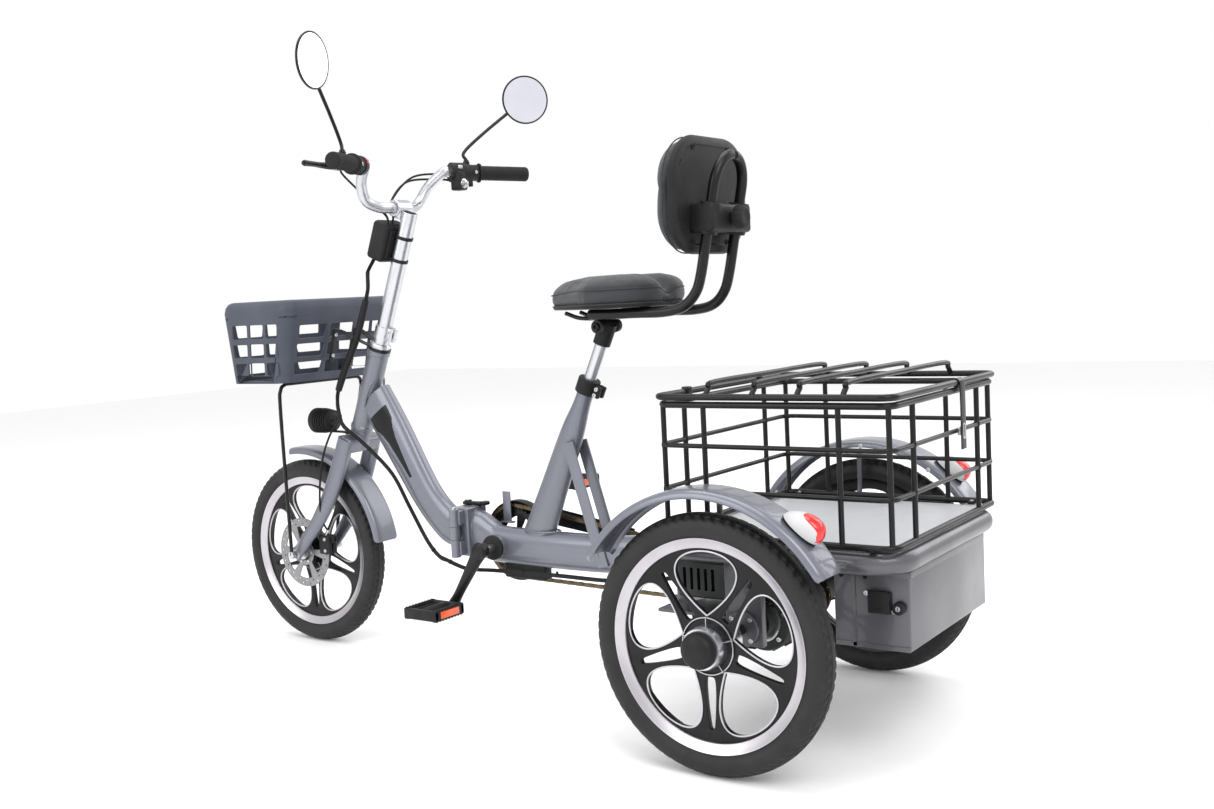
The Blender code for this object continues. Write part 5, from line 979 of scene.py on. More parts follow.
class TRICYCLE_OT_box_and_drive(bpy.types.Operator):
    """Builds the rear box with its cap and lock, the motor, and dresses the battery and the controller."""
    bl_idname = "tricycle.box_and_drive"
    bl_label = "Box and motor"

    def execute(self, context):
        shell = Shell()
        middle, half = (BOX_LOW + BOX_HIGH) / 2, (BOX_HIGH - BOX_LOW) / 2
        middle[0], half[0] = 0, 0.172
        shell.add(brick(middle, half, 0.0025, steps=3), 0)
        for side in (-1, 1):
            face = side * 0.1722
            shell.add(brick(vec(face, BOX_LOW[1] + 0.034, middle[2]), (0.0008, 0.0035, half[2] - 0.001), 0.0005), 0)
            shell.add(brick(vec(face, middle[1], BOX_LOW[2] + 0.004), (0.0008, half[1] - 0.001, 0.004), 0.0005), 0)
            shell.add(brick(vec(face, middle[1], BOX_HIGH[2] - 0.006), (0.001, half[1] - 0.001, 0.005), 0.0005), 0)
            for place in (0.735, 0.775):
                bolt(shell, vec(face + side * 0.0005, place, BOX_HIGH[2] - 0.013), X_AXIS * side, 0.0034, 0.0018, 1)
        shell.add(brick(vec(0, BOX_HIGH[1] + 0.0003, BOX_HIGH[2] - 0.006), (0.168, 0.0008, 0.005), 0.0005), 0)
        shell.add(brick(vec(0.1755, 0.8, 0.268), (0.0028, 0.0185, 0.0175), 0.0016), 1)
        for dy, dz in ((-1, 1), (1, -1)):
            bolt(shell, vec(0.175, 0.8 + dy * 0.0225, 0.268 + dz * 0.013), X_AXIS, 0.0044, 0.0026, 2)
        shell.made("Rear_box", "chassis", ("Dark paint", "Black plastic", "Bright steel"), "dark_paint",
                   replaces=("rear_box",))
        cap = Shell()
        cap.add(brick(mid("charge_cap"), (0.0023, 0.0178, 0.0168), 0.0015, steps=3))
        cap.add(brick(mid("charge_cap") + vec(0.0018, 0, -0.0115), (0.0012, 0.008, 0.0022), 0.0008, steps=3))
        cap.add(rod(vec(0.1805, 0.785, 0.285), vec(0.1805, 0.815, 0.285), 0.0021, 16))
        cap.made("Charge_cap", "cap", "Black plastic", "black_plastic", replaces=("charge_cap",))
        lock = Shell()
        centre = spot("box_lock_turn")
        lock.add(turned(((0.0004, 0.007), (0.0005, 0.01), (0.011, 0.01), (0.0128, 0.009), (0.0136, 0.007),
                         (0.0136, 0.0052), (0.012, 0.0048)), centre, X_AXIS, 40), 0)
        lock.add(rod(centre + X_AXIS * 0.01, centre + X_AXIS * 0.0128, 0.0047, 24), 1)
        lock.add(brick(centre + X_AXIS * 0.0128, (0.0003, 0.0007, 0.003), 0.0002, steps=2), 0)
        lock.made("Box_lock", "lock", ("Black plastic", "Bright steel"), "black_plastic", replaces=("box_lock",))
        motor = Shell()
        hub = vec(0, AXLE_Y, TYRE_R)
        case = ((-0.168, 0.01), (-0.168, 0.0215), (-0.001, 0.0215), (0.001, 0.044), (0.004, 0.0515), (0.01, 0.0548),
                (0.03, 0.0548),
                (0.031, 0.053), (0.034, 0.053), (0.035, 0.0548), (0.14, 0.0548), (0.1455, 0.0515), (0.1495, 0.031),
                (0.15, 0.0285),
                (0.171, 0.0275), (0.1718, 0.011))
        motor.add(turned(case, hub, X_AXIS, 72), 0)
        for i in range(14):
            t = 2 * math.pi * i / 14
            spoke = vec(0, math.cos(t), math.sin(t))
            motor.add(brick(hub + spoke * 0.0548 + X_AXIS * 0.088, (0.045, 0.0014, 0.003), 0.0008,
                            (X_AXIS, np.cross(X_AXIS, spoke), spoke), 2), 0)
        for i in range(6):
            t = 2 * math.pi * i / 6 + 0.3
            bolt(motor, hub + vec(0.1468, 0.044 * math.cos(t), 0.044 * math.sin(t)), X_AXIS, 0.0042, 0.0036, 1)
        motor.add(turned(((0.1496, 0.035), (0.15, 0.0375), (0.1525, 0.0375), (0.153, 0.0345), (0.152, 0.03)), hub,
                         X_AXIS, 48), 1)
        motor.made("Drive_motor", "chassis", ("Cast housing", "Bright steel"), "motor_casting",
                   replaces=("drive_motor",))
        dress("battery_pack", "Black plastic")
        dress("controller_case", "Cast housing")
        return {"FINISHED"}


# --- fenders and lights ------------------------------------------------------------------------------
def fender_shell(centre, radius, half, first, last):
    """Arc of sheet with turned-down edges: offsets from the radius fall away with the fourth power of the width."""
    t = np.radians(np.linspace(first, last, 96))
    share = np.linspace(-1, 1, 25)
    drop = -0.0135 * abs(share) ** 4 + 0.0006
    outer = np.stack([half * np.sin(share * math.pi / 2), drop], 1)
    inner = np.stack([(half - 0.0017) * np.sin(share * math.pi / 2), drop - 0.0016 - 0.0004 * (1 - abs(share))], 1)
    section = np.concatenate([outer, inner[::-1]])
    taper = np.clip(np.minimum(np.linspace(0, 1, 96), np.linspace(1, 0, 96)) / 0.025, 0, 1)
    wide = 1 - 0.16 * (1 - np.sqrt(taper * (2 - taper)))
    out = np.stack([0 * t, np.cos(t), np.sin(t)], 1)
    grid = centre + out[:, None] * (radius + section[None, :, 1:]) + X_AXIS * (section[None, :, :1]
        * wide[:, None, None])
    return Shell().add(grid)


class TRICYCLE_OT_fenders(bpy.types.Operator):
    """Builds the three fenders and the tail lights on the rear two."""
    bl_idname = "tricycle.fenders"
    bl_label = "Fenders and tail lights"

    def execute(self, context):
        for side, word, centre in ((1, "left", LEFT_HUB), (-1, "right", RIGHT_HUB)):
            shell = fender_shell(centre, 0.25, 0.0378, 149, 31)
            for angle in (math.pi / 2, math.pi * 0.31):
                place = centre + vec(-side * 0.0372, 0.2385 * math.cos(angle), 0.2385 * math.sin(angle))
                bolt(shell, place, -X_AXIS * side, 0.0045, 0.002, 1)
            shell.made(f"Rear_fender_{word}", "chassis", ("Frame paint", "Bright steel"), "frame_paint",
                       replaces=(f"rear_fender_{word}",))
            angle = math.radians(50.0)
            out, back = vec(0, math.cos(angle), math.sin(angle)), vec(0, math.sin(angle), -math.cos(angle))
            foot = centre + out * 0.2513
            lamp = Shell()
            gasket = [(0.0, 0.033, 0.0195, 0.0), (0.003, 0.0335, 0.0205, 0.001)]
            base = [(0.003, 0.0338, 0.0208, 0.001), (0.01, 0.0325, 0.021, 0.003), (0.017, 0.0285, 0.02, 0.006),
                    (0.023, 0.023, 0.0178, 0.009),
                    (0.0275, 0.015, 0.013, 0.012), (0.0295, 0.006, 0.0055, 0.013)]
            lens = [(0.007, 0.027, 0.0182, 0.009), (0.016, 0.0262, 0.0184, 0.0095), (0.024, 0.0215, 0.0165, 0.011),
                    (0.029, 0.015, 0.0125, 0.012),
                    (0.0318, 0.006, 0.005, 0.013)]
            for mark, rows in ((1, gasket), (0, base), (2, lens)):
                rows = curve_through(rows, 5)
                grid = np.stack([foot + out * h + back * shift + np.outer(oval(long, wide, 48, 0.86)[:, 0], back)
                                 + np.outer(oval(long, wide, 48, 0.86)[:, 1], X_AXIS) for h, long, wide,
                                 shift in rows])
                lamp.add(grid, mark)
            for rib in (-0.01, -0.005, 0.0, 0.005, 0.01):
                h = np.linspace(0.008, 0.03, 12)
                reach = 0.035 - 0.015 * ((h - 0.008) / 0.022) ** 3 - abs(rib) * 0.35
                lamp.add(swept(foot + np.outer(h, out) + np.outer(reach, back) + X_AXIS * rib,
                               oval(0.0008, 0.0008, 8), X_AXIS), 2)
            lamp.made(f"Tail_light_{word}", "chassis", ("Lamp white", "Soft black", "Red lens"), "lamp_base",
                      replaces=(f"tail_light_{word}",))
        shell = fender_shell(FRONT_HUB, 0.241, 0.0328, 99, 9)
        shell.made("Front_fender", "steering", "Frame paint", "frame_paint", replaces=("front_fender",))
        return {"FINISHED"}


# --- cargo cage --------------------------------------------------------------------------------------
CAGE_X, CAGE_FRONT, CAGE_REAR, CAGE_TOP = 0.2274, 0.441, 0.849, 0.578


def cage_loop(z, grow=0.0):
    return loop_at(-CAGE_X - grow, CAGE_X + grow, CAGE_FRONT - grow, CAGE_REAR + grow, z, 0.022, 8)


class TRICYCLE_OT_cargo_cage(bpy.types.Operator):
    """Builds the wire cage, its hinged lid and the hasp."""
    bl_idname = "tricycle.cargo_cage"
    bl_label = "Cargo cage"

    def execute(self, context):
        shell = Shell()
        low_z = CAGE_LOW[2] + 0.0055
        for z, radius in ((low_z, 0.0055), (0.4366, 0.004), (0.5107, 0.004), (CAGE_TOP, 0.0055)):
            shell.tube(cage_loop(z), radius, 0, closed=True, across=Z_AXIS, count=14)
        cut = 0.022 * (1 - math.sqrt(0.5))
        spots = [(x, y) for x in (-CAGE_X, CAGE_X) for y in (0.528, 0.764)]
        spots += [(x, y) for x in (-CAGE_X + cut, CAGE_X - cut) for y in (CAGE_FRONT + cut, CAGE_REAR - cut)]
        spots += [(x, y) for x in (-0.144, 0.144) for y in (CAGE_FRONT, CAGE_REAR)]
        for x, y in spots:
            shell.add(rod(vec(x, y, low_z), vec(x, y, CAGE_TOP), 0.0045, 14))
            for z in (0.4366, 0.5107):
                shell.add(turned(((-0.006, 0.0035), (-0.003, 0.0054), (0.003, 0.0054), (0.006, 0.0035)), vec(x, y, z),
                                 Z_AXIS, 14))
        for side in (-1, 1):
            shell.add(brick(vec(side * 0.128, CAGE_FRONT - 0.003, (CAGE_TOP + LID_Z + 0.0075) / 2),
                            (0.0078, 0.0068, (LID_Z + 0.0095 - CAGE_TOP) / 2), 0.0022))
            bolt(shell, vec(side * 0.1358, CAGE_FRONT - 0.002, CAGE_TOP + 0.005), X_AXIS * side, 0.0036, 0.0022, 1)
            for y in (0.47, 0.81):
                foot = vec(side * (CAGE_X - 0.004), y, DECK_TOP + 0.0036)
                shell.add(brick(foot, (0.0085, 0.0065, 0.003), 0.0012))
                bolt(shell, foot + vec(-side * 0.0035, 0, 0.0026), Z_AXIS, 0.0036, 0.0022, 1)
        shell.add(brick(vec(-0.046, CAGE_REAR + 0.0052, 0.5107), (0.004, 0.003, 0.0075), 0.0015), 1)
        shell.made("Cargo_cage", "chassis", ("Gloss black", "Bright steel"), "black_gloss", replaces=("cargo_cage",))
        lid = Shell()
        lid.tube(cage_loop(LID_Z, 0.004), 0.0055, 0, closed=True, across=Z_AXIS, count=14)
        edge = CAGE_X + 0.004
        for y in (0.534, 0.618, 0.697, 0.774):
            hoop = ((-edge, y, LID_Z), (-edge + 0.014, y, LID_Z + 0.013), (-edge + 0.034, y, LID_Z + 0.022),
                    (0, y, LID_Z + 0.0222),
                    (edge - 0.034, y, LID_Z + 0.022), (edge - 0.014, y, LID_Z + 0.013), (edge, y, LID_Z))
            lid.tube(curve_through(hoop, 8), 0.0045, 0, across=Y_AXIS, count=14)
        lid.made("Cage_lid", "lid", "Gloss black", "black_gloss", replaces=("cage_lid",))
        hasp = Shell()
        y = CAGE_REAR + 0.004
        hasp.add(turned(((-0.012, 0.006), (-0.012, 0.0074), (0.012, 0.0074), (0.012, 0.006)), vec(-0.046, y, LID_Z),
                        X_AXIS, 32), 0, rows_close=True)
        path = [vec(-0.046, y + 0.007, LID_Z + 0.002), vec(-0.046, y + 0.0075, LID_Z - 0.04),
                vec(-0.046, y + 0.0075, LID_Z - 0.075), vec(-0.046, y + 0.0075, LID_Z - 0.11)]
        hasp.add(swept(curve_through(path, 8), round_box(0.011, 0.001, 0.0008, 3)))
        hasp.add(swept(loop_at(-0.05, -0.042, -0.012, 0.012, 0, 0.0035, 6)[:, [0, 2, 1]] + vec(0, y + 0.0088, 0.5107),
                       oval(0.0012, 0.0012, 8), Y_AXIS, closed=True), 1, rows_close=True)
        hasp.made("Lid_hasp", "hasp", ("Gloss black", "Bright steel"), "black_gloss", replaces=("lid_hasp",),
                  sharp=40)
        return {"FINISHED"}


# --- seat --------------------------------------------------------------------------------------------
def signed_power(value, exponent):
    return np.sign(value) * abs(value) ** exponent


def saddle_outline(count, inset=0.0):
    """Half width 120 mm (0.42 + 0.58 min(1, b / 0.55)^1.2) at the share b of the length from the nose."""
    angle = 2 * math.pi * np.arange(count) / count
    back = 0.5 - 0.5 * signed_power(np.cos(angle), 0.8)
    wide = 0.12 * (0.42 + 0.58 * np.minimum(1.0, back / 0.55) ** 1.2)
    return np.stack([(wide - inset) * signed_power(np.sin(angle), 0.62), 0.064 + inset + (0.276 - 2 * inset) * back],
                    1)


def inflated(name, shell, voxel, cap, pressure):
    """The cushion blown up as cloth for twenty frames; no point moves further than the cap."""
    mesh = bpy.data.meshes.new(name)
    mesh.from_pydata(np.concatenate(shell.points).tolist(), [], shell.faces)
    cushion = bpy.data.objects.new(name, mesh)
    bpy.context.scene.collection.objects.link(cushion)
    shape = bmesh.new()
    shape.from_mesh(mesh)
    bmesh.ops.recalc_face_normals(shape, faces=shape.faces)
    shape.to_mesh(mesh)
    shape.free()
    remesh = cushion.modifiers.new("Remesh", "REMESH")
    remesh.mode = "VOXEL"
    remesh.voxel_size = voxel
    bake(cushion)
    start = points_of(cushion)
    cloth = cushion.modifiers.new("Cloth", "CLOTH")
    cloth.settings.use_pressure = True
    cloth.settings.uniform_pressure_force = pressure
    cloth.settings.effector_weights.gravity = 0
    for number in range(1, 21):
        bpy.context.scene.frame_set(number)
    bake(cushion)
    bpy.context.scene.frame_set(1)
    moved = points_of(cushion) - start
    reach = np.linalg.norm(moved, axis=1, keepdims=True)
    start = start + moved * np.minimum(1, cap / np.maximum(reach, 1e-9))
    cushion.data.vertices.foreach_set("co", start.ravel())
    return cushion


def points_of(piece):
    flat = np.zeros(len(piece.data.vertices) * 3)
    piece.data.vertices.foreach_get("co", flat)
    return flat.reshape(-1, 3)


def bake(piece):
    """Applies the modifiers of a piece and takes them off."""
    graph = bpy.context.evaluated_depsgraph_get()
    graph.update()
    mesh = bpy.data.meshes.new_from_object(piece.evaluated_get(graph))
    piece.modifiers.clear()
    piece.data = mesh


def finish_cushion(cushion, body, replaces, points):
    cushion.data.vertices.foreach_set("co", points.ravel())
    smooth = cushion.modifiers.new("Subdivision", "SUBSURF")
    smooth.levels = smooth.render_levels = 1
    cushion.data.materials.clear()
    cushion.data.materials.append(material("Leatherette"))
    cushion.data.shade_smooth()
    settle(cushion, body, replaces)


def channelled(points):
    """Draws the saddle's middle in: a bell across it that deepens to the rear, and a nose that slopes down."""
    back = np.clip((points[:, 1] - 0.064) / 0.276, 0, 1)
    channel = np.exp(-(points[:, 0] / 0.021) ** 2) * np.clip((back - 0.3) / 0.5, 0, 1)
    high = np.clip((points[:, 2] - PAD_Z) / 0.05, 0, 1)
    lower = 0.017 * channel * high + 0.01 * high * np.clip(1 - back / 0.45, 0, 1)
    forward = 0.013 * channel * high * np.clip((back - 0.8) / 0.2, 0, 1)
    return points - np.column_stack([0 * lower, forward, lower])


class TRICYCLE_OT_saddle(bpy.types.Operator):
    """Blows up the saddle, sews its seams and builds the pan under it."""
    bl_idname = "tricycle.saddle"
    bl_label = "Saddle"

    def execute(self, context):
        shell = Shell()
        rows = ((0.004, 0.016), (0.01, 0.007), (0.022, 0.004), (0.04, 0.006), (0.05, 0.014), (0.056, 0.026))
        rows = curve_through(rows, 3)
        grid = np.stack([np.column_stack([saddle_outline(72, inset), np.full(72, PAD_Z + h)]) for h, inset in rows])
        back = np.clip((grid[..., 1] - 0.064) / 0.276, 0, 1)
        dip = 0.007 * np.exp(-((back - 0.4) / 0.22) ** 2)
        grid[..., 2] -= dip * np.clip((grid[..., 2] - PAD_Z) / 0.05, 0, 1)
        shell.add(grid)
        cushion = inflated("Saddle", shell, 0.005, 0.0065, sizes().cushion_pressure)
        points = points_of(cushion)
        points[:, 2] = np.clip(points[:, 2], PAD_Z + 0.0015, 0.8055)
        outward = points * vec(1, 1, 0) - vec(0, 0.215, 0)
        outward = unit(outward + 1e-9)
        gap = abs(points[:, 2] - (PAD_Z + 0.035))
        points -= outward * (0.002 * np.exp(-(gap / 0.0026) ** 2))[:, None]
        for side in (-1, 1):
            line = [vec(side * 0.052, 0.3, PAD_Z + 0.062), vec(side * 0.05, 0.25, PAD_Z + 0.06),
                    vec(side * 0.034, 0.19, PAD_Z + 0.055), vec(side * 0.02, 0.12, PAD_Z + 0.055)]
            line = curve_through(line, 24)
            gap = np.min(np.linalg.norm(points[:, None, :2] - line[None, :, :2], axis=2), axis=1)
            points[:, 2] -= 0.0022 * np.exp(-(gap / 0.004) ** 2) * (points[:, 2] > PAD_Z + 0.04)
        finish_cushion(cushion, "seat", ("saddle_pad",), channelled(points))
        trim = Shell()
        for height, inset in ((0.035, 0.0072), (0.0085, 0.0086)):
            path = channelled(np.column_stack([saddle_outline(160, inset), np.full(160, PAD_Z + height)]))
            trim.add(swept(path, oval(0.0013, 0.0013, 10), Z_AXIS, closed=True), 0, rows_close=True)
        pan = np.stack([np.column_stack([saddle_outline(96, inset), np.full(96, PAD_Z + h)]) for h, inset in
                        ((0.0004, 0.03), (0.0004, 0.013), (0.0022, 0.0095), (0.008, 0.0085), (0.01, 0.012))])
        trim.add(pan, 1)
        trim.made("Saddle_pan", "seat", ("Stitching", "Black plastic"), "black_plastic")
        return {"FINISHED"}


def pad_outline(count_steps, inset):
    return round_box(0.132 - inset, 0.1035 - inset, 0.08 - inset, count_steps)


def pad_place(flat, depth):
    """Points on the leaning backrest: across, up, and in front of the shell's face."""
    z = 0.9295 + flat[:, 1]
    return np.column_stack([flat[:, 0], 0.4133 - depth + (z - 0.826) * 0.05, z])


class TRICYCLE_OT_backrest(bpy.types.Operator):
    """Blows up the backrest pad and builds the shell, the clamp and the knob behind it."""
    bl_idname = "tricycle.backrest"
    bl_label = "Backrest"

    def execute(self, context):
        shell = Shell()
        rows = curve_through(((0.0035, 0.01), (0.0085, 0.0045), (0.02, 0.005), (0.03, 0.013), (0.0345, 0.028)), 3)
        shell.add(np.stack([pad_place(pad_outline(12, inset), depth) for depth, inset in rows]))
        cushion = inflated("Backrest_pad", shell, 0.005, 0.006, sizes().cushion_pressure)
        points = points_of(cushion)
        face = 0.4133 + (points[:, 2] - 0.826) * 0.05
        points[:, 1] = np.clip(points[:, 1], face - 0.0425, face - 0.0006)
        depth = face - points[:, 1]
        centre = vec(0, 0, 0.9295)
        inward = unit((centre - points) * vec(1, 0, 1) + 1e-9)
        points += inward * (0.0018 * np.exp(-((depth - 0.012) / 0.0026) ** 2))[:, None]
        share = np.hypot(points[:, 0] / 0.088, (points[:, 2] - 0.9295) / 0.066)
        points[:, 1] += 0.002 * np.exp(-((share - 1) / 0.055) ** 2) * (depth > 0.026)
        finish_cushion(cushion, "backrest", ("backrest_pad",), points)
        trim = Shell()
        trim.add(swept(pad_place(pad_outline(20, 0.003), 0.012), oval(0.0012, 0.0012, 10), Y_AXIS, closed=True), 0,
                 rows_close=True)
        rows = ((0.0002, 0.004), (0.0002, 0.001), (-0.003, 0.0002), (-0.008, 0.003), (-0.01, 0.008), (-0.0105, 0.016),
                (-0.0085, 0.0185), (-0.0085, 0.03))
        trim.add(np.stack([pad_place(pad_outline(16, inset), depth) for depth, inset in rows]), 1)
        for x, z in ((0.105, 0.985), (0.105, 0.875), (0.06, 1.012), (0.06, 0.848)):
            for side in (-1, 1):
                place = pad_place(np.array([[side * x, z - 0.9295]]), -0.0088)[0]
                trim.add(turned(((0, 0.0052), (0.0012, 0.0052), (0.0016, 0.0044), (0.0012, 0.0026),
                                 (-0.0006, 0.0022)), place, Y_AXIS, 20), 2)
        z, y = KNOB[2], 0.4133
        trim.add(brick(vec(0, y + 0.032, z), (0.07, 0.025, 0.025), 0.0075, steps=6), 1)
        for side in (-1, 1):
            leg = vec(side * 0.05, 0.43, 0.79) + LEG_AXIS * ((z - 0.79) / LEG_AXIS[2])
            trim.add(turned(((-0.0285, 0.0105), (-0.028, 0.0175), (-0.024, 0.019), (0.024, 0.019), (0.028, 0.0175),
                             (0.0285, 0.0105)), leg, LEG_AXIS, 32), 1)
        trim.made("Backrest_shell", "backrest", ("Stitching", "Black plastic", "Soft black"), "black_plastic",
                  replaces=("backrest_shell",))
        knob = Shell()
        t = 2 * math.pi * np.arange(96) / 96
        rows = curve_through(((0.0003, 0.011), (0.0055, 0.012), (0.0065, 0.019), (0.0085, 0.0208), (0.02, 0.0206),
                              (0.0238, 0.018), (0.0246, 0.012), (0.0236, 0.009)), 2)
        grid = []
        for out, radius in rows:
            lobe = radius * (1 - 0.045 * (radius > 0.0185) * (0.5 + 0.5 * np.cos(12 * t)))
            grid.append(KNOB + Y_AXIS * out + np.outer(lobe * np.cos(t), X_AXIS) + np.outer(lobe * np.sin(t), Z_AXIS))
        knob.add(np.stack(grid))
        knob.made("Backrest_knob", "knob", "Soft black", "black_plastic", replaces=("backrest_knob",))
        return {"FINISHED"}


class TRICYCLE_OT_seat_frame(bpy.types.Operator):
    """Builds the seat post, the saddle clamp with its rails and the backrest loop."""
    bl_idname = "tricycle.seat_frame"
    bl_label = "Seat frame"

    def execute(self, context):
        post = Shell()
        post.add(rod(SEAT_FOOT + SEAT_AXIS * 0.155, SEAT_FOOT + SEAT_AXIS * 0.442, 0.0125, 48), 0)
        post.made("Saddle_post", "seat", "Silver", "silver", replaces=("seatpost",))
        shell = Shell()
        rise, half = PAD_Z - 0.0098, 0.056
        leg_top = vec(0, 0.4625, 0.94)
        run = [(half, 0.19, rise), (half, 0.29, rise), (half - 0.001, 0.352, rise),
               (half - 0.003, 0.392, rise + 0.008), (0.051, 0.417, rise + 0.03), (0.05, 0.43, 0.79),
               (0.05, 0.4463, 0.865)]
        run = curve_through(run, 10)
        t = np.linspace(0, math.pi / 2, 16)
        arch = leg_top + np.outer(0.05 * np.cos(t), X_AXIS) + np.outer(0.058 * np.sin(t), LEG_AXIS)
        side_half = np.concatenate([run, arch])
        path = np.concatenate([side_half, (side_half * vec(-1, 1, 1))[::-1][1:]])
        shell.tube(path, 0.0095, 0, across=X_AXIS + vec(0, 0.001, 0.0), count=28)
        for y_low, y_high in ((0.186, 0.236), (0.282, 0.306)):
            shell.add(brick(vec(0, (y_low + y_high) / 2, rise - 0.004), (half + 0.004, (y_high - y_low) / 2, 0.002),
                            0.0012, steps=3))
            for side in (-1, 1):
                bolt(shell, vec(side * half, (y_low + y_high) / 2, rise - 0.006), -Z_AXIS, 0.005, 0.003, 1)
        for side in (-1, 1):
            rail = ((side * 0.024, 0.11, PAD_Z - 0.006), (side * 0.023, 0.15, rise - 0.007),
                    (side * 0.022, 0.235, rise - 0.007), (side * 0.024, 0.3, rise - 0.004))
            shell.tube(curve_through(rail, 10), 0.004, 1, count=16)
        top = SEAT_FOOT + SEAT_AXIS * 0.442
        ribbed = []
        for i in range(35):
            x = -0.034 + 0.068 * i / 34
            ribbed.append((x, 0.0139 if i % 2 and 3 < i < 31 else 0.0126))
        shell.add(turned(ribbed, top + vec(0, 0.006, 0.016), X_AXIS, 48), 2)
        for side in (-1, 1):
            bolt(shell, top + vec(side * 0.0335, 0.006, 0.016), X_AXIS * side, 0.0075, 0.005, 1)
        shell.add(turned(((-0.02, 0.013), (-0.0195, 0.0172), (0.018, 0.0175), (0.0235, 0.0165), (0.024, 0.01)), top,
                         SEAT_AXIS, 40), 2)
        shell.made("Saddle_loop", "seat", ("Gloss black", "Wheel black", "Black plastic"), "black_gloss",
                   replaces=("seat_frame",))
        return {"FINISHED"}


# --- steering ----------------------------------------------------------------------------------------
class TRICYCLE_OT_fork(bpy.types.Operator):
    """Builds the fork, its crown and dropouts, and the brake caliper."""
    bl_idname = "tricycle.fork"
    bl_label = "Fork"

    def execute(self, context):
        shell = Shell()
        crown = ((-0.01, 0.012), (-0.0095, 0.0225), (0.0, 0.023), (0.027, 0.023), (0.0296, 0.0222), (0.0297, 0.0125),
                 (0.3, 0.0125))
        shell.add(turned(crown, steer(CROWN), AXIS, 48))
        shell.add(brick(steer(CROWN - 0.003), (0.05, 0.0205, 0.0165), 0.009, (X_AXIS, AHEAD, AXIS), 6))
        for side in (-1, 1):
            route = [(CROWN + 0.01, 0.043, 0.0, 1, 1), (0.235, 0.045, 0.001, 1, 1.05), (0.17, 0.047, 0.006, 1, 1),
                     (0.1, 0.05, 0.021, 0.9, 0.9),
                     (0.045, 0.053, 0.04, 0.75, 0.75), (0.002, 0.0545, 0.0562, 0.5, 0.62)]
            rows = [(*steer(s, side * out, ahead), w, t) for s, out, ahead, w, t in route]
            shell.add(tapered(rows, oval(0.012, 0.0195, 32, 0.85)))
            x = side * 0.054
            shell.add(brick(FRONT_HUB + X_AXIS * (x + side * 0.001), (0.003, 0.012, 0.014), 0.0025,
                            (X_AXIS, AHEAD, AXIS), 3))
            shell.add(rod(FRONT_HUB + X_AXIS * (x - side * 0.006), FRONT_HUB + X_AXIS * (x + side * 0.0065), 0.0108,
                          32), 1)
            hexagon = oval(0.0098, 0.0098, 6)
            shell.add(swept([FRONT_HUB + X_AXIS * (x + side * 0.006), FRONT_HUB + X_AXIS * (x + side * 0.0125)],
                            hexagon, Z_AXIS), 1)
            shell.add(rod(FRONT_HUB + X_AXIS * (x + side * 0.012), FRONT_HUB + X_AXIS * (x + side * 0.0138), 0.0058,
                          24), 1)
        shell.add(rod(FRONT_HUB - X_AXIS * 0.054, FRONT_HUB + X_AXIS * 0.054, 0.006, 24), 1)
        shell.made("Fork", "steering", ("Frame paint", "Bright steel"), "frame_paint", replaces=("fork",))
        caliper = Shell()
        centre = mid("front_caliper")
        for side, wide in ((-1, 0.0055), (1, 0.0048)):
            caliper.add(brick(centre + X_AXIS * side * (0.0128 - wide), (wide, 0.0165, 0.0215), 0.0035, steps=5), 0)
        caliper.add(brick(centre + vec(0, 0.012, 0.012), (0.012, 0.0045, 0.009), 0.003, steps=4), 0)
        for dz in (-0.013, 0.013):
            bolt(caliper, centre + vec(0.012, 0.004, dz), X_AXIS, 0.004, 0.003, 1)
        caliper.add(rod(centre + vec(0.006, 0.002, 0.018), centre + vec(0.006, 0.01, 0.034), 0.0032, 20), 1)
        caliper.made("Front_caliper", "steering", ("Black plastic", "Bright steel"), "black_plastic",
                     replaces=("front_caliper",))
        return {"FINISHED"}


def bar_half(side):
    route = ((0.0, 0.0, 0.0), (0.022, 0.0, 0.0), (0.028, -0.001, 0.0), (0.052, -0.013, 0.002), (0.08, -0.02, 0.016),
             (0.101, -0.008, 0.05),
             (0.119, 0.0228, 0.0792), (0.1328, 0.0301, 0.0788), (0.2, 0.0657, 0.0767), (0.287, 0.112, 0.0741))
    return BAR_CENTRE + np.array(route) * vec(side, 1, 1)


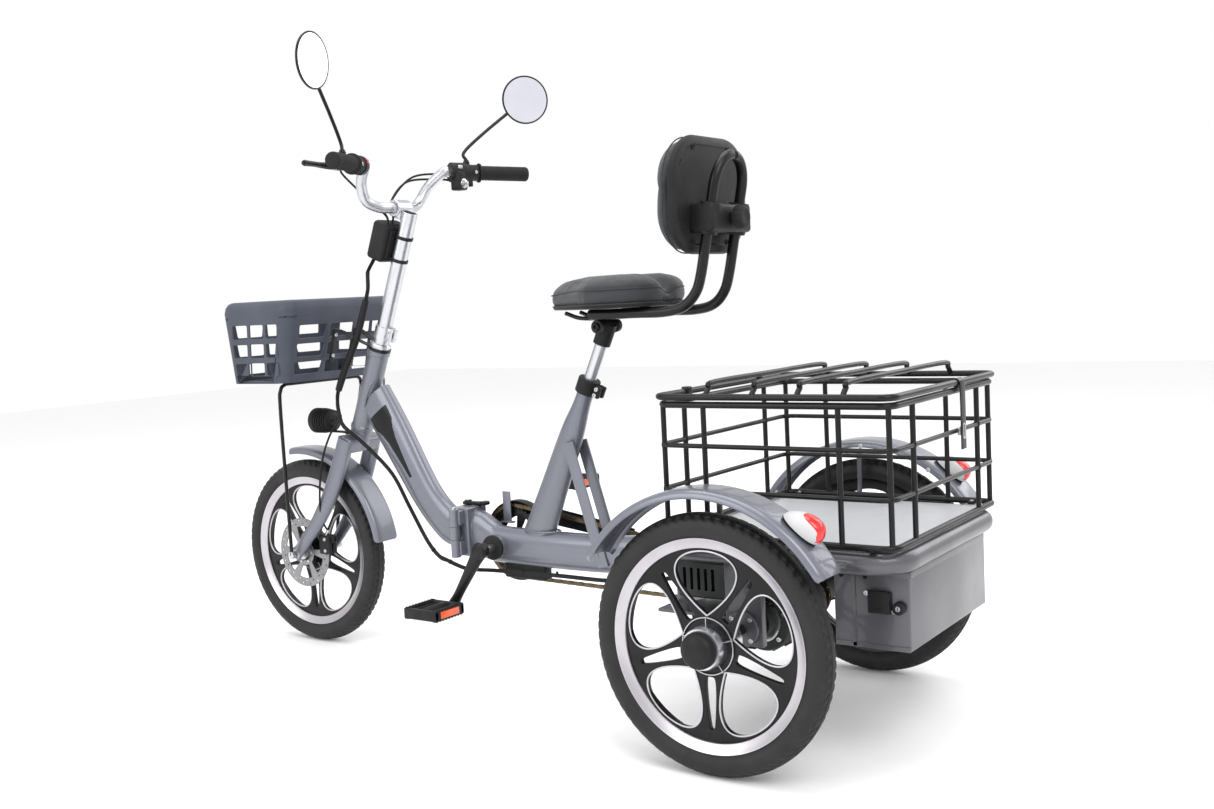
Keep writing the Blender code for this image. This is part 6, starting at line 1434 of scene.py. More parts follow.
class TRICYCLE_OT_handlebar(bpy.types.Operator):
    """Builds the stem, its clamps, the swept handlebar and the display strapped to the stem."""
    bl_idname = "tricycle.handlebar"
    bl_label = "Stem and handlebar"

    def execute(self, context):
        shell = Shell()
        length = STEM_TOP - HEAD_TOP - 0.0003
        base = steer(HEAD_TOP + 0.0003)
        stem = ((0, 0.014), (0, 0.022), (0.001, 0.0226), (0.013, 0.0226), (0.015, 0.0205), (0.017, 0.0166),
                (length - 0.0005, 0.0165), (length, 0.016), (length, 0.0141))
        shell.add(turned(stem, base, AXIS, 64), 0, rows_close=True)
        for s in (0.0035, 0.0075):
            shell.add(turned(((s, 0.0224), (s + 0.0004, 0.0229), (s + 0.001, 0.0224)), base, AXIS, 64), 1)
        clamp = ((0.028, 0.0166), (0.0285, 0.0192), (0.0555, 0.0192), (0.056, 0.0166))
        shell.add(turned(clamp, base, AXIS, 64), 0)
        for side in (-1, 1):
            shell.add(brick(steer(0.5595, side * 0.0072, -0.0235), (0.005, 0.0062, 0.0155), 0.0018,
                            (X_AXIS, AHEAD, AXIS), 3), 0)
            shell.add(brick(steer(STEM_TOP - 0.011, side * 0.0105, 0.021), (0.005, 0.009, 0.0085), 0.002,
                            (X_AXIS, AHEAD, AXIS), 3), 0)
        for s in (0.551, 0.568):
            shell.add(rod(steer(s, -0.0145, -0.0245), steer(s, 0.0145, -0.0245), 0.0026, 16), 1)
            for side in (-1, 1):
                bolt(shell, steer(s, side * 0.012, -0.0245), X_AXIS * side, 0.004, 0.0034, 1)
        collar = [(-0.02, 0.0118), (-0.02, 0.0168), (-0.019, 0.0176), (0.019, 0.0176), (0.02, 0.0168), (0.02, 0.0118)]
        shell.add(turned(collar, BAR_CENTRE, X_AXIS, 48), 0, rows_close=True)
        for side in (-1, 1):
            bolt(shell, BAR_CENTRE + X_AXIS * side * 0.011 + AHEAD * 0.0165, AHEAD, 0.004, 0.003, 1)
        shell.made("Stem", "steering", ("Silver", "Bright steel"), "silver", replaces=("stem",))
        bar = Shell()
        left = bar_half(1)
        path = curve_through(np.concatenate([bar_half(-1)[::-1], left[1:]]), 12)
        bar.tube(path, BAR_R, 0, across=Z_AXIS, count=32)
        bar.made("Handlebar", "steering", "Silver", "silver", replaces=("handlebar",))
        case = Shell()
        case.add(brick(steer(0.75, 0, 0.0435), (0.0355, 0.0225, 0.0415), 0.0085, (X_AXIS, AHEAD, AXIS), 6), 0)
        case.add(brick(steer(0.7885, 0, 0.0435), (0.03, 0.018, 0.0035), 0.003, (X_AXIS, AHEAD, AXIS), 4), 1)
        case.add(brick(steer(0.75, 0, 0.0205), (0.024, 0.0035, 0.03), 0.002, (X_AXIS, AHEAD, AXIS), 3), 0)
        for s in (0.722, 0.772):
            t = np.linspace(0, 2 * math.pi, 48, endpoint=False)
            loop = np.stack([steer(s, 0.0178 * math.cos(a), 0.0178 * math.sin(a)) for a in t])
            case.add(swept(loop, round_box(0.0035, 0.0009, 0.0006, 2), AXIS, closed=True), 0, rows_close=True)
        case.made("Display_case", "steering", ("Black plastic", "Soft black"), "black_plastic",
                  replaces=("display_case",))
        return {"FINISHED"}


def grip_shell(side):
    """Ribbed grip: a ripple of 22 rings between its two collars."""
    out = np.linspace(0.0075, GRIP_LENGTH - 0.009, 133)
    radius = 0.0157 + 0.0004 * np.cos(2 * math.pi * 22 * (out - out[0]) / (out[-1] - out[0]))
    start = [(0.0004, 0.0121), (0.0004, 0.02), (0.0014, 0.021), (0.0038, 0.021), (0.005, 0.019), (0.0062, 0.016)]
    end = [(GRIP_LENGTH - 0.007, 0.016), (GRIP_LENGTH - 0.003, 0.0158), (GRIP_LENGTH - 0.0006, 0.014),
           (GRIP_LENGTH, 0.0105), (GRIP_LENGTH, 0.004)]
    profile = np.concatenate([start, np.stack([out, radius], 1), end])
    return Shell().add(turned(profile, GRIP_INNER[side], OUTWARD[side], 48))


class TRICYCLE_OT_controls(bpy.types.Operator):
    """Builds the grips, the brake perches, the switch housing, the levers and the key."""
    bl_idname = "tricycle.controls"
    bl_label = "Grips and controls"

    def execute(self, context):
        grip_shell(1).made("Grip_left", "steering", "Soft black", "grip_rubber", replaces=("grip_left",))
        grip_shell(-1).made("Throttle_grip", "throttle", "Soft black", "grip_rubber", replaces=("throttle_grip",))
        for side, word, node in ((1, "left", "brake_perch_left"), (-1, "right", "control_pod_right")):
            shell = Shell()
            outward = OUTWARD[side]
            front = by_grip(side, 0, 1, 0) - by_grip(side, 0, 0, 0)
            top = by_grip(side, 0, 0, 1) - by_grip(side, 0, 0, 0)
            clamp = ((-0.03, 0.015), (-0.0296, 0.0176), (-0.018, 0.0182), (-0.017, 0.0176), (-0.003, 0.018),
                     (-0.0016, 0.0172), (-0.0015, 0.013))
            shell.add(turned(clamp, GRIP_INNER[side], outward, 48), 0)
            arm = [by_grip(side, -0.018, 0.008, 0), by_grip(side, -0.017, 0.022, 0), by_grip(side, -0.012, 0.034, 0),
                   by_grip(side, -0.009, 0.039, 0)]
            shell.add(swept(curve_through(arm, 8), round_box(0.0068, 0.0105, 0.0035, 4), Z_AXIS), 0)
            shell.add(rod(by_grip(side, -0.01, 0.036, -0.0105), by_grip(side, -0.01, 0.036, 0.0105), 0.0052, 24), 1)
            boss = by_grip(side, -0.016, 0.024, 0)
            shell.add(rod(boss, boss + Z_AXIS * 0.018, 0.0074, 32), 0)
            noose = by_grip(side, -0.03, 0.03, -0.002)
            shell.add(turned(((0, 0.0052), (0.002, 0.0058), (0.009, 0.0058), (0.011, 0.0045), (0.018, 0.004)),
                             by_grip(side, -0.019, 0.032, -0.002), noose - by_grip(side, -0.019, 0.032, -0.002), 24),
                      1)
            bolt(shell, by_grip(side, -0.0095, -0.017, 0), -front, 0.0036, 0.0024, 1)
            if side < 0:
                pod = ((-0.066, 0.013), (-0.0658, 0.0195), (-0.064, 0.0214), (-0.031, 0.0214), (-0.0292, 0.02),
                       (-0.029, 0.015))
                shell.add(turned(pod, GRIP_INNER[side], outward, 48), 0)
                centre = by_grip(-1, -0.052, 0, 0)
                shell.add(brick(centre + vec(0.002, 0.011, -0.0195), (0.0135, 0.0145, 0.0205), 0.005, steps=5), 0)
                for i, lift in enumerate((0.01, -0.002)):
                    shell.add(brick(by_grip(-1, -0.047, -0.017, lift), (0.005, 0.0035, 0.004), 0.0015,
                                    (outward, front, top), 4), 2 if i else 1)
                shell.add(turned(((0, 0.0105), (0.001, 0.0105), (0.0012, 0.0085)), centre + vec(0.002, 0.025, -0.026),
                                 Y_AXIS, 32), 1)
            else:
                shell.add(turned(((-0.052, 0.013), (-0.0518, 0.0185), (-0.05, 0.0195), (-0.035, 0.0195),
                                  (-0.033, 0.018), (-0.0328, 0.013)), GRIP_INNER[side], outward, 48), 0)
                shell.add(brick(by_grip(1, -0.043, -0.016, 0.0075), (0.0055, 0.0038, 0.0038), 0.0015,
                                (outward, front, top), 4), 2)
            shell.made(f"Brake_perch_{word}", "steering", ("Black plastic", "Bright steel", "Red lens"),
                       "black_plastic", replaces=(node,))
            lever = Shell()
            route = [(*by_grip(side, -0.014, 0.034, -0.001), 1.0, 1.25),
                     (*by_grip(side, 0.004, 0.046, -0.001), 1.0, 1.2),
                     (*by_grip(side, 0.03, 0.053, -0.001), 0.95, 1.0),
                     (*by_grip(side, 0.07, 0.0555, -0.001), 0.95, 0.9),
                     (*by_grip(side, 0.098, 0.0595, -0.001), 1.0, 0.95),
                     (*by_grip(side, 0.103, 0.0603, -0.001), 0.8, 0.7)]
            rows = np.array(route)
            lever.add(tapered(rows[:, [0, 1, 2, 4, 3]], oval(0.006, 0.0038, 24), Z_AXIS, 12), 0)
            lever.add(turned(((-0.0062, 0.002), (-0.0055, 0.0048), (0, 0.0062), (0.0055, 0.0048), (0.0062, 0.002)),
                             by_grip(side, 0.1015, 0.06, -0.001), outward, 24), 0)
            lever.made(f"Brake_lever_{word}", f"lever_{word}", "Gloss black", "black_gloss",
                       replaces=(f"brake_lever_{word}",))
        key = Shell()
        centre = spot("key_turn") + Y_AXIS * 0.0003
        key.add(turned(((0.0002, 0.004), (0.0004, 0.0078), (0.0036, 0.0078), (0.004, 0.007), (0.004, 0.002)), centre,
                       Y_AXIS, 40), 0)
        key.add(brick(centre + vec(0, 0.008, 0), (0.0009, 0.005, 0.003), 0.0006, steps=3), 0)
        key.add(brick(centre + vec(0, 0.0175, 0), (0.001, 0.0062, 0.0088), 0.0009, steps=4), 1)
        key.made("Ignition_key", "key", ("Bright steel", "Soft black"), "steel", replaces=("ignition_key",))
        return {"FINISHED"}


class TRICYCLE_OT_mirrors(bpy.types.Operator):
    """Builds the two round mirrors on their bent stalks."""
    bl_idname = "tricycle.mirrors"
    bl_label = "Mirrors"

    def execute(self, context):
        for side, word, centre, facing in ((1, "left", vec(0.305, -0.24, 1.226), vec(-0.25, 0.96, -0.05)),
            (-1, "right", vec(-0.317, -0.228, 1.209), vec(0.58, 0.81, -0.08))):
            shell = Shell()
            facing = unit(facing)
            foot = by_grip(side, -0.016, 0.024, 0) + Z_AXIS * 0.0183
            back = centre - facing * 0.01
            knee = foot + vec(0, -0.004, 0.03)
            path = curve_through([foot, foot + Z_AXIS * 0.012, knee, knee + (back - knee) * 0.35 + vec(0, 0, 0.004),
                                  back], 14)
            shell.tube(path, 0.0036, 0, count=18)
            shell.add(turned(((0.0002, 0.003), (0.0004, 0.0074), (0.008, 0.0074), (0.009, 0.006), (0.012, 0.0056),
                              (0.013, 0.0036)), foot, Z_AXIS, 6 * 4), 0)
            bowl = ((-0.012, 0.0008), (-0.0118, 0.01), (-0.01, 0.022), (-0.0076, 0.035), (-0.0048, 0.046),
                    (-0.001, 0.0525), (0.0014, 0.0535), (0.0034, 0.0532),
                    (0.004, 0.052), (0.0036, 0.0502), (0.003, 0.05))
            shell.add(turned(bowl, centre, facing, 96), 0)
            glass = ((0.0028, 0.0505), (0.0034, 0.0498), (0.0037, 0.03), (0.0038, 0.001))
            shell.add(turned(glass, centre, facing, 96), 1)
            shell.made(f"Mirror_{word}", f"{word}_mirror", ("Gloss black", "Mirror glass"), "black_gloss",
                       replaces=(f"mirror_{word}",), sharp=30)
        return {"FINISHED"}


class TRICYCLE_OT_headlight(bpy.types.Operator):
    """Builds the ribbed headlight on its bracket."""
    bl_idname = "tricycle.headlight"
    bl_label = "Headlight"

    def execute(self, context):
        shell = Shell()
        centre = vec(0, FRONT_HUB[1] + 0.063, 0.511)
        ribs = [(-0.028, 0.002), (-0.028, 0.012), (-0.0255, 0.015)]
        for i in range(6):
            x = -0.024 + 0.0062 * i
            peak = min(0.0284, 0.0245 + 0.0011 * i)
            ribs += [(x, peak - 0.0045), (x + 0.0006, peak), (x + 0.003, peak), (x + 0.0036, peak - 0.0045)]
        ribs += [(0.015, 0.0262), (0.016, 0.0285), (0.028, 0.0285), (0.0298, 0.0272), (0.029, 0.025)]
        shell.add(turned(ribs, centre, -Y_AXIS, 72), 0)
        shell.add(turned(((0.027, 0.0258), (0.0286, 0.024), (0.0296, 0.015), (0.0299, 0.001)), centre, -Y_AXIS, 64),
                  1)
        foot = steer(CROWN, 0, 0.0233)
        arm = [foot, foot + AHEAD * 0.01, foot + AHEAD * 0.016 + vec(0, 0, 0.004), centre + vec(0, 0.006, -0.024)]
        shell.add(swept(curve_through(arm, 8), round_box(0.009, 0.0015, 0.001, 3)), 0)
        bolt(shell, foot + AHEAD * 0.0016, AHEAD, 0.0045, 0.003, 2)
        shell.made("Headlight", "lamp", ("Black plastic", "Lamp glass", "Bright steel"), "black_plastic",
                   replaces=("headlight",), sharp=30)
        return {"FINISHED"}


# --- basket ------------------------------------------------------------------------------------------
BASKET_LOW_Z, BASKET_TOP_Z = 0.607, 0.786


def basket_outline(z, inset, steps=10):
    """Rectangle with 30 mm corners whose back leans forward and whose sides draw in towards the bottom."""
    share = (BASKET_TOP_Z - z) / (BASKET_TOP_Z - BASKET_LOW_Z)
    half = 0.166 - 0.016 * share - inset
    front, rear = -0.742 + 0.006 * share + inset, -0.509 - 0.056 * share - inset
    return loop_at(-half, half, front, rear, z, max(0.03 - inset, 0.004), steps)


def wall_panel(shell, corners, windows, thick=0.004):
    """A pierced flat wall between four corners, given as low left, low right, high left, high right."""
    a0, b0, a1, b1 = (np.asarray(c, float) for c in corners)
    wide = np.linalg.norm(b1 - a1)
    tall = np.linalg.norm((a1 + b1) / 2 - (a0 + b0) / 2)
    origin = (a0 + b0) / 2
    across, up = unit(b1 - a1), unit((a1 + b1) / 2 - origin)
    low_half = np.linalg.norm(b0 - a0) / 2
    frame_line = np.array(((-low_half, 0), (low_half, 0), (wide / 2, tall), (-wide / 2, tall)))
    add_plate(shell, [frame_line, *windows], thick / 2, 0.0009, (origin, across, up, np.cross(across, up)), 0)


def window(x0, x1, y0, y1, slant0=0.0, slant1=0.0, radius=0.004):
    """A four-sided opening with round corners; each end may lean."""
    corners = np.array(((x0 + slant0, y0), (x1 + slant1, y0), (x1, y1), (x0, y1)), float)
    points = []
    for i in range(4):
        before, here, after = corners[i - 1], corners[i], corners[(i + 1) % 4]
        p, q = unit(before - here), unit(after - here)
        t = np.linspace(0, 1, 5)[:, None]
        points.append((1 - t) ** 2 * (here + p * radius) + 2 * t * (1 - t) * here + t ** 2 * (here + q * radius))
    return np.concatenate(points)


class TRICYCLE_OT_basket(bpy.types.Operator):
    """Builds the moulded front basket and the stays and bracket that hold it."""
    bl_idname = "tricycle.basket"
    bl_label = "Basket"

    def execute(self, context):
        shell = Shell()
        low, top = BASKET_LOW_Z, BASKET_TOP_Z - 0.034
        side_windows = []
        for y0, y1 in ((0.018, 0.046), (0.058, 0.088), (0.1, 0.13)):
            for x0, x1 in ((-0.07, -0.022), (-0.014, 0.03), (0.038, 0.074)):
                side_windows.append(window(x0, x1, y0, y1))
        rear_windows = []
        for y0, y1 in ((0.018, 0.046), (0.058, 0.088), (0.1, 0.13)):
            rear_windows += [window(-0.034, 0.034, y0, y1)]
            rear_windows += [window(-0.124, -0.044, y0, y1, 0.004, -0.006),
                             window(0.044, 0.124, y0, y1, 0.006, -0.004)]
        share = 0.034 / (BASKET_TOP_Z - BASKET_LOW_Z)
        for side in (-1, 1):
            hl, ht = 0.15 - 0.002, 0.166 - 0.016 * share - 0.002
            fl, ft, rl, rt = -0.736 + 0.028, -0.742 + 0.0011 + 0.028, -0.565 - 0.028, -0.509 - 0.0106 - 0.028
            wall_panel(shell, (vec(side * hl, fl, low), vec(side * hl, rl, low), vec(side * ht, ft, top),
                               vec(side * ht, rt, top)), side_windows)
        for y_low, y_top, windows in ((-0.565 - 0.002, -0.509 - 0.0106 - 0.002, rear_windows),
            (-0.736 + 0.002, -0.742 + 0.0011 + 0.002, rear_windows)):
            wall_panel(shell, (vec(-0.122, y_low, low), vec(0.122, y_low, low), vec(-0.135, y_top, top),
                               vec(0.135, y_top, top)), windows)
        heights = np.linspace(low, top, 10)
        for corner in range(4):
            pick = slice(corner * 11, corner * 11 + 11)
            outer = np.stack([basket_outline(z, 0.0)[pick] for z in heights])
            inner = np.stack([basket_outline(z, 0.004)[pick] for z in heights])
            shell.add(np.concatenate([outer, inner[:, ::-1]], axis=1))
        rim = [(top - 0.004, 0.0), (top + 0.01, -0.0004), (BASKET_TOP_Z - 0.012, 0.004),
               (BASKET_TOP_Z - 0.004, 0.011), (BASKET_TOP_Z - 0.0006, 0.019), (BASKET_TOP_Z, 0.024),
               (BASKET_TOP_Z - 0.001, 0.029), (BASKET_TOP_Z - 0.0045, 0.0298), (BASKET_TOP_Z - 0.005, 0.024),
               (BASKET_TOP_Z - 0.01, 0.014), (BASKET_TOP_Z - 0.018, 0.007),
               (top, 0.0042), (top - 0.004, 0.004)]
        shell.add(np.stack([basket_outline(z, max(inset, 0.0)) for z, inset in rim]), 0, rows_close=True)
        floor = [(low + 0.0005, 0.002), (low, 0.004), (low, 0.05), (low + 0.0035, 0.05), (low + 0.004, 0.006)]
        shell.add(np.stack([basket_outline(z, inset) for z, inset in floor]), 0, rows_close=True)
        shell.add(np.stack([basket_outline(z, inset) for z, inset in ((low + 0.0002, 0.049), (low + 0.0037, 0.049))]),
                  0)
        for i in range(5):
            shell.add(brick(vec(-0.096 + 0.048 * i, -0.65, low + 0.0046), (0.0022, 0.058, 0.001), 0.0008, steps=2), 0)
        shell.made("Basket", "steering", "Basket plastic", "basket_plastic", replaces=("basket",), sharp=32)
        stays = Shell()
        z, foot, y = low - 0.0043, 0.0726, FRONT_HUB[1]
        half = [(foot, y, TYRE_R), (foot, y, TYRE_R + 0.02), (foot + 0.004, y + 0.004, TYRE_R + 0.08),
                (0.118, y + 0.05, z - 0.06), (0.12, y + 0.058, z - 0.012), (0.108, y + 0.06, z)]
        curve = curve_through(half, 12)
        stays.tube(np.concatenate([curve, (curve * vec(-1, 1, 1))[::-1]]), 0.004, 0, across=Y_AXIS, count=16)
        for side in (-1, 1):
            stays.add(rod(vec(side * (foot - 0.004), y, TYRE_R), vec(side * (foot + 0.0036), y, TYRE_R), 0.0085, 32),
                      1)
        stays.made("Basket_stays", "steering", ("Gloss black", "Bright steel"), "black_gloss",
                   replaces=("basket_stays",))
        bracket = Shell()
        bracket.add(turned(((0, 0.0228), (0.0004, 0.0248), (0.005, 0.0248), (0.0054, 0.0228)), steer(0.5185), AXIS,
                           48), 0, rows_close=True)
        for side in (-1, 1):
            arm = [steer(0.5212, side * 0.01, 0.02), steer(0.523, side * 0.018, 0.034),
                   vec(side * 0.03, -0.512, 0.716), vec(side * 0.03, -0.5225, 0.7), vec(side * 0.03, -0.54, 0.645)]
            bracket.add(swept(curve_through(arm, 8), round_box(0.007, 0.0014, 0.001, 3)), 0)
            for z in (0.705, 0.66):
                bolt(bracket, vec(side * 0.03, -0.519 - (0.716 - z) * 0.3 + 0.003, z), Y_AXIS, 0.0044, 0.0028, 1)
        bracket.made("Basket_bracket", "steering", ("Gloss black", "Bright steel"), "black_gloss")
        return {"FINISHED"}


# --- drive -------------------------------------------------------------------------------------------
def ring_path():
    """The chain's route: an arc round the chainring, a straight, an arc round the sprocket and a straight back."""
    x = mid("chain")[0]
    front, rear = vec(x, BRACKET[1], BRACKET[2]), vec(x, AXLE_Y, TYRE_R)
    line = rear - front
    lean = math.atan2(line[2], line[1])
    spread = math.acos((0.07 - 0.03) / np.linalg.norm(line))
    parts = []
    for centre, radius, first, last, count in ((front, 0.075, lean + spread, lean - spread + 2 * math.pi, 60),
        (rear, 0.035, lean - spread, lean + spread, 30)):
        t = np.linspace(first, last, count)
        parts.append(centre + radius * np.stack([0 * t, np.cos(t), np.sin(t)], 1))
    return np.concatenate([*parts, parts[0][:1]])


def evenly(path, count):
    """The same route as points that stand equally far apart."""
    step = np.concatenate([[0], np.cumsum(np.linalg.norm(np.diff(path, axis=0), axis=1))])
    at = np.linspace(0, step[-1], count, endpoint=False)
    return np.stack([np.interp(at, step, path[:, k]) for k in range(3)], 1)


def toothed(radius, teeth):
    t = 2 * math.pi * np.arange(teeth * 8) / (teeth * 8)
    wave = np.clip(1.6 * np.cos(teeth * t), -1, 1)
    return np.stack([(radius + 0.0017 * wave) * np.cos(t), (radius + 0.0017 * wave) * np.sin(t)], 1)


class TRICYCLE_OT_chain_drive(bpy.types.Operator):
    """Builds the chainring, the sprocket, the chain's links and the chain case with its tab."""
    bl_idname = "tricycle.chain_drive"
    bl_label = "Chain drive"

    def execute(self, context):
        x = mid("chainring")[0]
        for name, body, centre, radius, teeth, bore, node in (("Chainring", "crankset", BRACKET, 0.0683, 44, 0.011,
            "chainring"),
                                                              ("Rear_sprocket", "sprocket", vec(0, AXLE_Y, TYRE_R),
            0.0283, 19, 0.0228, "rear_sprocket")):
            shell = Shell()
            outlines = [toothed(radius, teeth), ring(bore, 40)]
            if teeth > 20:
                for i in range(5):
                    t = np.linspace(0.2, 1.05, 10) + 2 * math.pi * i / 5
                    rim, inner = 0.056 * np.stack([np.cos(t), np.sin(t)], 1), 0.025 * np.stack([np.cos(t), np.sin(t)],
                        1)
                    outlines.append(np.concatenate([rim, inner[::-1]]))
            add_plate(shell, outlines, 0.0014, 0.0003, (vec(x, centre[1], centre[2]), Y_AXIS, Z_AXIS, X_AXIS), 0)
            if teeth > 20:
                for i in range(5):
                    t = 0.62 + 2 * math.pi * i / 5 - 0.63
                    bolt(shell, vec(x - 0.0014, centre[1] + 0.02 * math.cos(t), centre[2] + 0.02 * math.sin(t)),
                         -X_AXIS, 0.0036, 0.0024, 0)
            shell.made(name, body, "Gloss black" if teeth > 20 else "Disc steel", "steel", replaces=(node,))
        links = Shell()
        count = 2 * int(np.sum(np.linalg.norm(np.diff(ring_path(), axis=0), axis=1)) / 0.0254)
        pins = evenly(ring_path(), count)
        ahead = np.roll(pins, -1, 0)
        for i in range(count):
            direction = unit(ahead[i] - pins[i])
            up = np.cross(X_AXIS, direction)
            offset = 0.0032 if i % 2 else 0.002
            length = np.linalg.norm(ahead[i] - pins[i])
            t = 2 * math.pi * (np.arange(16) + 0.5) / 16
            along_pin = 0.5 * length * (1 + np.sign(np.cos(t)) * abs(np.cos(t)) ** 0.5 * 1.46)
            tall = 0.0036 * np.sin(t) * (1 - 0.25 * np.exp(-((along_pin - length / 2) / 0.003) ** 2))
            for side in (-1, 1):
                rim = pins[i] + np.outer(along_pin, direction) + np.outer(tall, up) + X_AXIS * side * offset
                links.add(np.stack([rim, rim + X_AXIS * side * 0.0009]), 0)
            links.add(rod(pins[i] - X_AXIS * 0.0035, pins[i] + X_AXIS * 0.0035, 0.0026 if i % 2 else 0.0024, 8,
                          0.0002), 1)
        links.made("Chain", "chassis", ("Brass steel", "Bright steel"), "chain_steel", replaces=("chain",), sharp=30)
        case = Shell()
        t = np.linspace(math.radians(62), math.radians(300), 64)
        arc = BRACKET + X_AXIS * (-0.0525) + 0.083 * np.stack([0 * t, np.cos(t), np.sin(t)], 1)
        tail = [arc[0] + vec(0, 0.06, -0.01), arc[0] + vec(0, 0.14, -0.023), arc[0] + vec(0, 0.25, -0.04)]
        strip = np.concatenate([curve_through([*tail[::-1], arc[0]], 8)[:-1], arc])
        case.add(swept(strip, round_box(0.0105, 0.0011, 0.0008, 2), X_AXIS), 0)
        face = [arc + vec(-0.0105, 0, 0), arc * vec(1, 0, 0) + vec(-0.0105, 0, 0)
                + (BRACKET + (arc - BRACKET) * 0.6) * vec(0, 1, 1)]
        inner = [row + X_AXIS * 0.0014 for row in face]
        case.add(np.stack([face[0], face[1], inner[1], inner[0]], axis=1), 0)
        bar = [arc[0] + vec(-0.0105, 0.012, 0.003), arc[0] + vec(-0.0105, 0.245, -0.034)]
        low_bar = [bar[0] - vec(0, 0.006, 0.036), bar[1] - vec(0, 0.006, 0.03)]
        case.add(np.stack([np.stack([*bar, *low_bar[::-1]]), np.stack([*bar, *low_bar[::-1]]) + X_AXIS * 0.0014]), 0)
        tab = BRACKET + vec(-0.03, -0.012, 0.072)
        case.add(brick(tab, (0.0015, 0.01, 0.033), 0.0008, steps=3), 1)
        case.add(brick(tab - Z_AXIS * 0.031, (0.006, 0.016, 0.0015), 0.0008, steps=3), 1)
        case.made("Chain_case", "chassis", ("Black plastic", "Frame paint"), "black_plastic")
        return {"FINISHED"}


class TRICYCLE_OT_cranks(bpy.types.Operator):
    """Builds the cranks with their spindle, and the pedals with their reflectors."""
    bl_idname = "tricycle.cranks"
    bl_label = "Cranks and pedals"

    def execute(self, context):
        for side, word in ((1, "left"), (-1, "right")):
            end = spot(f"pedal_{word}_spin")
            hub = BRACKET + X_AXIS * side * 0.079
            along_arm = unit(end - hub)
            shell = Shell()
            route = [(*(hub - along_arm * 0.015), 0.5, 0.45), (*(hub - along_arm * 0.012), 0.8, 0.85),
                     (*hub, 1.0, 1.05), (*(hub + along_arm * 0.03), 0.85, 0.85),
                     (*(end - along_arm * 0.03), 0.7, 0.62), (*end, 0.8, 0.75),
                     (*(end + along_arm * 0.0105), 0.65, 0.6), (*(end + along_arm * 0.013), 0.35, 0.3)]
            shell.add(tapered(route, oval(0.0085, 0.0165, 32, 0.8), per_span=8), 0)
            boss = ((-0.014, 0.011), (-0.0138, 0.015), (0.006, 0.0155), (0.0078, 0.0148), (0.008, 0.011),
                    (0.0065, 0.01))
            shell.add(turned(boss, hub, X_AXIS * side, 48), 0)
            shell.add(turned(((0.004, 0.0102), (0.0068, 0.0098), (0.007, 0.006), (0.005, 0.005)), hub, X_AXIS * side,
                             40), 1)
            shell.add(rod(end - X_AXIS * side * 0.004, end + X_AXIS * side * 0.078, 0.0058, 24), 1)
            if side > 0:
                shell.add(rod(BRACKET - X_AXIS * 0.07, BRACKET + X_AXIS * 0.07, 0.0083, 24), 1)
            shell.made(f"Crank_{word}", "crankset", ("Gloss black", "Bright steel"), "black_gloss",
                       replaces=(f"crank_{word}",))
            pedal = Shell()
            centre = end + X_AXIS * side * 0.06
            for near in (-1, 1):
                pedal.add(brick(centre + vec(0, near * 0.0375, 0), (0.0435, 0.005, 0.0115), 0.003, steps=4), 0)
                pedal.add(brick(centre + vec(near * 0.0375, 0, 0), (0.0062, 0.0425, 0.0105), 0.003, steps=4), 0)
                pedal.add(brick(centre + vec(0, near * 0.0428, 0), (0.027, 0.0009, 0.007), 0.0006, steps=3), 2)
                pedal.add(brick(centre + vec(0, near * 0.0235, 0), (0.033, 0.0018, 0.008), 0.001, steps=3), 0)
                for tooth in range(9):
                    for level in (-1, 1):
                        pedal.add(brick(centre + vec(-0.036 + 0.009 * tooth, near * 0.0375, level * 0.011),
                                        (0.0022, 0.0044, 0.0015), 0.0008, steps=2), 0)
            sleeve = ((-0.043, 0.0068), (-0.0425, 0.01), (-0.03, 0.0118), (0.03, 0.0118), (0.033, 0.01),
                      (0.0335, 0.003))
            pedal.add(turned(sleeve, centre, X_AXIS * side, 32), 0)
            pedal.made(f"Pedal_{word}", f"{word}_pedal", ("Black plastic", "Bright steel", "Orange reflector"),
                       "black_plastic", replaces=(f"pedal_{word}",))
        return {"FINISHED"}


# --- cables ------------------------------------------------------------------------------------------
STEER_ROUTE = ((0.02, -0.418, 0.838), (0.021, -0.424, 0.79), (0.022, -0.462, 0.7), (0.024, -0.508, 0.62),
               (0.027, -0.531, 0.565), (0.031, -0.522, 0.52))
FRAME_ROUTE = ((0.033, -0.512, 0.505), (0.035, -0.498, 0.496), (0.035, -0.44, 0.459), (0.033, -0.372, 0.402),
               (0.032, -0.326, 0.33), (0.036, -0.277, 0.262), (0.043, -0.238, 0.233),
               (0.045, -0.212, 0.2268))
REAR_ROUTE = ((0.045, -0.19, 0.2205), (0.045, -0.165, 0.2155), (0.041, -0.14, 0.2142), (0.034, -0.108, 0.2143),
              (0.03, -0.05, 0.2145), (0.03, 0.06, 0.216), (0.03, 0.2, 0.217),
              (0.034, 0.32, 0.233), (0.06, 0.4, 0.244))


CABLE_ACROSS = vec(0.2, 0.3, 1.0)


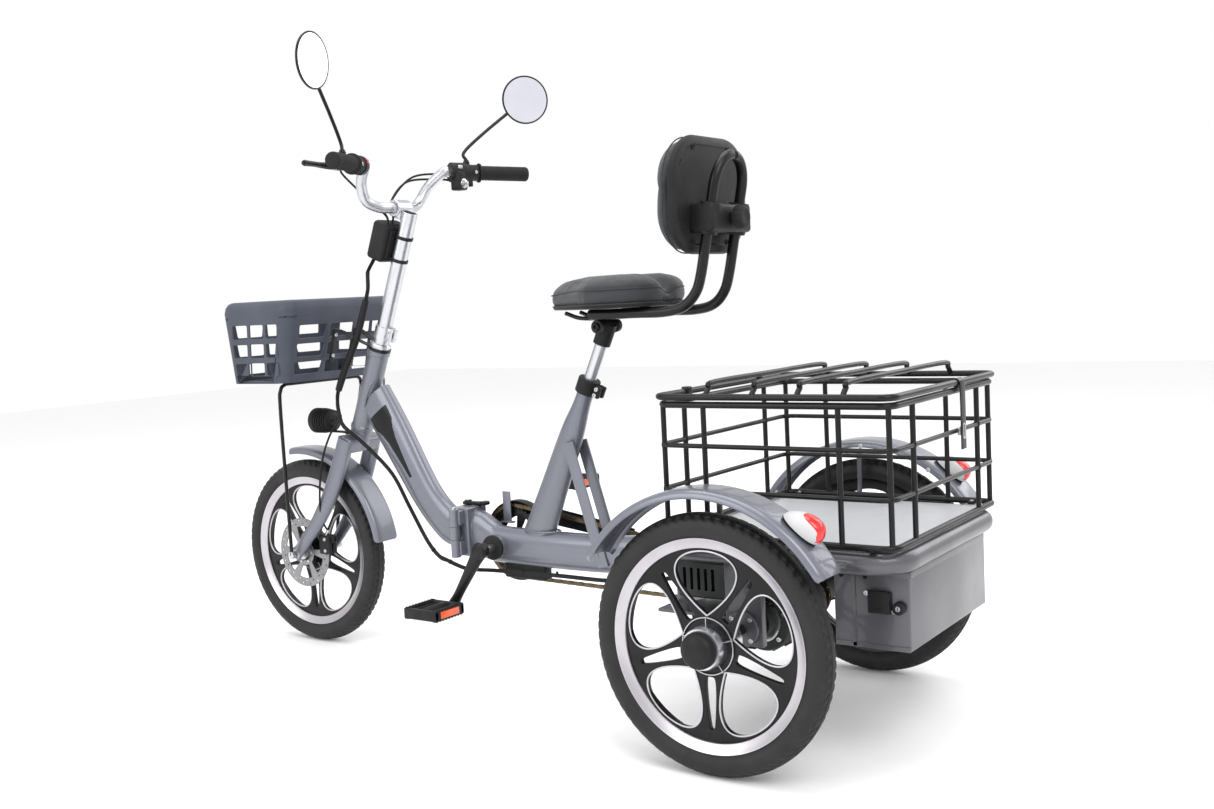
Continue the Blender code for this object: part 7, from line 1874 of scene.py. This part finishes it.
def bundle(route, radius, count=3, twist=2.2):
    """Thin cables side by side: each keeps a circle's distance from the route, slowly turning round it."""
    shell = Shell()
    path = curve_through(route, 12)
    tangent = unit(np.gradient(path, axis=0))
    wide = unit(np.cross(tangent, vec(0.3, 0.2, 1.0)))
    tall = np.cross(tangent, wide)
    share = np.linspace(0, 1, len(path))
    for i in range(count):
        turn = 2 * math.pi * i / count + twist * share
        reach = radius * 1.08
        shell.tube(path + wide * (reach * np.cos(turn))[:, None] + tall * (reach * np.sin(turn))[:, None], radius, 0,
                   across=vec(0.3, 0.2, 1.0), count=10)
    for place in np.linspace(0.12, 0.88, 4):
        i = int(place * (len(path) - 1))
        shell.add(turned(((-0.0015, radius * 2.1), (-0.0014, radius * 2.35), (0.0014, radius * 2.35),
                          (0.0015, radius * 2.1)), path[i], tangent[i], 20), 1, rows_close=True)
    return shell


class TRICYCLE_OT_cables(bpy.types.Operator):
    """Builds the brake and electric cables along the stem, the down tube and the main tube."""
    bl_idname = "tricycle.cables"
    bl_label = "Cables"

    def execute(self, context):
        radius = sizes().cable_radius
        down = STEER_ROUTE + FRAME_ROUTE
        finishes = ("Soft black", "Black plastic")
        upper = bundle(down, radius).made("Cables_steering", None, finishes, "black_plastic",
                                          replaces=("cable_steering",), ride=False)
        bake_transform(upper)
        lower = bundle(FRAME_ROUTE[-2:] + REAR_ROUTE, radius).made(
            "Cables_frame", None, finishes, "black_plastic", replaces=("cable_frame", "cable_rear"), ride=False)
        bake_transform(lower)
        loops = Shell()
        sleeve = curve_through(STEER_ROUTE, 12)[14:-16]
        swell = 0.55 + 0.45 * np.sin(np.linspace(0.08, math.pi - 0.08, len(sleeve))) ** 0.15
        loops.add(swept(sleeve, oval(0.0082, 0.0082, 24), CABLE_ACROSS, scales=np.stack([swell, swell], 1)), 1)
        left, right = by_grip(1, -0.03, 0.031, -0.002), by_grip(-1, -0.03, 0.031, -0.002)
        pod = by_grip(-1, -0.06, 0.012, -0.016)
        top = steer(0.8, 0.016, 0.03)
        for start, lean, side in ((left, 0.04, 1), (right, 0.034, -1), (pod, 0.02, -1),
                                  (by_grip(1, -0.05, 0.01, -0.014), 0.02, 1)):
            route = [start, start - OUTWARD[side] * 0.03 + vec(0, -0.004, 0.002),
                     start - OUTWARD[side] * 0.085 + vec(0, -lean, -0.004),
                     top + vec(side * 0.03, -0.03, 0.04), top + vec(side * 0.006, -0.006, -0.006),
                     vec(0.02 + side * 0.002, -0.418, 0.838)]
            loops.tube(curve_through(route, 12), 0.0023, 0, across=CABLE_ACROSS, count=12)
        brake = [vec(0.031, -0.522, 0.52), vec(0.046, -0.545, 0.48), vec(0.06, -0.56, 0.42), vec(0.062, -0.572, 0.34),
                 vec(0.052, -0.578, 0.29), vec(0.04, -0.578, 0.268)]
        loops.tube(curve_through(brake, 12), 0.0023, 0, across=CABLE_ACROSS, count=12)
        lamp = [vec(0.031, -0.524, 0.524), vec(0.022, -0.548, 0.522), vec(0.01, -0.566, 0.514),
                vec(0.003, -0.578, 0.511)]
        loops.tube(curve_through(lamp, 10), 0.0018, 0, across=CABLE_ACROSS, count=10)
        loops.made("Cables_cockpit", "steering", ("Soft black", "Black plastic"), "black_plastic")
        rear = Shell()
        for side in (-1, 1):
            route = [vec(side * 0.06, 0.402, 0.244), vec(side * 0.12, 0.42, 0.222), vec(side * 0.168, 0.47, 0.18),
                     vec(side * 0.184, 0.53, 0.165), vec(side * 0.186, 0.56, 0.172)]
            rear.tube(curve_through(route, 10), 0.0023, 0, across=CABLE_ACROSS, count=12)
            rear.add(rod(route[-1], route[-1] + vec(0, 0.014, 0.004), 0.0036, 16), 1)
            rear.add(brick(route[-1] + vec(0, 0.018, 0.01), (0.004, 0.007, 0.011), 0.0015), 2)
        rear.made("Cables_rear_brakes", "chassis", ("Soft black", "Brass steel", "Black plastic"), "black_plastic")
        return {"FINISHED"}


# --- stage -------------------------------------------------------------------------------------------
VIEW_PLACE = vec(2.0106, 1.5943, 0.765)
VIEW_AZIMUTH, VIEW_ELEVATION, VIEW_ROLL = np.radians((125.144, 4.919, -2.913))
VIEW_LENS, SENSOR_WIDTH = 38.17, 36.0
LIGHTS_AIM = Vector((0, 0, 0.45))
LIGHTS = (("Key", (1.8, 3.2, 3.4), 2.6, 90), ("Side", (3.6, -1.4, 2.0), 2.4, 60),
          ("Fill", (-3.2, 1.6, 2.6), 2.6, 45), ("Top", (0.0, -0.2, 3.8), 3.0, 70))
FLOOR_HALF, FLOOR_ROWS = 9, 37


def area_light(name, place, size, power):
    """A soft square light that looks at the middle of the tricycle."""
    light = bpy.data.lights.new(name, "AREA")
    light.shape = "SQUARE"
    light.size = size
    light.energy = power
    lamp = bpy.data.objects.new(name, light)
    bpy.context.scene.collection.objects.link(lamp)
    lamp.location = place
    lamp.rotation_euler = (LIGHTS_AIM - Vector(place)).to_track_quat("-Z", "Y").to_euler()


def view_matrix():
    """The camera's axes from its azimuth, elevation and roll, and its place."""
    level = math.cos(VIEW_ELEVATION)
    back = vec(math.sin(VIEW_AZIMUTH) * level, -math.cos(VIEW_AZIMUTH) * level, math.sin(VIEW_ELEVATION))
    right = unit(np.cross(-back, Z_AXIS))
    up = np.cross(right, -back)
    pose = np.eye(4)
    pose[:3, 0] = right * math.cos(VIEW_ROLL) + up * math.sin(VIEW_ROLL)
    pose[:3, 1] = up * math.cos(VIEW_ROLL) - right * math.sin(VIEW_ROLL)
    pose[:3, 2] = back
    pose[:3, 3] = VIEW_PLACE
    return Matrix(pose.tolist())


class TRICYCLE_OT_stage(bpy.types.Operator):
    """Lays the pale floor, hangs the soft lights and sets up the camera."""
    bl_idname = "tricycle.stage"
    bl_label = "Stage"

    def execute(self, context):
        scene = context.scene
        floor = Shell()
        edge = np.linspace(-FLOOR_HALF, FLOOR_HALF, FLOOR_ROWS)
        flat = np.meshgrid(edge, edge)
        floor.add(np.stack([*flat, 0 * flat[0] - 0.0005], -1), 0, columns_close=False, caps=False)
        ground = floor.made("Floor", None, "Floor", ride=False)
        world = bpy.data.worlds.new("Studio")
        scene.world = world
        world.use_nodes = True
        sky = world.node_tree.nodes["Background"].inputs
        sky["Color"].default_value = (1.0, 1.0, 1.0, 1.0)
        sky["Strength"].default_value = 1.0
        for light in LIGHTS:
            area_light(*light)
        camera = bpy.data.cameras.new("Camera")
        camera.lens, camera.sensor_width = VIEW_LENS, SENSOR_WIDTH
        view = bpy.data.objects.new("Camera", camera)
        scene.collection.objects.link(view)
        view.matrix_world = view_matrix()
        scene.camera = view
        scene.view_settings.view_transform = "Standard"
        return {"FINISHED"}


PIECES = (TRICYCLE_OT_rear_wheels, TRICYCLE_OT_front_wheel, TRICYCLE_OT_rear_frame, TRICYCLE_OT_front_frame,
          TRICYCLE_OT_rear_subframe,
          TRICYCLE_OT_box_and_drive, TRICYCLE_OT_fenders, TRICYCLE_OT_cargo_cage, TRICYCLE_OT_saddle,
          TRICYCLE_OT_backrest, TRICYCLE_OT_seat_frame,
          TRICYCLE_OT_fork, TRICYCLE_OT_handlebar, TRICYCLE_OT_controls, TRICYCLE_OT_mirrors, TRICYCLE_OT_headlight,
          TRICYCLE_OT_basket,
          TRICYCLE_OT_chain_drive, TRICYCLE_OT_cranks, TRICYCLE_OT_cables, TRICYCLE_OT_stage)


class TRICYCLE_PT_panel(bpy.types.Panel):
    """Lists the pieces and the sizes and colours they are made from."""
    bl_idname = "TRICYCLE_PT_panel"
    bl_label = "Folding electric tricycle"
    bl_space_type = "VIEW_3D"
    bl_region_type = "UI"
    bl_category = "Tricycle"

    def draw(self, context):
        for group in (context.scene.tricycle_colours, context.scene.tricycle_sizes):
            for name in group.bl_rna.properties.keys():
                if name not in ("rna_type", "name"):
                    self.layout.prop(group, name)
        for piece in PIECES:
            self.layout.operator(piece.bl_idname)


CLASSES = (TricycleColours, TricycleSizes, *PIECES, TRICYCLE_PT_panel)


def register():
    for kind in CLASSES:
        bpy.utils.register_class(kind)
    bpy.types.Scene.tricycle_colours = bpy.props.PointerProperty(type=TricycleColours)
    bpy.types.Scene.tricycle_sizes = bpy.props.PointerProperty(type=TricycleSizes)


def unregister():
    del bpy.types.Scene.tricycle_sizes
    del bpy.types.Scene.tricycle_colours
    for kind in reversed(CLASSES):
        bpy.utils.unregister_class(kind)


def main():
    register()
    for piece in PIECES:
        group, name = piece.bl_idname.split(".")
        getattr(getattr(bpy.ops, group), name)()
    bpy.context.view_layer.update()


if __name__ == "__main__":
    main()
